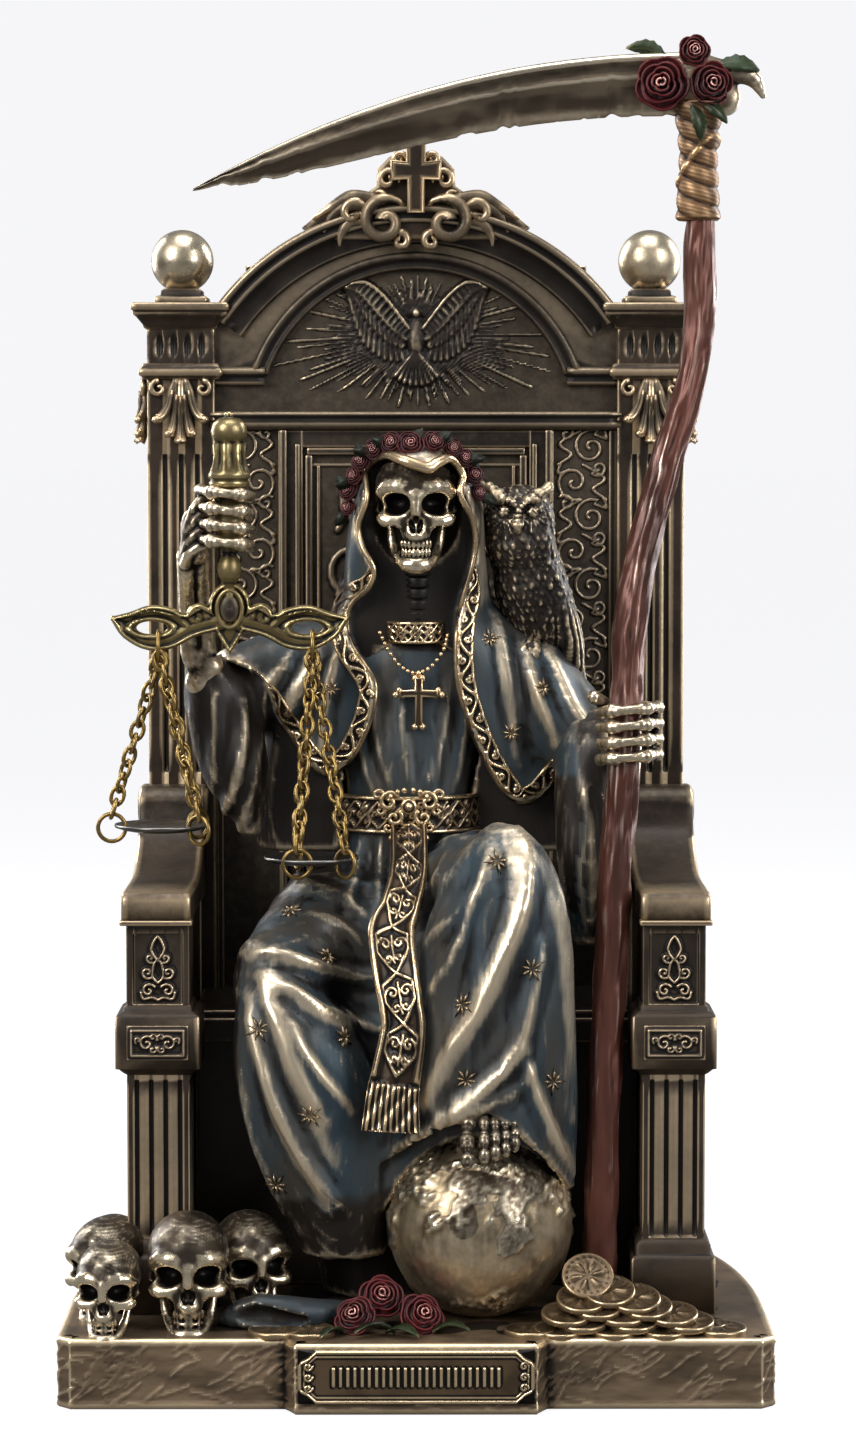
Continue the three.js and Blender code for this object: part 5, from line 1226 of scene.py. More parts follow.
def crest():
    """The crest on the arch: scrolls, leaves and a cross."""
    top = 257.0
    rise = [(26, -5.2), (22, -2), (17, -0.4), (12, 2.0), (9.0, 4.2), (8.8, 8.0), (6.0, 10.8), (2.6, 11.8)]
    outline = np.array([*rise, *[(-x, z) for x, z in reversed(rise)], (-20, -8), (20, -8)]) + (0, top)
    parts = [prism(outline, BOARD_FACE - 2.6, BOARD_FACE + 7, edge=0.7)]
    y = BOARD_FACE - 4.0

    def scroll(x, z, r, start, turns, hand, thick, level=0.0):
        curve = spiral(x, z, r, start, turns, hand, 26, 0.12)
        width = np.interp(np.linspace(0, 1, 26), [0, 0.15, 0.8, 1], [0.35, 1, 0.8, 1.25]) * thick
        return tube(upright(curve, y + level), np.stack([width * 1.2, width], 1), 8)

    def blade_leaf(points, thick):
        width = np.interp(np.linspace(0, 1, 12), [0, 0.4, 1], [0.7, 1, 0.2]) * thick
        path = smooth_path([(x, y + 0.8, z + top) for x, z in points], 12)
        return tube(path, np.stack([width * 0.8, width], 1), 7)

    for s in (-1, 1):
        parts += [
            scroll(s * 7.0, top - 4.0, 5.9, by_side(2.5, s), 1.3, -s, 1.5),
            scroll(s * 3.6, top - 8.4, 2.4, by_side(0.6, s), 1.1, s, 1.0, 0.6),
            scroll(s * 14.4, top - 2.2, 3.4, by_side(2.9, s), 0.9, -s, 1.2, 0.5),
            scroll(s * 6.4, top + 5.4, 2.7, by_side(3.4, s), 1.2, -s, 0.8),
            scroll(s * 8.2, top + 1.2, 1.8, by_side(1.0, s), 1.1, s, 0.6),
            scroll(s * 3.9, top + 10.0, 1.9, by_side(3.6, s), 1.1, -s, 0.65),
            blade_leaf([(s * 9, 1.2), (s * 14, 1.6), (s * 18, 0.2), (s * 23.5, -3.4)], 1.8),
            blade_leaf([(s * 10, -1), (s * 15, -0.2), (s * 19, -2.6), (s * 21, -6.4)], 1.5),
            blade_leaf([(s * 12, -4), (s * 15.4, -4.4), (s * 17.2, -7.2), (s * 17.4, -9.6)], 1.3),
        ]
    cross = np.array([(1.7, -2), (1.7, 5.6), (5.4, 5.4), (5.6, 9.6), (1.9, 9.2), (2.1, 15.0), (-2.1, 15.0),
                      (-1.9, 9.2), (-5.6, 9.6), (-5.4, 5.4), (-1.7, 5.6), (-1.7, -2)]) + (0, top)
    parts.append(prism(cross, y - 1.9, y + 1.5, edge=0.45))
    parts.append(prism(offset(cross, 0.75), y - 1.4, y - 0.2, edge=0.3))
    rim = np.concatenate([cross, cross[:1]])
    parts.append(tube(upright(rim, y - 1.9)[:-1], 0.38, 6, closed=True))
    return parts


def throne():
    """The throne's pieces: its frame with the seat, both sides, the dove, the panels and the crest."""
    half = ARM_X - ARM_HALF + 0.5
    seat = [
        block((-half, 2, FOOT), (half, SUNK, SEAT_TOP), 0.6),
        block((-half, 0, SEAT_TOP - 7), (half, SUNK, SEAT_TOP - 1.5), 0.6),
    ]
    add("throne_frame", merged([*board(), *arches(), *seat]), dark_bronze, "throne", sculpted=False)
    for s, side in ((-1, "left"), (1, "right")):
        add(f"throne_{side}_pillar", merged(pillar(s)), bronze, "throne", sculpted=False)
        add(f"throne_{side}_ball", ball(s), globe_metal, "throne", sculpted=False)
        add(f"throne_{side}_arm", merged(arm(s)), bronze, "throne", sculpted=False)
        add(f"throne_{side}_post", merged(fluted_post(s)), post_bronze, "throne", sculpted=False)
    add("throne_dove", tympanum(), feather_metal, "throne")
    add("throne_panels", merged(panels()), dark_bronze, "throne")
    add("throne_crest", merged(crest()), bronze, "throne")


throne()

# Plinth

PLINTH_HIGH = 15.0


def plinth_outline():
    """The plinth's outline from the middle of its front, running to the right and all round."""
    half, front, back, out = 76.0, -50.0, 56.0, 4.7
    corners = [(0, front - out), (28 - out / 2, front - out), (28, front), (half - 3, front),
               (half, front + 3), (half, -10)]
    t = np.linspace(0, 1, 12)[1:, None]
    p, q, r = np.array([[half, -10], [half - 1, 39.2], [58, back]])
    curve = (1 - t) ** 2 * p + 2 * t * (1 - t) * q + t**2 * r
    right = np.concatenate([corners, curve])
    left = np.stack([-right[::-1, 0], right[::-1, 1]], 1)[:-1]
    line = np.concatenate([right, left])
    steps = []
    for a, b in zip(line, np.roll(line, -1, 0)):
        n = max(1, int(np.linalg.norm(b - a) / (0.6 * COARSE)))
        steps.append(a + (b - a) * (np.arange(n) / n)[:, None])
    return np.concatenate(steps)


def plinth():
    """The slab: scratched sides under a worn top edge, and a flat top; the rough ground on it is made by
    ground().
    """
    outline = plinth_outline()
    middle = offset(outline, 1.0)
    inward = unit(middle - outline)
    z = np.concatenate([[0, 0.15, 0.5, 1.0], np.arange(1.6, 13.6, 0.53 * COARSE), [13.9, 14.4, 14.8, 15.0]])
    inset = np.interp(z, [0, 0.5, 1.2, 13.8, 14.5, 15.0], [0.9, 0.3, 0.15, 0.15, 0.35, 1.1])
    run = run_of(outline)
    scratches = 520
    v, u = np.meshgrid(z, run, indexing="ij")
    maker = np.random.default_rng(5)
    lines = []
    for _ in range(scratches):
        start = np.array([maker.uniform(0, run[-1]), maker.uniform(1.5, 13)])
        angle = maker.normal(0.6, 0.2) * maker.choice([1, 1, 1, 1, -0.5])
        long = maker.uniform(3, 9)
        t = np.linspace(0, 1, 6)[:, None]
        bend = maker.normal(0, 0.3)
        heading = np.array([math.cos(angle), math.sin(angle)])
        side = np.array([-heading[1], heading[0]])
        lines.append(start + heading * long * t + side * bend * t * (1 - t) * 4)
    scratch = strokes(u, v, lines, 0.4, 0.24)
    wall = np.stack([np.broadcast_to(outline[:, 0], u.shape), np.broadcast_to(outline[:, 1], u.shape), v], -1)
    rough = noise(wall.reshape(-1, 3), (7, 7, 3), 3).reshape(u.shape)
    fade = np.clip(np.minimum(v - 0.8, 14.2 - v) / 1.2, 0, 1)
    push = inset[:, None] + fade * (0.3 + 0.3 * (1 - rough) * 0.5 - scratch)
    wall[..., :2] += inward[None] * push[..., None]
    rings = list(wall)
    for r in (2.2, 3.6):
        ring = wall[-1].copy()
        ring[:, :2] = outline + inward * r
        rings.append(ring)
    points = np.concatenate(rings)
    rows, cols = len(rings), len(outline)
    cap = np.array(tessellate_polygon([[Vector(p) for p in rings[-1]]]))
    floor = np.array(tessellate_polygon([[Vector(p) for p in rings[0]]]))
    faces = np.concatenate([grid_faces(rows, cols, False, True), cap + (rows - 1) * cols, floor[:, ::-1]])
    return points, faces


def ground():
    """Uneven ground inside the plinth's edge."""
    wide, deep = 138, 60

    def height(u, v):
        p = np.stack([u, v, 0 * u], -1).reshape(-1, 3)
        bumps = noise(p, 9, 11, 4).reshape(u.shape)
        border = np.minimum(np.minimum(u, wide - u), np.minimum(v, deep - v))
        return 0.45 * bumps * np.clip(border / 4, 0, 1) - 0.05

    return plate((-wide / 2, -47, PLINTH_HIGH), (1, 0, 0), (0, 1, 0), (wide, deep), 1.0, height, 0.6)


add("plinth_slab", plinth(), brushed_bronze, "plinth")
add("plinth_ground", ground(), dark_bronze, "plinth")


def name_plate():
    """A plate with a raised double rim, curled ends and a row of plain strokes."""
    low, high = node_box("name_plate")
    wide, tall = high[0] - low[0], high[2] - low[2]
    face = low[1] + 0.55
    end = tall * 0.34

    def height(u, v):
        x, z = np.abs(u - wide / 2), np.abs(v - tall / 2)
        shoulder = np.interp(x, [wide / 2 - end, wide / 2 - 0.55 * end, wide / 2 - 0.18 * end, wide / 2],
                             [tall / 2, tall * 0.36, tall * 0.3, tall * 0.2])
        inside = np.minimum(shoulder - z, wide / 2 - x)
        rim = np.clip(1 - (np.abs(inside - 0.45) / 0.4) ** 2, 0, 1)
        second = np.clip(1 - (np.abs(inside - 1.35) / 0.25) ** 2, 0, 1)
        out = 0.5 * np.sqrt(rim) + 0.2 * np.sqrt(second)
        curls = []
        for s in (-1, 1):
            for dz in (-2.3, 0, 2.3):
                curls.append(spiral(wide / 2 + s * (wide / 2 - 2.2), tall / 2 + dz, 0.95, 0, 1.2, s, 12))
        out = np.maximum(out, strokes(u, v, curls, 0.26, 0.4))
        count, gap, reach = 24, 1.5, 1.8
        marks = []
        for i in range(count):
            x0 = wide / 2 + (i - (count - 1) / 2) * gap
            marks.append(np.array([(x0, tall / 2 - reach), (x0, tall / 2 + reach)]))
        out = np.maximum(out, strokes(u, v, marks, 0.36, 0.42))
        return np.where(inside > 0, out, -0.55)

    return front_plate((low[0], face, low[2]), (wide, tall), 0.2, height, 0.4)


add("name_plate_relief", name_plate(), plate_metal, "name_plate")


def skull_field():
    """A skull that looks along -y, its middle at the bridge of the nose, about 18 wide."""
    head = union(3.0, egg((0, 2.2, 3.4), (8.9, 10.6, 8.4)), egg((0, -2.4, 2.6), (7.9, 7.4, 7.6)))
    brow = union(1.2, *[bent([(s * 0.8, -8.9, 2.4), (s * 3.8, -8.7, 3.6), (s * 6.8, -6.9, 3.2),
                              (s * 8.2, -4.6, 0.8)],
                             [1.2, 1.5, 1.3, 1.0], 6) for s in (-1, 1)])
    cheek = union(1.0, *[bent([(s * 4.4, -7.4, -4.2), (s * 6.6, -7.0, -3.9), (s * 8.0, -5.0, -2.8),
                               (s * 8.4, -1.4, -2.0)],
                              [1.5, 1.6, 1.2, 0.8], 6) for s in (-1, 1)])
    upper = union(1.4, egg((0, -6.4, -6.6), (3.2, 3.8, 3.4)), egg((0, -5.0, -3.0), (5.0, 4.4, 4.0)))
    bridge = bent([(0, -9.6, 1.4), (0, -10.4, -0.8), (0, -10.7, -2.6)], [1.15, 0.9, 0.65], 4)
    jaw = union(1.2, bent([(-5.8, 0.8, -3.8), (-4.9, -2.4, -9.6), (-2.9, -7.2, -13.2), (0, -8.6, -13.7),
                           (2.9, -7.2, -13.2), (4.9, -2.4, -9.6), (5.8, 0.8, -3.8)],
                          [0.9, 1.1, 1.4, 1.7, 1.4, 1.1, 0.9], 14), egg((0, -8.2, -13.4), (3.2, 1.7, 1.7)))
    gums = egg((0, -6.0, -10.0), (2.9, 2.7, 2.8))
    field = union(2.2, head, brow, upper, bridge, cheek)
    field = union(0.8, field, jaw, gums)
    for s in (-1, 1):
        field = carved(field, egg((s * 4.5, -9.0, -0.2), (3.45, 4.8, 2.5), (0, s * 0.12, s * 0.12)), 0.4)
        field = carved(field, egg((s * 9.0, -4.0, -0.8), (1.5, 2.8, 2.6)), 1.2)
        field = carved(field, egg((s * 0.85, -10.8, -4.9), (0.85, 2.8, 1.75), (0, s * 0.24, 0)), 0.3)
        field = carved(field, egg((s * 5.1, -6.6, -7.8), (1.7, 3.6, 3.2)), 0.9)
        field = carved(field, bone([(s * 0.9, -11, 3.6), (s * 0.5, -10.8, 5.2)], [0.3, 0.25]), 0.4)
    field = carved(field, egg((0, -10.6, -3.7), (0.8, 2.4, 1.3)), 0.3)
    field = carved(field, bone([(-4, -9.6, -9.8), (4, -9.6, -9.8)], [0.3, 0.3]), 0.3)
    teeth = []
    for i in range(8):
        a = (i - 3.5) * 0.27
        x, y = 3.7 * math.sin(a), -5.3 - 4.0 * math.cos(a)
        teeth.append(egg((x, y, -8.9), (0.5, 0.5, 0.95), (0, 0, a)))
        teeth.append(egg((x * 0.94, y + 0.12, -10.8), (0.46, 0.48, 0.9), (0, 0, a)))
    return union(0.25, field, *teeth)


SKULL, SMALL_SKULL = (skinned(skull_field(), (-10.5, -13.2, -15.6), (10.5, 14.4, 13), step)
                      for step in (0.4, 0.68))


def worn_skull(shape, seed):
    """The skull with a rough surface."""
    return pushed(shape, lambda p, n: 0.13 * noise(p, 2.8, seed) + 0.03 * noise(p, 0.9, seed + 1, 2))


def plinth_skulls():
    """The skulls on the plinth, at [x, y, size, turn]."""
    rows = [(-48.5, -37, 0.96, 0.05), (-65, -42, 0.76, -0.1), (-66.7, -25, 0.84, -0.5),
            (-35.6, -23, 0.86, 0.3)]
    shapes = []
    for i, (x, y, size, turn) in enumerate(rows):
        place = (x, y, PLINTH_HIGH + 14 * size - 0.6)
        shapes.append(placed(worn_skull(SMALL_SKULL, 20 + i), place, (0.04, 0, turn), size))
    return merged(shapes)


add("plinth_skulls", plinth_skulls(), skull_metal, "plinth")


# A rose's rims of petals as [radius, petals, height], for a rose of radius 1
RIMS = ((0.17, 2, 0.5), (0.34, 3, 0.47), (0.54, 3, 0.4), (0.77, 4, 0.26), (1.0, 5, 0.08))


def rose(seed):
    """A rose of radius 1 that opens along +z, from its middle out over each rim and round its back."""
    maker = np.random.default_rng(seed)
    cols = 27
    angle = TAU * np.arange(cols) / cols
    rings = []

    def ring(radius, height):
        rings.append(level_ring(angle, radius, height))

    inner, low = 0.03 + 0 * angle, 0.3
    ring(0.4 * inner, low)
    for radius, petals, height in RIMS:
        share = (petals * angle / TAU + maker.uniform(0, 1)) % 1.0
        wave = np.sin(math.pi * share) ** 0.5
        edge = radius * (0.83 + 0.17 * wave) + 0.06 * (share - 0.5)
        top = height - 0.07 * (1 - wave) + 0.04 * np.sin(2 * angle + seed)
        ring(inner, low)
        ring(inner + 0.45 * (edge - inner), low + 0.15 * (top - low))
        ring(edge - 0.07, low + 0.75 * (top - low))
        ring(edge - 0.035, top)
        ring(edge + 0.01, top)
        ring(edge + 0.03, top - 0.06)
        inner, low = edge - 0.01, top - 0.3
    for share_out, height in ((0.95, -0.22), (0.7, -0.44), (0.3, -0.56), (0.02, -0.58)):
        ring(share_out * inner, height)
    return loft(rings)


ROSES = [rose(seed) for seed in range(4)]


def leaf_shape(length, wide, bend=0.18):
    """A pointed leaf along +x with a keel and a wavy edge."""
    t = np.linspace(0, 1, 11)
    rings = []
    for s in t:
        half = wide / 2 * math.sin(math.pi * min(s * 0.92 + 0.05, 1)) ** 0.8
        half = half * (1 + 0.12 * math.cos(s * 30)) + 0.02
        z = bend * length * math.sin(math.pi * s)
        rings.append([(s * length, -half, z + 0.25 * half), (s * length, -0.25 * half, z - 0.05),
                      (s * length, 0, z + 0.3), (s * length, 0.25 * half, z - 0.05),
                      (s * length, half, z + 0.25 * half), (s * length, 0, z - 0.5)])
    return loft(rings)


def leaves(rows):
    """Leaves at [length, width, place, turns]."""
    return merged([placed(leaf_shape(long, wide), place, euler) for long, wide, place, euler in rows])


def flowers(rows):
    """Roses at [x, y, z, radius, direction]."""
    return merged([
        placed(ROSES[i % 4], (x, y, z), facing(direction, i * 1.3), r)
        for i, (x, y, z, r, direction) in enumerate(rows)
    ])


add("plinth_roses", flowers([
    (-13, -43, 18.4, 4.6, (-0.3, -0.8, 0.7)),
    (-7.4, -38.0, 21.4, 4.9, (0.1, -0.8, 0.6)),
    (1.2, -43, 18.6, 5.0, (0.35, -0.8, 0.6)),
]), petal_paint, "plinth")
add("plinth_leaves", leaves([
    (9.5, 4.4, (-4.5, -46.0, 15.6), (0.2, -0.1, 3.6)),
    (8, 3.8, (-6.5, -46.2, 15.7), (0.1, 0, -0.5)),
    (8, 3.6, (3.5, -45.6, 15.7), (0.1, -0.1, -0.25)),
    (7, 3.4, (-15, -45.6, 15.6), (0.2, 0, 3.9)),
]), leaf_paint, "plinth")

GLOBE_MIDDLE = np.array([13.8, -25.0, 34.4])
GLOBE_R = 20.4


def globe():
    """A globe with rough raised land and brushed seas. Also gives which points are bare land."""
    rows, cols = int(108 / COARSE), int(172 / COARSE)
    t = np.linspace(0.01, math.pi - 0.01, rows)
    angle = TAU * np.arange(cols) / cols
    ball = np.stack([np.outer(np.sin(t), np.cos(angle)), np.outer(np.sin(t), np.sin(angle)),
                     np.outer(-np.cos(t), np.ones(cols))], -1)
    shape = loft(ball * (GLOBE_R - 0.5))
    n = unit(shape[0])
    land = noise(n, 0.62, 9, 4)
    flakes = np.exp(-np.sum((n - (0.34, -0.92, 0.16)) ** 2, 1) / 0.1)
    open_sea = np.exp(-np.sum((n - (-0.66, -0.72, -0.1)) ** 2, 1) / 0.22)
    shore = land + 0.4 * np.clip(n[:, 2] - 0.25, 0, 1) + 0.5 * flakes - 0.4 * open_sea
    coast = np.clip((shore - 0.06) / 0.07, 0, 1)
    away = np.linalg.norm((n - (-0.16, -0.96, 0.2)) * (1, 0.5, 0.62), axis=1)
    worn = np.clip(0.16 + 0.2 * land - away, 0, 1)
    plateau = np.clip((noise(n, 0.5, 31, 2) - 0.1) / 0.1, 0, 1)
    crags = np.abs(noise(n, 0.075, 4, 3))
    brushed = noise(n, (0.03, 0.03, 0.3), 12, 3)
    lift = coast * (0.3 + 2.2 * crags * (1 - 0.85 * plateau)) + (1 - coast) * 0.12 * brushed
    points = shape[0] + n * np.minimum(lift, 1.15)[:, None]
    return (points + GLOBE_MIDDLE, shape[1]), np.maximum(coast * plateau, np.clip(worn / 0.03, 0, 1))


GLOBE, GLOBE_TONE = globe()
add("plinth_globe", GLOBE, globe_metal, "plinth", tone=GLOBE_TONE)


def coin_shape(seed):
    """A worn coin with a raised rim and a plain rayed flower on each face."""
    thick = 1.0
    angle = TAU * np.arange(40) / 40
    r = 0.86 * np.array([0.01, 0.8, 1.6, 2.4, 3.2, 4.0, 4.7, 5.2, 5.5, 5.9, 6.3, 6.4])
    rays = 4 + seed % 3
    rings = []
    for sign in (1, -1):
        for radius_here in r if sign > 0 else r[::-1]:
            flower = 0.3 * np.clip(np.cos(rays * angle + seed) * 1.4, 0, 1) * (0.9 < radius_here < 3.8)
            bead = 0.2 * (np.cos(20 * angle) > 0) * (4.0 < radius_here < 4.6)
            level = thick / 2 * (1 if radius_here < 5.45 else 0.4) + 0.14 * (4.6 < radius_here < 5.45)
            z = sign * (level - 0.08 * (radius_here < 4.6) + flower + bead)
            rings.append(level_ring(angle, radius_here, z))
    return loft(rings)


def coins():
    """A pile in level layers against the globe and the post, and loose coins in front and to the right."""
    deck, thick = PLINTH_HIGH + 0.5, 1.5
    rows = [(61, -38.5, 0, 0), (24, -44.3, 0, 0), (64.4, -43.4, 0.1, 0.04), (-30, -44.4, 0, 0),
            (-22.5, -44.6, 0, 0.03), (36.4, -39.4, 10.6, 0.8)]
    layers = [(30.4, 41.6, 52.8), (35.0, 46.2, 57.2), (32.2, 43.4, 54.4), (38.0, 49.0), (35.4, 46.2), (40.8,)]
    for level, places in enumerate(layers):
        for i, x in enumerate(places):
            along = 0.3 * math.sin(2.6 * (level + i))
            rows.append((x + along, -44.2 + 0.65 * level, 0.2 + thick * level, 0.1 + 0.06 * level))
    return merged([
        placed(coin_shape(i), (x, y, deck + up), (tip, 0, 0)) for i, (x, y, up, tip) in enumerate(rows)
    ])


add("plinth_coins", coins(), coin_metal, "plinth", sculpted=False)


def robe_end():
    """The end of the robe, lying in a hollow fold on the plinth."""
    outer = bent([(-41, -37, 16.4), (-34, -40, 18.6), (-24, -39.5, 18.2), (-12, -32, 16.6)],
                 [1.6, 4.0, 3.4, 2.4], 9)
    inner = bent([(-42, -42, 17.0), (-34, -43.5, 18.6), (-24, -42.5, 17.2)], [1.2, 2.4, 1.2], 7)
    folded = carved(outer, inner, 0.7)
    cut_low = carved(folded, lambda p: p[:, 2] - (PLINTH_HIGH - 0.4), 0.2)
    shape = skinned(cut_low, (-46, -47, 14), (-8, -28, 25), 0.5)
    return pushed(shape, lambda p, n: 0.18 * noise(p, (6, 2, 3), 8))


add("plinth_robe_end", robe_end(), fold_paint, "plinth")

# Figure: the robe

# Fold lines seen from the front as [x, z], with how wide and how high each is
FOLDS = [
    ([(22.6, 120), (23.7, 113.6), (21.2, 101.3), (14.2, 85.8), (8.4, 75.9), (1.5, 63)], 2.0, 3.0),
    ([(15.6, 116), (12.4, 106.3), (8.6, 96.3), (2.2, 84)], 1.3, 1.7),
    ([(16.4, 108), (14.0, 99), (12.4, 88)], 1.1, 1.1),
    ([(9.0, 113), (4.0, 108), (-0.5, 103)], 1.2, 1.0),
    ([(12.0, 108), (6.0, 101), (1.0, 95)], 1.2, 1.1),
    ([(27.4, 118), (30.2, 106.1), (32.6, 90.5), (33.2, 73.8), (33.4, 52.6)], 1.6, 1.3),
    ([(26.8, 97), (25.2, 90), (23.4, 81), (20.6, 73), (13.6, 65.4), (5.0, 60.5)], 1.5, 2.2),
    ([(23.2, 74), (26.4, 62.8), (33.6, 46)], 1.3, 1.8),
    ([(23.6, 70), (20.4, 65.4), (12, 61.5), (2, 57), (-6, 50.5)], 1.2, 1.5),
    ([(29.4, 112), (31.0, 100), (31.4, 88)], 1.2, 0.6),
    ([(-37.4, 93.2), (-30.5, 94.2), (-24.5, 92.4), (-17.0, 89.0), (-11.0, 87.4), (-4, 87.6)], 1.2, 2.0),
    ([(-31.4, 88.4), (-26.0, 86.4), (-20.3, 82.0), (-13.5, 78.0), (-7.9, 76.4)], 1.3, 2.4),
    ([(-33.0, 89), (-29.8, 80.7), (-26.2, 72), (-22.4, 64.8), (-19.8, 60)], 1.8, 2.0),
    ([(-36.1, 85.0), (-34.0, 76), (-30.2, 64), (-25.4, 53), (-18.3, 39)], 1.4, 2.3),
    ([(-27.0, 82), (-24.6, 76.0), (-19.5, 68.2), (-13.7, 60.9)], 1.4, 1.8),
    ([(-37.6, 80), (-36.6, 66), (-33.6, 52), (-29, 38)], 1.3, 1.7),
    ([(-23, 51), (-18.6, 43.5), (-15, 39)], 1.1, 1.2),
    ([(-33, 103), (-27.1, 106.4), (-17.4, 104.4), (-9.7, 99.4)], 1.3, 1.5),
    ([(-25, 101.6), (-17, 99.4), (-10.5, 95)], 1.1, 1.1),
    ([(-20.4, 99.8), (-15.6, 97.4), (-10.8, 92.8)], 0.9, 0.8),
    ([(-50.4, 143), (-49.6, 132), (-47.4, 126), (-45.6, 118)], 1.2, 1.3),
    ([(-37.6, 146), (-38.0, 137.1), (-40.4, 126.0), (-44.6, 116.9)], 1.3, 1.9),
    ([(-43.6, 148), (-44.0, 136), (-45.2, 124)], 1.0, 0.9),
    ([(-33, 152), (-34, 140), (-37, 124), (-40, 112)], 1.2, 1.1),
    ([(37, 128), (38.6, 116), (38.2, 98)], 1.3, 1.3),
    ([(41, 126), (41.8, 114), (40.4, 102)], 1.0, 1.0),
    ([(-9.6, 150), (-8.4, 138), (-5.4, 126)], 0.9, 1.1),
    ([(-6.0, 142), (-5.2, 134), (-4.2, 126.5)], 0.8, 0.7),
    ([(-3.4, 149), (-2.8, 137), (-1.4, 126)], 0.9, 1.0),
    ([(4.0, 140), (3.2, 132), (1.6, 126)], 0.8, 0.8),
    ([(8.0, 152), (6.2, 139), (3.8, 126)], 0.9, 1.1),
    ([(11.6, 148), (10.4, 136), (8.0, 126)], 0.9, 1.1),
    ([(-12.6, 140), (-11.4, 132), (-9.4, 126)], 0.8, 0.9),
    ([(-12, 116), (-13.5, 108), (-15, 101)], 0.9, 1.1),
    ([(-7.6, 116), (-8.2, 108), (-8.6, 101)], 0.9, 1.0),
    ([(6.4, 116), (5.4, 110), (3.4, 104)], 0.8, 0.9),
]
BELT_Z = 121.0


def folds(p, n):
    """How far the robe's folds stand out."""
    x, z = p[:, 0], p[:, 2]
    front = np.clip(0.45 - n[:, 1] * 1.6, 0, 1)
    out = np.zeros(len(p))
    sway = 0.5 * noise(p, 9, 51, 2)
    for line, wide, high in FOLDS:
        out += ridge(x + sway, z - sway, line, wide, 0.85 * high) * front
    side = np.arctan2(x, -(p[:, 1] - 4))
    hang = np.sin(side * 15 + 1.6 * noise(p, (20, 20, 60), 2, 2))
    out += 0.7 * hang * (1 - front) * np.clip((150 - z) / 30, 0, 1)
    return out + 0.34 * noise(p, (3.2, 3.2, 16), 6, 3)


def robe_field():
    """The robe over the legs, the lap, the body and the sleeves, open over the foot and the globe."""
    far_leg = union(
        5,
        bone([(-8, 16, 92), (-20, -5, 94), (-29, -22, 88.5)], [15, 13.6, 10.2]),
        column([[28, -15.5, -23, 8.6, 8.4], [42, -18.4, -24, 12.6, 11], [56, -22, -25, 14.8, 12.6],
                [70, -25, -25.8, 14.2, 13.4], [84, -28.6, -25.4, 10.0, 11], [94, -30.4, -23, 4, 5]]),
    )
    near_leg = union(
        5,
        bone([(8, 14, 95), (13, -10, 105), (18, -26, 109)], [15, 13, 9.6]),
        column([[42, 14, -23, 20, 16.6], [62, 14.2, -25.4, 20.2, 15.4], [86, 16.2, -28, 17.2, 13],
                [104, 17.8, -29.2, 13.6, 11.2], [115, 18.6, -28.8, 9, 8], [120.6, 18.8, -28.5, 3, 3]]),
    )
    lap = column([[15.4, 0, -6, 20, 8], [60, -2, -8, 26, 13], [94, -3, -2, 28, 17], [106, -2, 6, 24, 15]])
    body = column([[95, -1, 12, 23, 16], [112, -1.6, 10, 15.6, 11.6], [125, -2, 9.5, 13.6, 11],
                   [140, -1, 11, 17.4, 11], [152, 0, 12, 19.6, 10.6], [163, 0, 11, 6.4, 7]])
    sleeves = union(
        3,
        bone([(-18, 13, 149), (-32, 9, 149), (-43, 5, 146)], [10.6, 9.6, 7.2]),
        column([[116, -36.4, 1, 1.8, 2.4], [130, -40, 1.6, 7.4, 6.8], [147, -43.6, 2, 7.2, 6.8],
                [156, -46.6, 0.6, 4.2, 4.4]]),
        bone([(18, 13, 149), (31, 11, 141.5), (40, 2, 132)], [10.6, 9.2, 7.6]),
        column([[93, 38, -5, 3.4, 2.8], [112, 38.2, -5.6, 6.8, 5.4], [134, 38.6, -1, 7.6, 8],
                [141, 38.4, 1, 5.6, 6.4], [146, 38, 3, 1, 1]]),
        bone([(37, 4, 134), (44, -7, 137)], [6, 4.6]),
    )
    whole = union(6, far_leg, near_leg, lap, body, sleeves)
    hem_x = [-60, -9, -8, -2, 6, 14.6, 20, 27, 33, 36, 37, 80]
    hem_z = [-5, -5, 48, 53, 59, 61.6, 58, 51, 42, 38, -5, -5]

    def under_hem(p):
        """Positive outside the room under the front hem, where the foot and the globe are."""
        level = np.interp(p[:, 0], hem_x, hem_z)
        return np.maximum((p[:, 2] - level) * 0.7, p[:, 1] + 30)

    field = carved(whole, under_hem, 0.6)
    field = carved(field, egg(GLOBE_MIDDLE, [GLOBE_R - 0.2] * 3), 0.4)

    def over_seat(p):
        """Positive outside the room for the seat and the board."""
        return np.maximum(np.maximum(1.8 - p[:, 1], p[:, 2] - SEAT_TOP - 0.2), -1.0)

    rod = bent([(42, -21.8, 90), (44.4, -19.4, 128), (45.2, -19, 142), (47, -16, 170)], [4.3, 4.3], 8)
    field = carved(field, over_seat, 0.3)
    field = carved(field, rod, 0.3)
    return carved(field, lambda p: p[:, 2] - (PLINTH_HIGH + 0.2), 0.3)


ROBE = pushed(skinned(robe_field(), (-54, -48, 14), (52, 34, 165), 1.03), folds)
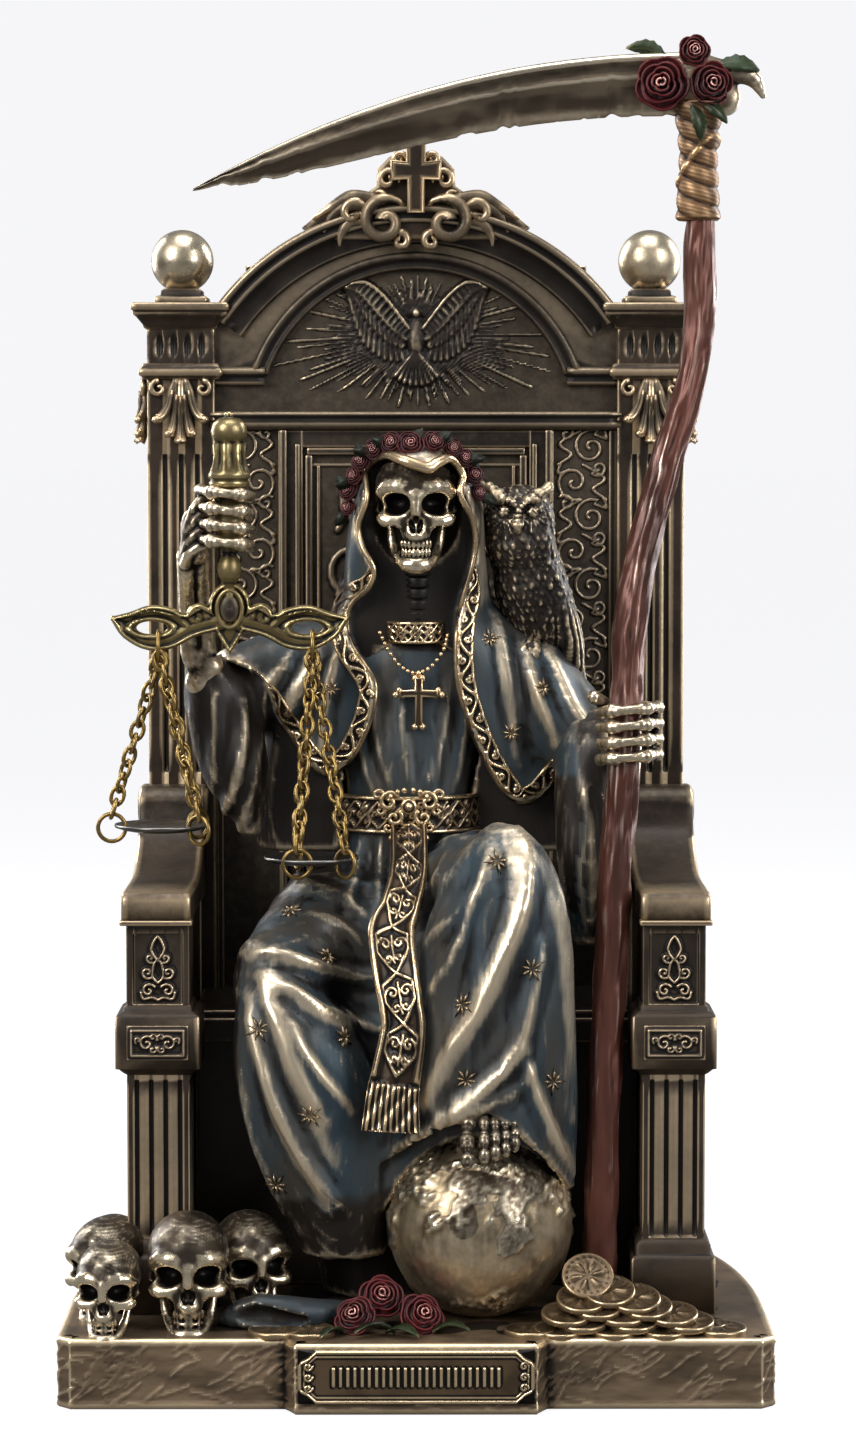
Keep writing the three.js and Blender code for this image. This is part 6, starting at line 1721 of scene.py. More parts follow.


# Painted highlights on the robe, as lines in [x, z] with how wide and how strongly
ROBE_PAINTED_HIGHLIGHTS = [
    ([(20.5, 117), (21, 103), (14.6, 87), (9, 76), (2, 64)], 3.0, 0.9),
    ([(27, 114), (31.6, 92), (33, 58)], 1.6, 0.6),
    ([(27, 84), (20, 72), (10, 64), (0, 58.6)], 2.2, 0.7),
    ([(23.4, 76), (28, 60), (35, 46)], 1.8, 0.7),
    ([(-31, 89), (-29, 78), (-22, 62), (-18, 50)], 2.4, 0.9),
    ([(-35.6, 84), (-33, 70), (-27, 54), (-19, 40)], 1.8, 0.8),
    ([(-36, 93), (-24, 92), (-12, 87)], 1.2, 0.7),
    ([(-30, 88), (-20, 82), (-9, 76.4)], 1.5, 0.8),
    ([(-26, 80), (-20, 70), (-14, 61)], 1.5, 0.6),
    ([(-32, 103), (-24, 105.6), (-12, 101)], 1.4, 0.4),
    ([(-8, 138), (-8.6, 130), (-7.4, 122)], 0.9, 0.8),
    ([(4, 142), (4.6, 132), (3.4, 122)], 0.9, 0.7),
    ([(-1.4, 136), (-0.6, 128), (0.4, 121)], 0.8, 0.7),
    ([(9, 136), (9.6, 128), (8.4, 122)], 0.8, 0.6),
    ([(-40, 152), (-39, 140), (-36.6, 125)], 1.1, 0.8),
    ([(-34, 148), (-32, 136), (-30, 122)], 1.0, 0.7),
    ([(-45, 148), (-44.4, 134), (-42, 118)], 1.0, 0.7),
    ([(37, 122), (36, 108), (37, 96)], 1.0, 0.6),
]


def painted_highlight_along(lines, x, z):
    """How strongly each point seen from the front is lightened as a painted highlight."""
    glint_share = np.zeros(len(x))
    for line, wide, strong in lines:
        far, place = run_along(x, z, smooth_path(line, 12))
        fading = np.sin(math.pi * np.clip(place, 0.1, 0.9)) ** 0.5
        glint_share = np.maximum(glint_share, strong * hill(far / wide) * fading)
    return glint_share


def robe_tone(p):
    """Where the paint takes its dark second colour: brown on the sleeves and the sides, and painted shade
    beside the body, at the neck under the hood and low on the robe under the lap; below zero, the painted
    highlights.
    """
    x, y, z = p.T
    drift = 0.6 * noise(p, 7, 13, 2)
    away = -9.0
    # Brown on the sleeves and the sides first; then painted shade beside the body, at the neck under the hood
    # and low on the robe.
    brown_and_shade = np.maximum.reduce([
        np.where(z > 100, (-30 - x) / 3, (-36.5 - x) / 2),
        np.where(z < 152, (x - 34) / 3, away),
        np.where(np.abs(x) > 12, (y - 2 - 0.12 * np.abs(z - 120)) / 4, away),
        np.minimum.reduce([(np.abs(x + 1.6) - 13.5) / 3, (z - 98) / 3, (133 - z) / 5, (y + 17) / 3]),
        (z - 156) / 2,
        np.where(x < 2, (46 - z) / 9, (34 - z) / 6),
    ])
    # Painted highlights on top of each knee and along the lines, on the front only.
    glint_share = 0.75 * hill((x - 20.5) / 4.0, (z - 115.5) / 5.5)
    glint_share = np.maximum(glint_share, 0.9 * hill((x + 31) / 3.6, (z - 87.5) / 5))
    glint_share = np.maximum(glint_share, painted_highlight_along(ROBE_PAINTED_HIGHLIGHTS, x, z)) * (y < -6)
    mottled_brown_and_shade = np.clip(brown_and_shade + drift * np.clip(2 * brown_and_shade, 0, 1), 0, 1)
    return np.where((brown_and_shade > 0.0) & (glint_share < 0.2), mottled_brown_and_shade, -0.42 * glint_share)


add("robe", ROBE, robe_paint, "figure", tone=robe_tone(ROBE[0]))
robe_tree = BVHTree.FromPolygons(ROBE[0].tolist(), ROBE[1].tolist())

# Figure: the veil

# Its opening seen from the front as [x, z], each side from the top down
EDGE_RIGHT = [(7.5, 199.2), (10.2, 195.7), (9.6, 191.6), (12.3, 186.1), (13.1, 181.3), (12.3, 175.8),
              (10.2, 168.3), (9.2, 163.6), (8.8, 157.4), (9.2, 150.5), (10.9, 143.6), (14.3, 134.7),
              (19.1, 126.5), (22.6, 123.1)]
EDGE_LEFT = [(-7.0, 200.0), (-10.8, 196.6), (-10.8, 190.4), (-12.6, 184.7), (-11.7, 179.9), (-9.2, 175.1),
             (-10.3, 171.2), (-14.3, 167), (-15.2, 162.8), (-13.9, 158), (-9.9, 151.9), (-8.9, 147.7),
             (-10.4, 140.9), (-14.2, 133.4), (-18.4, 129.6)]
BROW = (2.4, 197.3)
LOW_RIGHT = [(22.6, 123.1), (27.4, 124.4), (32.9, 130.6), (36.2, 136.1), (64, 146)]
LOW_LEFT = [(-18.4, 129.6), (-21.6, 130.4), (-25.5, 135.0), (-31, 143.1), (-36.5, 153), (-64, 160)]
VEIL_LEVELS = [[112, 2, 15, 37.4, 16.6], [124, 1, 14, 37.4, 16.6], [140, 0, 13, 34.8, 16.6],
               [150, -0.5, 12, 31, 16], [158, 0, 11, 24.4, 15.2], [166, 0, 9.4, 17.6, 14],
               [176, 0, 7.6, 15.4, 14], [188, 0.3, 5.6, 14.2, 14.6], [196, 0.3, 4.4, 11.6, 13.8],
               [200.4, 0.3, 3.6, 8.8, 12.2], [203.4, 0.3, 4, 2.5, 5]]
VEIL_EDGES = [smooth_path(edge, 60) for edge in (EDGE_LEFT, EDGE_RIGHT)]


def veil_sides(z):
    """Where the left and the right edge of the veil's opening are at each height."""
    return [np.interp(z, line[::-1, 1], line[::-1, 0]) for line in VEIL_EDGES]


def veil_front(x, z):
    """How far forward the veil lies."""
    table = smooth_path(VEIL_LEVELS, 60)
    cx, cy, rx, ry = (np.interp(z, table[:, 0], table[:, k]) for k in range(1, 5))
    return cy - ry * np.sqrt(np.clip(1 - ((x - cx) / rx) ** 2, 0.02, 1))


def veil_field():
    """The veil over the head and both shoulders, open in front."""
    over_left = bone([(-10, 11, 156), (-24, 9.4, 152), (-38, 5.6, 149)], [11, 11.4, 9.4])
    over_right = bone([(10, 11, 156), (24, 10.4, 149), (38, 4.6, 136)], [11, 11.4, 9])
    shell = union(3, column(VEIL_LEVELS), over_left, over_right)
    low_right, low_left = smooth_path(LOW_RIGHT, 30), smooth_path(LOW_LEFT, 30)

    def opening(p):
        """Negative in front, between the veil's two edges."""
        x, z = p[:, 0], p[:, 2]
        left, right = veil_sides(z)
        between_edges = np.maximum(x - right, left - x)
        low = np.where(x > 0, np.interp(x, low_right[:, 0], low_right[:, 1]),
                       np.interp(-x, -low_left[:, 0], low_left[:, 1]))
        dip = np.interp(x, [-7, -3, 2.4, 4.6, 7.5], [200, 199.0, 197.3, 198.4, 199.2])
        back = np.interp(z, [120, 140, 160, 200], [7, 5, 3.2, 3.2])
        return np.maximum(np.maximum(np.minimum(between_edges, (z - low) * 0.75), z - dip), p[:, 1] - back)

    field = carved(shell, opening, 0.3)
    field = carved(field, egg((0.2, -2, 186), (11.6, 9.5, 12.6)), 0.5)
    under = column([[112, -1.6, 10, 16, 12], [125, -2, 9.5, 14.4, 11.8], [140, -1, 11, 18.4, 11.8],
                    [152, 0, 12, 20, 10], [163, 0, 11, 6, 6]])
    return carved(field, under, 0.3)


def veil_folds(p, n):
    """How far the veil's folds stand out."""
    x, z = p[:, 0], p[:, 2]
    front = np.clip(0.5 - n[:, 1], 0, 1)
    out = 0.0
    for line, wide, high in (
        ([(24, 158), (27, 148), (31, 138)], 1.6, 1.4), ([(18, 165), (20.5, 150), (22.5, 132)], 1.5, 1.2),
        ([(29.6, 156), (34, 146), (38, 140)], 1.6, 1.3), ([(-20, 160), (-25, 150), (-30, 140)], 1.6, 1.4),
        ([(-17, 158), (-20, 146), (-21, 134)], 1.5, 1.1), ([(-28, 156), (-33, 148)], 1.6, 1.2),
        ([(14.8, 192), (15.6, 178), (14.2, 166)], 1.6, 0.8),
        ([(-14.6, 192), (-14.6, 178), (-14, 168)], 1.6, 0.8),
    ):
        out = out + ridge(x, z, line, 0.8 * wide, high) * front
    side = np.arctan2(x, p[:, 1] - 10)
    hang = 0.8 * np.sin(side * 13 + noise(p, (14, 14, 40), 3, 2))
    out = out + hang * np.clip(n[:, 1] + 0.3, 0, 1) * np.clip((196 - z) / 30, 0, 1)
    return out + 0.16 * noise(p, (3, 3, 12), 16, 3)


# Painted highlights on the veil, as lines in [x, z] with how wide and how strongly
VEIL_PAINTED_HIGHLIGHTS = [
    ([(16, 170), (18.4, 154), (21.4, 134)], 1.1, 0.8),
    ([(22, 158), (26, 147), (30.6, 136)], 1.2, 0.8),
    ([(29, 157), (34, 148), (38, 140)], 1.3, 0.8),
    ([(-16, 166), (-19, 150), (-21, 134)], 1.1, 0.7),
    ([(-22, 160), (-27, 149), (-32, 142)], 1.3, 0.8),
    ([(15.6, 194), (15.4, 182), (14, 168)], 1.0, 0.6),
]
VEIL = pushed(skinned(veil_field(), (-49, -12, 111), (48, 33, 205), 0.96), veil_folds)


def veil_tone(p):
    """Where the paint takes its dark second colour: painted shade inside the hood, and brown on the back;
    below zero, the painted highlights.
    """
    x, y, z = p.T
    left, right = veil_sides(z)
    within = np.minimum(right - x, x - left)
    # Painted shade inside the hood.
    inside = np.minimum(within * 2, (y + 5.5) * 0.8) * (z > 150)
    behind = np.where(z < 148, (y - 1.5) / 3, (y - 10) / 5)
    brown_and_shade = np.clip(np.maximum(inside, behind), 0, 1)
    return np.where(brown_and_shade > 0, brown_and_shade, -0.4 * painted_highlight_along(VEIL_PAINTED_HIGHLIGHTS, x, z))


add("veil", VEIL, robe_paint, "figure", tone=veil_tone(VEIL[0]))
veil_tree = BVHTree.FromPolygons(VEIL[0].tolist(), VEIL[1].tolist())


def on_front(tree, x, z, missing):
    """Where a look from the front meets a mesh at x and z, and the way out there."""
    hit, normal, _, _ = tree.ray_cast(Vector((x, -90, z)), Vector((0, 1, 0)))
    if hit is None:
        return np.array([x, missing, z]), np.array([0, -1.0, 0])
    return np.array(hit), np.array(normal)


def band(tree, edge, outside, wide, curves, missing, step=0.3):
    """A carved border that lies on a mesh beside an edge in x and z, on the outside given by a sign."""
    line = np.asarray(edge, float)
    run = run_of(line)
    count = int(run[-1] / (step * COARSE))
    u = np.linspace(0, run[-1], count)
    spine = np.stack([np.interp(u, run, line[:, k]) for k in range(2)], 1)
    along = unit(np.gradient(spine, axis=0))
    across = np.stack([along[:, 1], -along[:, 0]], 1) * outside
    cols = int(wide / (step * COARSE)) + 1
    v = np.linspace(0, wide, cols)
    narrow = np.clip((spine[:, 1].max() + 0.6 - spine[:, 1]) / 7, 0.12, 1) ** 0.6
    spots = spine[:, None] + across[:, None] * (v[None] * narrow[:, None])[..., None]
    hits = np.empty((count, cols))
    for i in range(count):
        last = hits[i - 1, 0] if i else missing
        for j in range(cols):
            last = on_front(tree, *spots[i, j], last + 0.3)[0][1]
            hits[i, j] = last = min(last, hits[i, j - 1] + 1.0) if j else last
    for _ in range(6):
        evened(hits, 1)
        evened(hits.T, 1)
    uu, vv = np.meshgrid(u, v - wide / 2, indexing="ij")
    rim = np.clip(1 - ((wide / 2 - 0.32 - np.abs(vv)) / 0.32) ** 2, 0, 1)
    lift = np.maximum(strokes(uu, vv, curves(run[-1]), 0.36, 0.62), 0.62 * np.sqrt(rim)) + 0.12
    front = np.stack([spots[..., 0], hits - lift, spots[..., 1]], -1)
    rear = np.stack([spots[..., 0], hits + 0.9, spots[..., 1]], -1)
    return loft(np.concatenate([front, rear[:, ::-1]], 1))


def veil_bands():
    """The borders beside the veil's edges, and along its lower edges."""
    right = smooth_path([*EDGE_RIGHT[5:], *LOW_RIGHT[1:3]][::-1], 80)
    left = smooth_path(EDGE_LEFT[5:], 60)
    low_left = smooth_path(LOW_LEFT[:5], 40)

    def vines(length):
        return vine(length, 3.4, max(2, int(length / 4.6)))

    return merged([
        band(veil_tree, right, 1, 3.9, vines, -3),
        band(veil_tree, left, 1, 3.8, vines, -3),
        band(veil_tree, low_left, 1, 3.4, vines, -3),
    ])


def veil_hem():
    """The rolled rim all round the veil's opening."""
    line = np.array([*LOW_LEFT[4:0:-1], *EDGE_LEFT[::-1], (-2.8, 199.0), BROW, (4.6, 198.4), *EDGE_RIGHT,
                     *LOW_RIGHT[1:3]])
    line = smooth_path(line, 260)
    y = veil_front(line[:, 0], line[:, 1])
    low = line[:, 1] < 166
    y[low] = [on_front(veil_tree, x, z, missing)[0][1] for (x, z), missing in zip(line[low], y[low])]
    y[low] = np.clip(y[low], -8, 6)
    evened(y, 8)
    head = np.clip((line[:, 1] - 168) / 12, 0, 1)
    path = np.stack([line[:, 0], y - 0.9 * head, line[:, 1]], 1)
    brow = hill((line[:, 0] - 1) / 8) * (line[:, 1] > 194)
    ends = np.clip(np.minimum(np.arange(len(line)), np.arange(len(line))[::-1]) / 14, 0.2, 1)[:, None]
    radii = np.stack([0.62 + 0.25 * head + 0.5 * brow, 0.56 + 0.1 * head + 0.5 * brow], 1)
    return tube(path, ends * radii, 9)


add("veil_borders", veil_bands(), gilt, "figure")
add("veil_hem", veil_hem(), gilt, "figure")


CROWN = [(-1.1, 202.6, 3.0), (-5.4, 202.8, 2.5), (4.0, 203.0, 2.5), (8.0, 201.6, 2.3), (10.6, 199.4, 2.3),
         (12.6, 195.8, 2.5), (13.6, 191.8, 2.0), (-9.2, 201.4, 2.4), (-12.0, 198.8, 2.4), (-13.6, 195.6, 2.2),
         (-14.9, 192.4, 2.4), (-15.0, 188.6, 1.9)]


def crown():
    """Roses round the hood, close above its rim and again further back, with leaves between them."""
    middle, top = 188, 203
    roses, between = [], []
    for i, (x, z, r) in enumerate(CROWN):
        y = -7.4 + 0.032 * x * x + 0.1 * (top - z)
        roses.append((x, y, z, r, (0.045 * x, -1, 0.35)))
        turn = math.atan2(z - middle, x) + (0.9 if i % 2 else -0.7)
        between.append((4.6, 2.4, (x, y + 0.9, z - 0.6), (1.35, -turn, 0)))
        roses.append((0.86 * x, y + 4.6, middle + 0.94 * (z - middle), r, (0.05 * x, 0.2, 1)))
    return flowers(roses), leaves(between)


CROWN_ROSES, CROWN_LEAVES = crown()
add("crown_roses", CROWN_ROSES, crown_paint, "figure")
add("crown_leaves", CROWN_LEAVES, dark_leaf_paint, "figure")
add("skull", placed(worn_skull(SKULL, 3), (0.0, 1.4, 190.1), (0.06, 0, 0)), skull_metal, "figure")


def star(x, z, tree, size):
    """A raised star of eight rays that lies on the cloth."""
    spot, n = on_front(tree, x, z, -30)
    shapes = []
    for i in range(8):
        long = size * (1.0 if i % 2 == 0 else 0.8)
        a = TAU * i / 8
        ray = [(0.15, 0, 0.55), (long * 0.45, 0.34, 0.1), (long * 0.45, -0.34, 0.1), (long * 0.5, 0, 0.65),
               (long, 0, 0.15), (long * 0.4, 0, -0.6)]
        faces = [(0, 2, 3), (0, 3, 1), (3, 2, 4), (1, 3, 4), (2, 0, 5), (0, 1, 5), (1, 4, 5), (4, 2, 5)]
        p = np.array(ray) @ turned((0, 0, a)).T
        shapes.append(outward((p, np.array(faces))))
    return placed(merged(shapes), spot + n * 0.1, facing(tuple(n), 0.4))


STARS_LOW = [(17.1, 114.4), (24.5, 91.9), (9.9, 84.4), (10.6, 68.4), (29.0, 67.3), (-33.4, 78.7),
             (-22.5, 60.5), (-15.5, 76.1), (-29.9, 44.4), (-19.2, 92.5), (-27.0, 101.5)]
STARS_HIGH = [(-18.8, 148.8), (16.2, 159.7), (27.8, 148.8), (21.0, 138.9)]
add("stars", merged([star(x, z, robe_tree, 3.4) for x, z in STARS_LOW]
                    + [star(x, z, veil_tree, 2.8) for x, z in STARS_HIGH]), gilt, "figure")


def sash():
    """The long end of the belt, with a carved field between gilt edges and a fringe."""
    spots = [(-1.6, -4.0, 118.6), (-1.7, -17, 109.8), (-3.4, -27, 103.2), (-5.2, -31, 98.6), (-4.2, -36, 90),
             (-3.2, -38, 84), (-2.8, -39, 78), (-4.8, -40.4, 66), (-5.4, -41.4, 57.4)]
    half = [4.0, 4.1, 4.2, 5.0, 4.9, 4.6, 4.8, 5.5, 6.2]
    rows, cols = int(190 / COARSE), int(38 / COARSE)
    path = smooth_path(spots, rows)
    wide = np.interp(np.linspace(0, 1, rows), np.linspace(0, 1, len(half)), half)
    under = [
        min(on_front(robe_tree, x + w * k, z, -10)[0][1] for k in (-0.8, 0, 0.8))
        for (x, _, z), w in zip(path, wide)
    ]
    path[:, 1] = np.minimum(under, path[:, 1])
    evened(path[:, 1], 30)
    along = unit(np.gradient(path, axis=0))
    side = unit(np.array([1.0, 0, 0]) - along * along[:, :1])
    out = np.cross(along, side)
    out = out * -np.sign(out[:, 1:2])
    run = run_of(path)
    t = np.linspace(-1, 1, cols)
    uu, tt = np.meshgrid(run, t, indexing="ij")
    vv = tt * 5.0
    total = run[-1]
    lift = np.maximum(strokes(uu, vv, hearts(total - 12, 6.6, 6), 0.4, 0.7) * (np.abs(tt) < 0.72),
                      0.9 * hill((np.abs(tt) - 0.84) / 0.14))
    fringe = 0.75 * np.abs(np.cos(tt * 15)) + 0.2 * np.sin(uu * 1.2 + tt * 9)
    seam = hill((uu - total + 10.5) / 0.5)
    lift = np.where(uu > total - 10, fringe, lift) * (1 - seam)
    sway = 0.9 * np.sin(tt * 2.2 + uu * 0.13) + 0.8 * np.cos(tt * 4.1 + uu * 0.09)
    flat = path[:, None] + side[:, None] * (tt * wide[:, None])[..., None]
    front = flat + out[:, None] * (lift + 0.5 * sway + 0.4)[..., None]
    rear = flat + out[:, None] * (0.5 * sway - 1.2)[..., None]
    return loft(np.concatenate([front, rear[:, ::-1]], 1))


def belt():
    """A band of crossed stems round the waist, and the collar band."""
    shapes = []
    for z, half, rx, ry, cx, cy, repeats in (
        (BELT_Z, 4.1, 15.9, 13.1, -2, 9.5, 16),
        (161.0, 2.5, 7.3, 7.7, 0, 8, 14),
    ):
        angle = np.linspace(0, TAU, int(230 / COARSE), endpoint=False)
        v = np.linspace(-half, half, int(20 / COARSE))
        length = TAU * (rx + ry) / 2
        uu, vv = np.meshgrid(angle / TAU * length, v, indexing="ij")
        lift = np.maximum(strokes(uu, vv, crosses(length, 2 * half * 0.8, repeats), 0.34, 0.6),
                          0.7 * hill((np.abs(vv) - half + 0.4) / 0.35))
        outer, inner = (
            np.stack([cx + (rx + out) * np.cos(angle)[:, None], cy + (ry + out) * np.sin(angle)[:, None],
                      z + vv], -1)
            for out in (lift, 0 * lift - 1.2)
        )
        shapes.append(loft(np.concatenate([outer, inner[:, ::-1]], 1), closed=True))
    return merged(shapes)


def wire_scroll(x, y, z, r, start, turns, hand, thick):
    """A scroll of wire that thins towards its middle."""
    return tube(upright(spiral(x, z, r, start, turns, hand, 22, 0.14), y),
                np.linspace(thick, thick * 0.7, 22), 7)


def bead(x, y, z, r):
    """A small ball."""
    return lathe([(r * math.sin(t), -r * math.cos(t)) for t in np.linspace(0.01, 3.13, 7)], 9, (x, y, z))


def jewels():
    """The buckle, the necklace of beads and its cross."""
    y = -4.2
    cx, cz = -1.6, 121.4
    parts = [lathe([(0.01, -0.6), (1.5, -0.5), (1.9, 0), (1.6, 0.7), (1.1, 0.5), (0.8, 1.0), (0.01, 1.3)], 18,
                   (cx, y - 0.3, cz + 1.6), (math.pi / 2, 0, 0)),
             placed(lathe([(0.01, -1), (3.4, -0.8), (3.8, 0), (3.2, 0.4), (0.01, 0.5)], 26),
                    (cx, y + 1.2, cz - 0.4), (math.pi / 2, 0, 0))]
    for s in (-1, 1):
        parts += [
            wire_scroll(cx + s * 4.3, y, cz + 2.6, 2.3, by_side(2.6, s), 1.3, -s, 0.6),
            wire_scroll(cx + s * 3.2, y - 0.2, cz - 0.8, 1.9, by_side(2.2, s), 1.2, s, 0.55),
            wire_scroll(cx + s * 6.8, y + 0.5, cz + 4.0, 1.5, by_side(3.6, s), 1.0, -s, 0.5),
            wire_scroll(cx + s * 6.3, y + 0.4, cz + 0.6, 1.3, by_side(1.2, s), 1.1, s, 0.5),
            wire_scroll(cx + s * 4.6, y + 0.3, cz - 3.0, 1.3, by_side(2.0, s), 1.1, s, 0.5),
        ]
        for i in range(3):
            parts.append(bead(cx + s * (1.0 + 1.5 * i), y - 0.3, cz + 5.2 - 0.35 * i * i, 0.66))
    for i in range(8):
        a = math.pi * (1.17 + 0.66 * i / 7)
        parts.append(bead(cx + 4.6 * math.cos(a), y - 0.3, cz - 3.2 + 4.2 * math.sin(a), 0.66))
    for i in range(5):
        a = -math.pi / 2 + (i - 2) * 0.36
        tip = (cx + 3.4 * math.cos(a), y - 0.6, cz - 2.6 + 3.4 * math.sin(a))
        ray = smooth_path([(cx + 0.6 * math.cos(a), y - 0.5, cz - 2.2), tip], 6)
        parts.append(tube(ray, [0.4, 0.5, 0.55, 0.55, 0.5, 0.4], 6))
    strand = smooth_path([(-8.0, 0.6, 161.0), (-6.2, -0.4, 157.3), (-3.5, -0.9, 153.8), (-0.2, -1.2, 152.2),
                          (3.3, -0.9, 153.6), (6.1, -0.4, 157.3), (7.0, 0.4, 160.4)], 20)
    parts += [bead(*spot, 0.52) for spot in strand]
    y = -1.6
    cross = np.array([(0.85, -11), (0.85, -4.6), (4.2, -4.7), (4.2, -3.1), (0.85, -3.0), (0.85, -0.4)])
    outline = np.concatenate([cross, np.stack([-cross[::-1, 0], cross[::-1, 1]], 1)]) + (0.6, 151.6)
    parts.append(prism(outline, y - 0.9, y + 0.8, edge=0.22))
    for x, z in ((0.6, 151.4), (0.6, 140.7), (-3.7, 147.7), (4.9, 147.7)):
        for dx, dz in ((0, 0.75), (0.85, -0.3), (-0.85, -0.3)):
            parts.append(bead(x + dx, y - 0.1, z + dz, 0.8))
    return merged(parts)


add("sash", sash(), gilt, "figure")
add("belt", belt(), gilt, "figure")
add("jewels", jewels(), gilt, "figure")


def neck():
    """A column of vertebrae."""
    disc = [(0.01, -1.2), (2.6, -1.2), (3.3, -0.7), (2.7, 0), (3.3, 0.7), (2.6, 1.2), (0.01, 1.2)]
    return merged([lathe(disc, 16, (0.4, 6.6 - 0.4 * i, 162.0 + 2.5 * i)) for i in range(7)])


# The neck is near black as painted shade under the hood.
add("neck", neck(), painted_shade_bronze, "figure")

# Figure: hands and foot

KNUCKLES = [1.5, 1.0, 1.0, 1.65, 1.0, 1.0, 1.6, 0.95, 0.95, 1.4]
HANDLE = (-40.4, -12.0)
GRIP = (45.2, -19.0)


def fist(x, y, heights, hold, s, slant=0.0):
    """Fingers that close round an upright rod, from the knuckles at one side to their tips at the other."""
    r = hold + 1.0
    fingers = []
    for i, z in enumerate(heights):
        path = [(x - s * (r + 1.8), y + 2.4, z + slant), (x - s * (r + 0.9), y - 1.0, z + 0.5 * slant + 0.4),
                (x - s * r * 0.55, y - r * 0.98, z + 0.4), (x + s * r * 0.35, y - r * 1.05, z),
                (x + s * r, y - r * 0.4, z - 0.3), (x + s * r * 1.02, y + 1.4, z - 0.8)]
        fingers.append(bent(path, KNUCKLES, 19))
    return fingers


def hands():
    """The hand that holds the balance with its forearm, and the hand on the scythe."""
    hx, hy = HANDLE
    gx, gy = GRIP
    raised = [
        *fist(hx, hy, [191.6, 188.0, 184.5, 181.0], 3.4, 1, 0.8),
        *[bent([(hx - 5.2, hy + 1.6, 191.2 - 3.4 * i), (-48.6 - 0.2 * i, -10.4, 187.4 - 2.9 * i),
                (-50.2, -8.0, 180.0 - 1.2 * i)], [1.4, 1.0, 1.3], 6) for i in range(4)],
        egg((-49.0, -7.6, 183.0), (2.4, 2.6, 5.4)),
        bent([(-47.8, -6.4, 184), (-43.6, -4.8, 189.6), (-41.4, -6.0, 193.4)], [1.4, 1.0, 1.1], 6),
        bent([(-49.8, -6.6, 178), (-50.0, -4.0, 168), (-49.2, -2.4, 157)], [2.4, 1.9, 2.6], 8),
        bent([(-47.2, -6.0, 178), (-46.6, -3.4, 168), (-46.2, -2.0, 157)], [2.2, 1.7, 2.4], 8),
        egg((-48.8, -6.8, 178.2), (3.2, 2.6, 2.6)),
        union(1.6, egg((-48.2, -2.2, 156.0), (3.2, 2.8, 3.6)), egg((-45.2, -2.2, 153.4), (3.0, 2.6, 3.2)),
              egg((-47.4, -1.6, 150.4), (3.4, 2.8, 3.2))),
    ]
    resting = [
        *fist(gx, gy, [145.4, 142.0, 138.6, 135.2], 4.2, -1, 0.3),
        bent([(gx + 5.6, gy + 2.4, 145.6), (51.6, -14.4, 141.8)], [1.3, 1.4], 4),
        bent([(gx + 5.8, gy + 2.4, 142.2), (51.6, -14.2, 140.0)], [1.3, 1.4], 4),
        bent([(gx + 5.6, gy + 2.4, 138.8), (51.2, -14.0, 138.2)], [1.2, 1.4], 4),
        bent([(gx + 5.4, gy + 2.4, 135.4), (50.8, -13.8, 136.6)], [1.2, 1.3], 4),
        egg((50.2, -13.4, 139.6), (2.6, 3.0, 3.8)),
        bent([(48.6, -13.6, 142), (43.4, -15.0, 145.0), (38.4, -19.0, 148.0)], [1.3, 1.15, 1.5], 7),
        bent([(50, -13.4, 139), (45, -8, 138), (41, -3, 136)], [2.0, 1.7, 2.0], 7),
    ]
    shape_a = skinned(union(0.35, *raised), (-54.5, -19, 142), (-35, 6, 196), 0.42)
    shape_b = skinned(union(0.35, *resting), (36, -27, 131), (55, -1, 150), 0.42)
    return [pushed(s, lambda p, n: 0.16 * noise(p, 1.6, 5)) for s in (shape_a, shape_b)]


def foot():
    """The bones of the toes under the hem."""
    bones = []
    for i, (x, tip) in enumerate([(10.8, 51.0), (14.4, 51.8), (16.8, 52.4), (19.0, 53.0), (20.9, 54.0)]):
        back = 0.7 * i
        root = 14.6 + 0.62 * (x - 14.6)
        path = [(root, -33, 61.6 - 0.2 * i), (0.5 * (root + x), -38.4 + 0.4 * back, 61.0 - 0.2 * i),
                (x, -41.6 + 0.7 * back, 57.6), (x, -43.8 + back, tip + 2.4), (x, -44.2 + back, tip)]
        thick = 1.3 if i == 0 else 0.95
        bones.append(bent(path, [thick * r for r in (1.2, 0.75, 0.75, 1.4, 0.7, 1.35, 0.65, 1.25, 0.9)], 21))
    bones.append(egg((15.6, -31.6, 60.2), (4.6, 4.0, 2.6), (0.4, 0, 0)))
    return skinned(union(0.3, *bones), (6, -47, 49), (24, -27, 64), 0.34)


RAISED, RESTING = hands()
# The forearm below the wrist is lightened towards the glint as a painted highlight.
add("raised_hand", RAISED, bone_metal, "figure",
    tone=-0.35 * np.clip((181 - RAISED[0][:, 2]) / 4, 0, 1))
add("resting_hand", RESTING, bone_metal, "figure")
add("foot_bones", foot(), foot_metal, "figure")


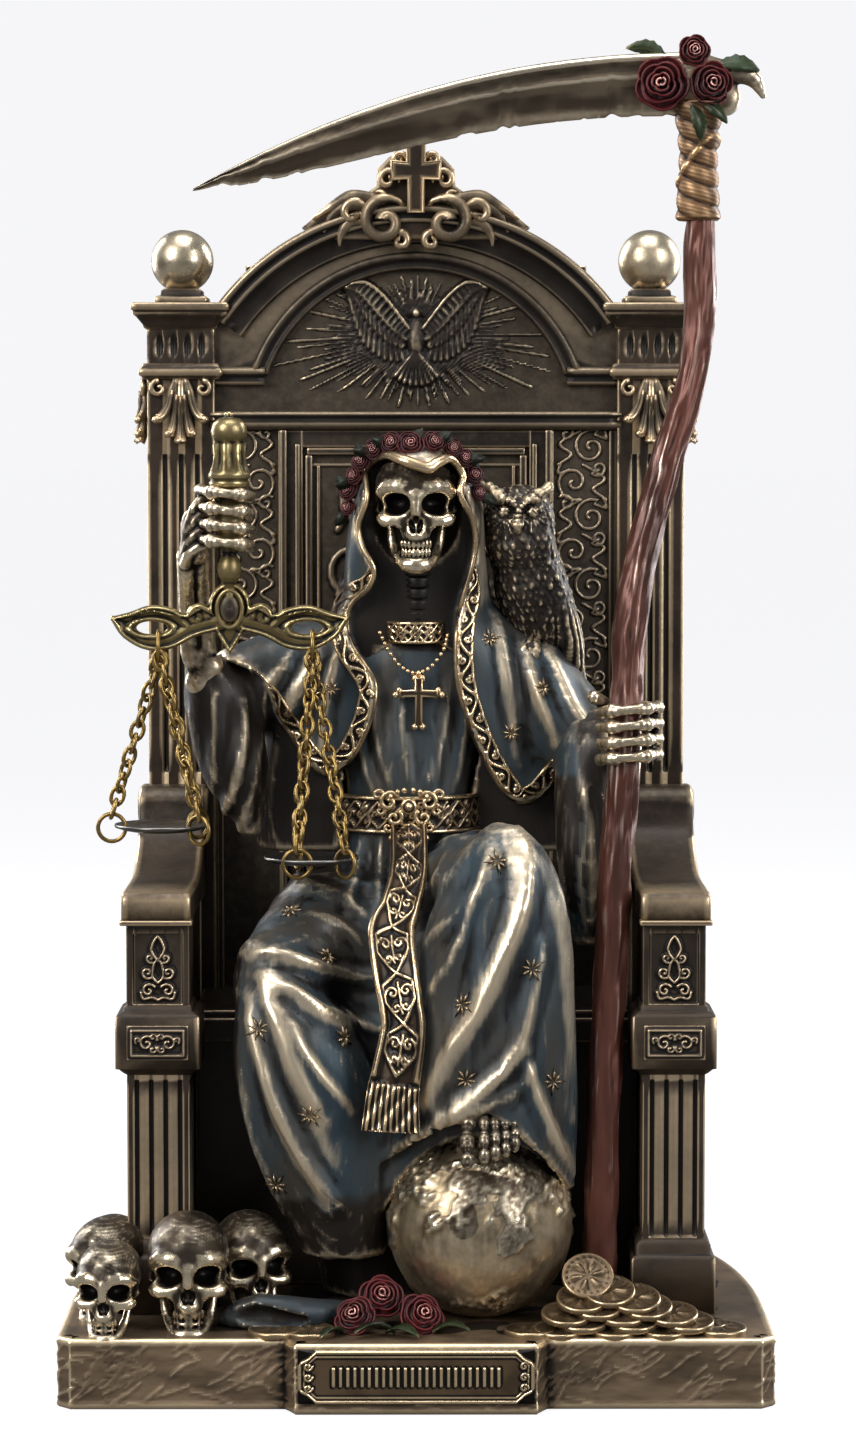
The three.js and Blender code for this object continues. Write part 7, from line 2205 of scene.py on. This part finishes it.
def owl():
    """An owl with ear tufts, a frowning brow and scaled plumage."""
    body = union(
        3,
        egg((26.0, 10.2, 170.0), (7.6, 7.6, 15.4), (0.12, -0.26, 0)),
        egg((22.8, 7.0, 186.4), (7.4, 6.6, 6.6)),
        egg((23.2, 7.4, 180.5), (6.8, 6.6, 6)),
    )
    wing = union(1.5, egg((31.8, 10.6, 165.5), (3.2, 5.8, 14.4), (0.1, -0.3, 0)),
                 egg((34.2, 14, 154), (2.2, 3.4, 9), (0.1, -0.3, 0)))
    tail = egg((34, 15.2, 151), (3.4, 1.9, 9.2), (0.1, -0.3, 0))
    brows = [bent([(22.4, 0.6, 187.6), (22.6 + s * 2.6, 0.9, 189.8), (22.6 + s * 6.6, 2.8, 192.9)],
                  [0.85, 1.15, 0.7], 6)
             for s in (-1, 1)]
    beak = bent([(22.4, 0.3, 186.8), (22.4, -1.0, 185.0), (22.4, -0.7, 183.2)], [0.8, 0.85, 0.3], 5)
    claws = [bent([(24 + 1.3 * i, 4.4, 158.6), (23.8 + 1.3 * i, 1.9, 157), (23.6 + 1.3 * i, 1.6, 154.6)],
                  [0.6, 0.5, 0.15], 5)
             for i in range(3)]
    field = union(1.0, body, wing, tail, *claws)
    field = union(0.5, field, *brows, beak)
    for s in (-1, 1):
        field = carved(field, egg((22.6 + s * 3.25, 0.0, 187.6), (2.7, 2.2, 2.3)), 0.5)
        field = union(0.3, field, egg((22.6 + s * 3.1, 2.0, 187.5), (1.3, 1.1, 1.3)))
    shape = skinned(field, (12, -4, 140), (42, 22, 196), 0.44)

    face_x, face_z = 22.4, 187

    def plumage(p, n):
        """Rows of rounded feathers, long quills low on the wing, and rays round the eyes."""
        around = np.arctan2(p[:, 0] - 25 - 0.2 * (170 - p[:, 2]), -(p[:, 1] - 9)) * 8.5
        z = p[:, 2] + 0.5 * noise(p, 3, 19, 1)
        best = np.zeros(len(p))
        pitch_z, pitch_u = 1.75, 1.65
        long = 1.8 * pitch_z
        for row_shift in (0, 1, 2):
            row = np.floor(z / pitch_z) + row_shift
            u = around / pitch_u + 0.5 * (row % 2)
            column_at = np.round(u)
            drop = row * pitch_z - z
            chance = mixed_bits(row.astype(np.int64), column_at.astype(np.int64), 0, 7)
            rounding = (np.clip(drop - 0.5 * long, 0, None) / (0.5 * long)) ** 2
            within = np.clip(1 - ((u - column_at) / 0.62) ** 2 - rounding, 0, 1)
            best = np.maximum(best, (0.45 + 0.55 * chance) * within**0.35
                              * np.clip(0.25 + 0.75 * drop / long, 0, 1))
        lower = np.clip((p[:, 0] - 29.5) / 2, 0, 1) * np.clip((168 - z) / 5, 0, 1)
        quills = 0.5 * np.abs(np.sin((p[:, 0] + p[:, 1] * 0.6 + z * 0.28) * 1.7))
        face = hill((p[:, 0] - face_x) / 6.5, (z - face_z) / 4.5) * (n[:, 1] < -0.2)
        rays = 0.3 * np.sin(np.arctan2(z - face_z, np.abs(p[:, 0] - face_x) - 3) * 18)
        scales = 1.15 * best * (1 - lower) + 1.5 * quills * lower
        return scales * (1 - 0.9 * face) + rays * face * 0.8 + 0.28 * noise(p, 1.1, 2)

    return pushed(shape, plumage)


add("owl", owl(), feather_metal, "figure")

# Scythe

BLADE_Y = -8.4
BLADE_ROOT, BLADE_TIP = 60, -48.2
SHAFT = [(39.6, -23, 15.4), (40.4, -23, 60), (42.2, -21.6, 95), (44.4, -19.4, 128), (45.2, -19, 142),
         (47, -16, 170), (53.6, -12, 196), (60.6, -9, 222), (61.4, BLADE_Y, 250), (60.8, BLADE_Y, 277)]


def shaft():
    """A bent wooden shaft with long uneven grooves."""
    rows, cols = int(320 / COARSE), 32
    path = smooth_path(SHAFT, rows)
    along = unit(np.gradient(path, axis=0))
    side = unit(np.array([1.0, 0, 0]) - along * along[:, :1])
    other = np.cross(along, side)
    angle = TAU * np.arange(cols) / cols
    t = np.linspace(0, 1, rows)
    aa, zz = np.meshgrid(angle, path[:, 2], indexing="xy")
    swirl = aa + 0.012 * zz
    ring = np.stack([3 * np.cos(swirl), 3 * np.sin(swirl), zz], -1).reshape(-1, 3)
    grooves = noise(ring, (1.1, 1.1, 34), 41, 3).reshape(rows, cols)
    deep = np.clip(np.abs(grooves) * 3, 0, 1)
    knots = 0.35 * noise(ring, (3, 3, 9), 8, 2).reshape(rows, cols)
    radius = (4.05 - 0.5 * t)[:, None] + 0.8 * (deep - 1) + knots
    rings = path[:, None] + side[:, None] * (radius * np.cos(angle))[..., None] + other[:, None] * (
        radius * np.sin(angle))[..., None]
    return loft(rings)


def blade_top(t):
    """How high the blade's back is, from the socket at 0 to the tip at 1."""
    return 286.6 - 29.2 * t**2.1


def blade_tall(t):
    """How tall the blade is, from the socket at 0 to the tip at 1."""
    return (13.2 - 2.6 * t) * (1 - t**5) + 0.5


def blade():
    """A long curved blade with a ridge near its back and a chipped edge."""
    rows = int(360 / COARSE)
    t = np.linspace(0, 1, rows)
    x = BLADE_ROOT + (BLADE_TIP - BLADE_ROOT) * t
    top, tall = blade_top(t), blade_tall(t)
    half = 1.6 * (1 - 0.7 * t)
    spots = np.stack([x, np.zeros(rows), np.zeros(rows)], 1)
    chips = np.clip(noise(spots, 3.0, 77, 2) - 0.25, 0, 1) * 1.5
    chips = chips + np.clip(noise(spots, 11, 5, 1) - 0.35, 0, 1) * 1.6
    down = np.array([0, 0.05, 0.1, 0.14, 0.2, 0.28, 0.33, 0.38, 0.43, 0.55, 0.75, 0.92, 1])
    thick = np.interp(down, [0, 0.05, 0.1, 0.15, 0.22, 0.3, 0.36, 0.43, 0.5, 0.92, 1],
                      [0.35, 0.95, 1.0, 0.66, 0.55, 0.66, 1.0, 0.8, 0.5, 0.28, 0.05])
    rings = []
    for i in range(rows):
        low = tall[i] - np.minimum(chips[i], tall[i] * 0.3) * np.clip(tall[i] / 3, 0, 1)
        z = top[i] - low * down
        front, rear = ([(x[i], BLADE_Y + s * half[i] * w, zz) for w, zz in zip(thick, z)] for s in (-1, 1))
        rings.append(front + rear[::-1])
    shape = loft(rings)
    return pushed(shape, lambda p, n: 0.12 * noise(p, (5, 3, 1.2), 14, 3) * np.abs(n[:, 1]))


def blade_tone(p):
    """Dark stains between the blade's ridge and its edge."""
    t = np.clip((BLADE_ROOT - p[:, 0]) / (BLADE_ROOT - BLADE_TIP), 0, 1)
    share = (blade_top(t) - p[:, 2]) / blade_tall(t)
    stain = 0.62 + 0.9 * noise(p, (13, 6, 3), 9, 3)
    return np.clip(stain, 0, 1) * np.clip((share - 0.4) / 0.1, 0, 1) * np.clip((1.0 - share) / 0.2, 0, 1)


def head():
    """The socket and the spur behind the blade, and the turns of wrap under it."""
    socket = skinned(
        union(1.6, egg((60.4, BLADE_Y, 280), (7.2, 4.6, 6.6)),
              bent([(62, BLADE_Y, 281.6), (68.6, BLADE_Y, 282.6), (72.8, BLADE_Y, 281.0),
                    (74.9, BLADE_Y, 277.4)],
                   [3.0, 2.6, 1.9, 0.7], 8), egg((67.6, BLADE_Y, 276.4), (2.4, 2, 3.4), (0, 0.3, 0))),
        (51, -15, 271), (76.2, -2, 288.5), 0.5)
    rows, cols = 110, 56
    z = np.linspace(250.6, 275.8, rows)
    angle = TAU * np.arange(cols) / cols
    zz, aa = np.meshgrid(z, angle, indexing="ij")
    core = np.interp(z, [250.6, 251.2, 256, 264, 270, 275.8], [4.0, 4.6, 4.3, 3.9, 4.3, 5.5])[:, None]
    lap = np.abs(np.sin(math.pi * (zz / 4.1 + aa / TAU + 0.3 * np.sin(aa + 2.4)))) ** 0.5
    over = hill((zz - 263 - 5.5 * np.cos(aa + 0.6)) / 1.1)
    radius = core + 0.7 * lap - 0.35 + 0.45 * over + 0.03 * np.sin(zz * 7 + 8 * aa)
    wrap = loft(np.stack([61 + radius * np.cos(aa), BLADE_Y + radius * np.sin(aa), zz], -1))
    return socket, wrap


SOCKET, WRAP = head()
add("scythe_shaft", shaft(), shaft_paint, "scythe")
BLADE = blade()
add("scythe_blade", BLADE, blade_metal, "scythe", tone=blade_tone(BLADE[0]))
add("scythe_socket", SOCKET, blade_metal, "scythe")
add("scythe_wrap", WRAP, wrap_metal, "scythe")
add("scythe_roses", flowers([
    (52.8, -12.8, 279.6, 5.9, (-0.15, -1, 0.05)),
    (63.4, -13.2, 279.6, 4.8, (0.2, -1, 0.05)),
    (59.8, -12.0, 286.7, 3.5, (0.05, -1, 0.12)),
    (58.0, -4.0, 281.4, 5.2, (0, 1, 0.2)),
]), petal_paint, "scythe")
add("scythe_leaves", leaves([
    (9, 4, (54, -9.4, 285.4), (0.9, -0.25, 3.0)),
    (9.5, 4, (64.6, -10.4, 283.6), (1.1, 0.1, 0.1)),
    (8, 3.4, (59.0, -13.6, 275.0), (1.2, 1.3, 0)),
    (7, 3, (61.5, -12.8, 275.6), (1.2, 0.7, 0)),
]), leaf_paint, "scythe")

# Scales

BEAM_Z = 164.2


def beam():
    """The beam: a flat casting with scrolled ends, an eye in each arm and a pointed medallion."""
    x0, y0 = HANDLE

    def flat(curve, thick):
        path = smooth_path(curve, 20)
        r = np.interp(np.linspace(0, 1, 20), np.linspace(0, 1, len(thick)), thick)
        return path, r

    lines = []
    for s in (-1, 1):
        lines.append(flat([(s * 2.5, -0.6), (s * 8, -2.0), (s * 13, -4.6), (s * 18, -5.0), (s * 22.5, -2.6),
                           (s * 25.4, 0.6)], [1.5, 1.6, 1.5, 1.3, 1.2, 0.5]))
        lines.append(flat([(s * 8.8, -1.4), (s * 12, 1.4), (s * 17, 2.4), (s * 21.6, 1.0), (s * 25.2, 0.6)],
                          [0.8, 1.1, 1.0, 0.9, 0.4]))
        lines.append((spiral(s * 7.2, 1.0, 2.1, math.pi * (0.0 if s < 0 else 1.0), 1.15, -s, 18, 0.3),
                      np.linspace(0.9, 0.7, 18)))
        lines.append(flat([(s * 9.4, 0.6), (s * 7.0, 3.0), (s * 4.6, 2.6)], [0.7, 0.8, 0.6]))

    def field(p):
        x, z = p[:, 0] - x0, p[:, 2] - BEAM_Z
        best = np.hypot(x / 4.6, (z - 2.8) / 5.6) * 4.6 - 4.6
        best = np.minimum(best, np.maximum(np.abs(x) - 0.6 * (z + 7.4), z))
        out = np.abs(x)
        high = np.interp(out, [2.5, 6, 9, 12.5, 17, 21.6, 25.6], [1.5, 3.4, 1.6, 1.9, 3.0, 1.9, 0.9])
        low = np.interp(out, [2.5, 8, 13, 18, 22.5, 25.6], [-2.0, -3.3, -5.7, -5.9, -3.6, 0.5])
        eye = 1.4 - np.hypot((out - 16.9) * 0.42, z + 1.5)
        best = np.minimum(best, np.maximum.reduce([z - high, low - z, eye, out - 25.6]))
        inlay = np.full(len(p), 9.0)
        for path, r in lines:
            for a, b, ra, rb in zip(path[:-1], path[1:], r[:-1], r[1:]):
                d = b - a
                t = np.clip(((x - a[0]) * d[0] + (z - a[1]) * d[1]) / max(d @ d, 1e-9), 0, 1)
                away = np.hypot(x - a[0] - t * d[0], z - a[1] - t * d[1]) - (ra + (rb - ra) * t)
                inlay = np.minimum(inlay, away)
        best = np.minimum(best, np.maximum(inlay, eye))
        rim = hill((best + 0.55) / 0.3)
        deep = np.abs(p[:, 1] - y0) - 0.35 - 0.65 * rim - 0.6 * np.clip(0.2 - inlay, 0, 1) ** 0.5
        return np.maximum(best, deep)

    plate_shape = skinned(field, (x0 - 27, y0 - 2, BEAM_Z - 8), (x0 + 27, y0 + 2, BEAM_Z + 9), 0.36)
    rim = ring_link((x0, y0 - 1.0, BEAM_Z + 2.6), (0, 1, 0), (0, 0, 1), 5.4, 8.0, 0.5, 26, 8)
    stone = placed(lathe([(0.01, -0.3), (1, 0), (0.85, 0.5), (0.5, 0.8), (0.01, 0.9)], 22),
                   (x0, y0 - 0.8, BEAM_Z + 2.6), (math.pi / 2, 0, 0))
    squeezed = stone[0].copy()
    squeezed[:, 0] = x0 + (squeezed[:, 0] - x0) * 2.1
    squeezed[:, 2] = BEAM_Z + 2.6 + (squeezed[:, 2] - BEAM_Z - 2.6) * 3.1
    return merged([plate_shape, rim]), (squeezed, stone[1])


def handle():
    """A turned handle: a knop, a faceted swell and a collar, and a faceted stem into the beam."""
    profile = [(0.01, 209.5), (0.8, 209.3), (1.1, 208.8), (0.8, 208.3), (2.4, 207.9), (3.6, 206.8),
               (3.95, 205.2), (3.7, 203.7), (3.1, 202.8), (3.5, 202.2), (3.3, 200.4), (3.5, 198.4),
               (4.0, 196.9), (4.5, 196.1), (4.6, 195.3), (4.0, 194.7), (4.4, 194.1), (4.2, 193.3),
               (3.2, 192.6), (3.1, 186), (3.0, 182), (2.0, 180.8), (1.8, 179.4), (1.5, 178.6), (1.8, 178.0),
               (2.5, 176.6), (2.65, 175.2), (2.3, 173.6), (1.4, 172.4), (1.3, 170), (1.2, 168)]
    sides = 40
    angle = TAU * np.arange(sides) / sides
    rings = []
    for r, z in profile:
        facets = 1 + 0.08 * np.cos(7 * angle) * (196.5 < z < 203.0 or 178.8 < z < 181)
        rings.append(level_ring(angle, r * facets, z, HANDLE))
    return loft(rings)


BEAM, STONE = beam()
add("balance_beam", BEAM, brass, "balance")
add("balance_handle", handle(), brass, "balance", sculpted=False)
add("balance_stone", STONE, dark_bronze, "balance")

WIRE = 0.5
RING_R = 3.0
LINK_PITCH = 2.95
LINK_OVERLAP = 1.25
LINK_WIDE = 2.7
LINK_WIRE = 0.48
END_RING = 6.0
END_WIRE = 0.46
HOLE_R = 8.1
# Each side's name, eye, drop, place forward and to the right of the eye, its chains' turns and, on top of
# those, how far each end ring is turned
HANG = [
    ("left", -15.4, 45.0, 0.6, 0.5, (0.5, -0.11, 0.13), (0, 0, 0)),
    ("right", 18.0, 51.5, 6.0, -0.2, (-0.25, -0.13, 0.3), (-1.57, 0, 0)),
]


def pan(middle):
    """A thin spun dish with a rolled rim and a hole for each chain."""
    profile = [(0.01, -0.7), (6.7, -0.7), (8.5, -0.35), (10.2, 0.2), (10.3, 0.5), (10.25, 0.85), (10.0, 0.88),
               (8.4, 0.45), (6.7, 0.02), (4, 0.05), (0.01, 0.0)]
    return lathe(profile, 72, middle)


def chain(hook, foot_point, end_ring, outward_turn, name):
    """Twisted links between two points, and the ring that holds the pan."""
    along = foot_point - hook
    length = np.linalg.norm(along)
    u = along / length
    count = max(8, int(round(length / LINK_PITCH)))
    pitch = length / count
    links = []
    for i in range(count):
        a = math.pi / 2 + i * math.pi / 2 + 0.3 * i
        across = np.array([math.cos(a), math.sin(a), 0.25])
        middle = hook + along * (i + 0.5) / count
        links.append(ring_link(middle, across, u, LINK_WIDE, pitch + LINK_OVERLAP, LINK_WIRE))
    tangent = (-math.sin(outward_turn), math.cos(outward_turn), 0)
    links.append(ring_link(end_ring, tangent, (0, 0, 1), END_RING, END_RING, END_WIRE, 26, 8))
    add(f"{name}_links", merged(links), chain_brass, name, sculpted=False)


def hanging():
    """The rings in the beam's eyes, the chains and the pans."""
    beam_x, beam_y = HANDLE
    for side, eye, drop, forward, shift, spots, facing_turn in HANG:
        ring = np.array([beam_x + eye, beam_y, BEAM_Z - 3.0 + 0.8 - RING_R - 0.5])
        middle = np.array([ring[0] + shift, beam_y - forward, BEAM_Z - drop])
        hoop = ring_link(ring, (1, 0, 0), (0, 0, 1), 2 * RING_R, 2 * RING_R + 1, WIRE, 28, 9)
        add(f"{side}_hoop", hoop, chain_brass, f"{side}_hanging_ring")
        add(f"{side}_dish", pan(middle), pan_metal, f"{side}_pan")
        order = sorted(math.sin(turn * TAU) for turn in spots)
        for i, (turn, extra) in enumerate(zip(spots, facing_turn)):
            a = turn * TAU
            swing = (order.index(math.sin(a)) - 1) * 0.85
            hook = ring + (0, math.sin(swing) * RING_R, -math.cos(swing) * (RING_R + 0.5) + 1.0)
            hole = middle + (HOLE_R * math.cos(a), HOLE_R * math.sin(a), 0)
            outward_turn = a + extra
            end = hole + (2.8 * math.cos(outward_turn), 2.8 * math.sin(outward_turn), 0.0)
            chain(hook, end + (0, 0, 2.7), end, outward_turn, f"{side}_chain_{i + 1}")


hanging()

# Studio


def stage_floor():
    """A pale floor that looks lit to the camera and keeps its glow off the metal."""
    mesh = bpy.data.meshes.new("floor")
    size = 60.0
    corners = [(-size, -size, 0), (size, -size, 0), (size, size, 0), (-size, size, 0)]
    mesh.from_pydata(corners, [], [(0, 1, 2, 3)])
    floor = bpy.data.objects.new("floor", mesh)
    bpy.context.scene.collection.objects.link(floor)
    material = bpy.data.materials.new("pale_floor")
    material.use_nodes = True
    nodes, links = material.node_tree.nodes, material.node_tree.links
    shader = nodes["Principled BSDF"]
    shader.inputs["Base Color"].default_value = (0.16, 0.16, 0.16, 1)
    shader.inputs["Roughness"].default_value = 0.9
    shader.inputs["Specular IOR Level"].default_value = 0.1
    shader.inputs["Emission Color"].default_value = (0.92, 0.92, 0.94, 1)
    glow = nodes.new("ShaderNodeMath")
    glow.operation = "MULTIPLY"
    glow.inputs[1].default_value = 0.95
    ray = nodes.new("ShaderNodeLightPath")
    links.new(ray.outputs["Is Camera Ray"], glow.inputs[0])
    links.new(glow.outputs[0], shader.inputs["Emission Strength"])
    mesh.materials.append(material)


def soft_light(name, place, size, power, colour=(1, 1, 1)):
    """A softbox that faces the statuette's middle."""
    light = bpy.data.lights.new(name, "AREA")
    light.shape = "RECTANGLE"
    light.size, light.size_y = size
    light.energy = power
    light.color = colour
    lamp = bpy.data.objects.new(name, light)
    lamp.location = place
    lamp.rotation_euler = (Vector((0, 0, 0.15)) - Vector(place)).to_track_quat("-Z", "Y").to_euler()
    bpy.context.scene.collection.objects.link(lamp)


def studio():
    """A pale world behind a dim one that lights the metal, and five softboxes."""
    world = bpy.data.worlds.new("studio")
    world.use_nodes = True
    nodes, links = world.node_tree.nodes, world.node_tree.links
    seen, lit = nodes["Background"], nodes.new("ShaderNodeBackground")
    seen.inputs["Color"].default_value = (0.92, 0.92, 0.94, 1)
    lit.inputs["Color"].default_value = (0.2, 0.205, 0.215, 1)
    mix, ray = nodes.new("ShaderNodeMixShader"), nodes.new("ShaderNodeLightPath")
    links.new(ray.outputs["Is Camera Ray"], mix.inputs[0])
    links.new(lit.outputs[0], mix.inputs[1])
    links.new(seen.outputs[0], mix.inputs[2])
    links.new(mix.outputs[0], nodes["World Output"].inputs["Surface"])
    bpy.context.scene.world = world
    soft_light("key", (-0.75, -0.8, 0.75), (0.5, 0.7), 10.5, (1, 0.98, 0.95))
    soft_light("fill", (0.85, -0.75, 0.6), (0.45, 0.7), 6.6)
    soft_light("rim_left", (-0.7, 0.55, 0.45), (0.3, 0.8), 7.0)
    soft_light("rim_right", (0.75, 0.5, 0.4), (0.3, 0.8), 7.0)
    soft_light("top", (0, -0.1, 1.1), (0.6, 0.6), 5.5)


def camera():
    """A camera fitted to the statuette's view, its focal length in units of the picture's height."""
    data = bpy.data.cameras.new("camera")
    focal, height, sensor = 3773.0, 1453.0, 36.0
    pitch, roll = math.radians(90 - 4.112), math.atan(12 / focal)
    data.sensor_width = sensor
    data.lens = sensor * focal / height
    eye = bpy.data.objects.new("camera", data)
    eye.location = (0, -0.83, 0.2)
    eye.rotation_euler = (pitch, 0, -roll)
    bpy.context.scene.collection.objects.link(eye)
    bpy.context.scene.camera = eye


stage_floor()
studio()
camera()
bpy.context.scene.view_settings.view_transform = "Standard"
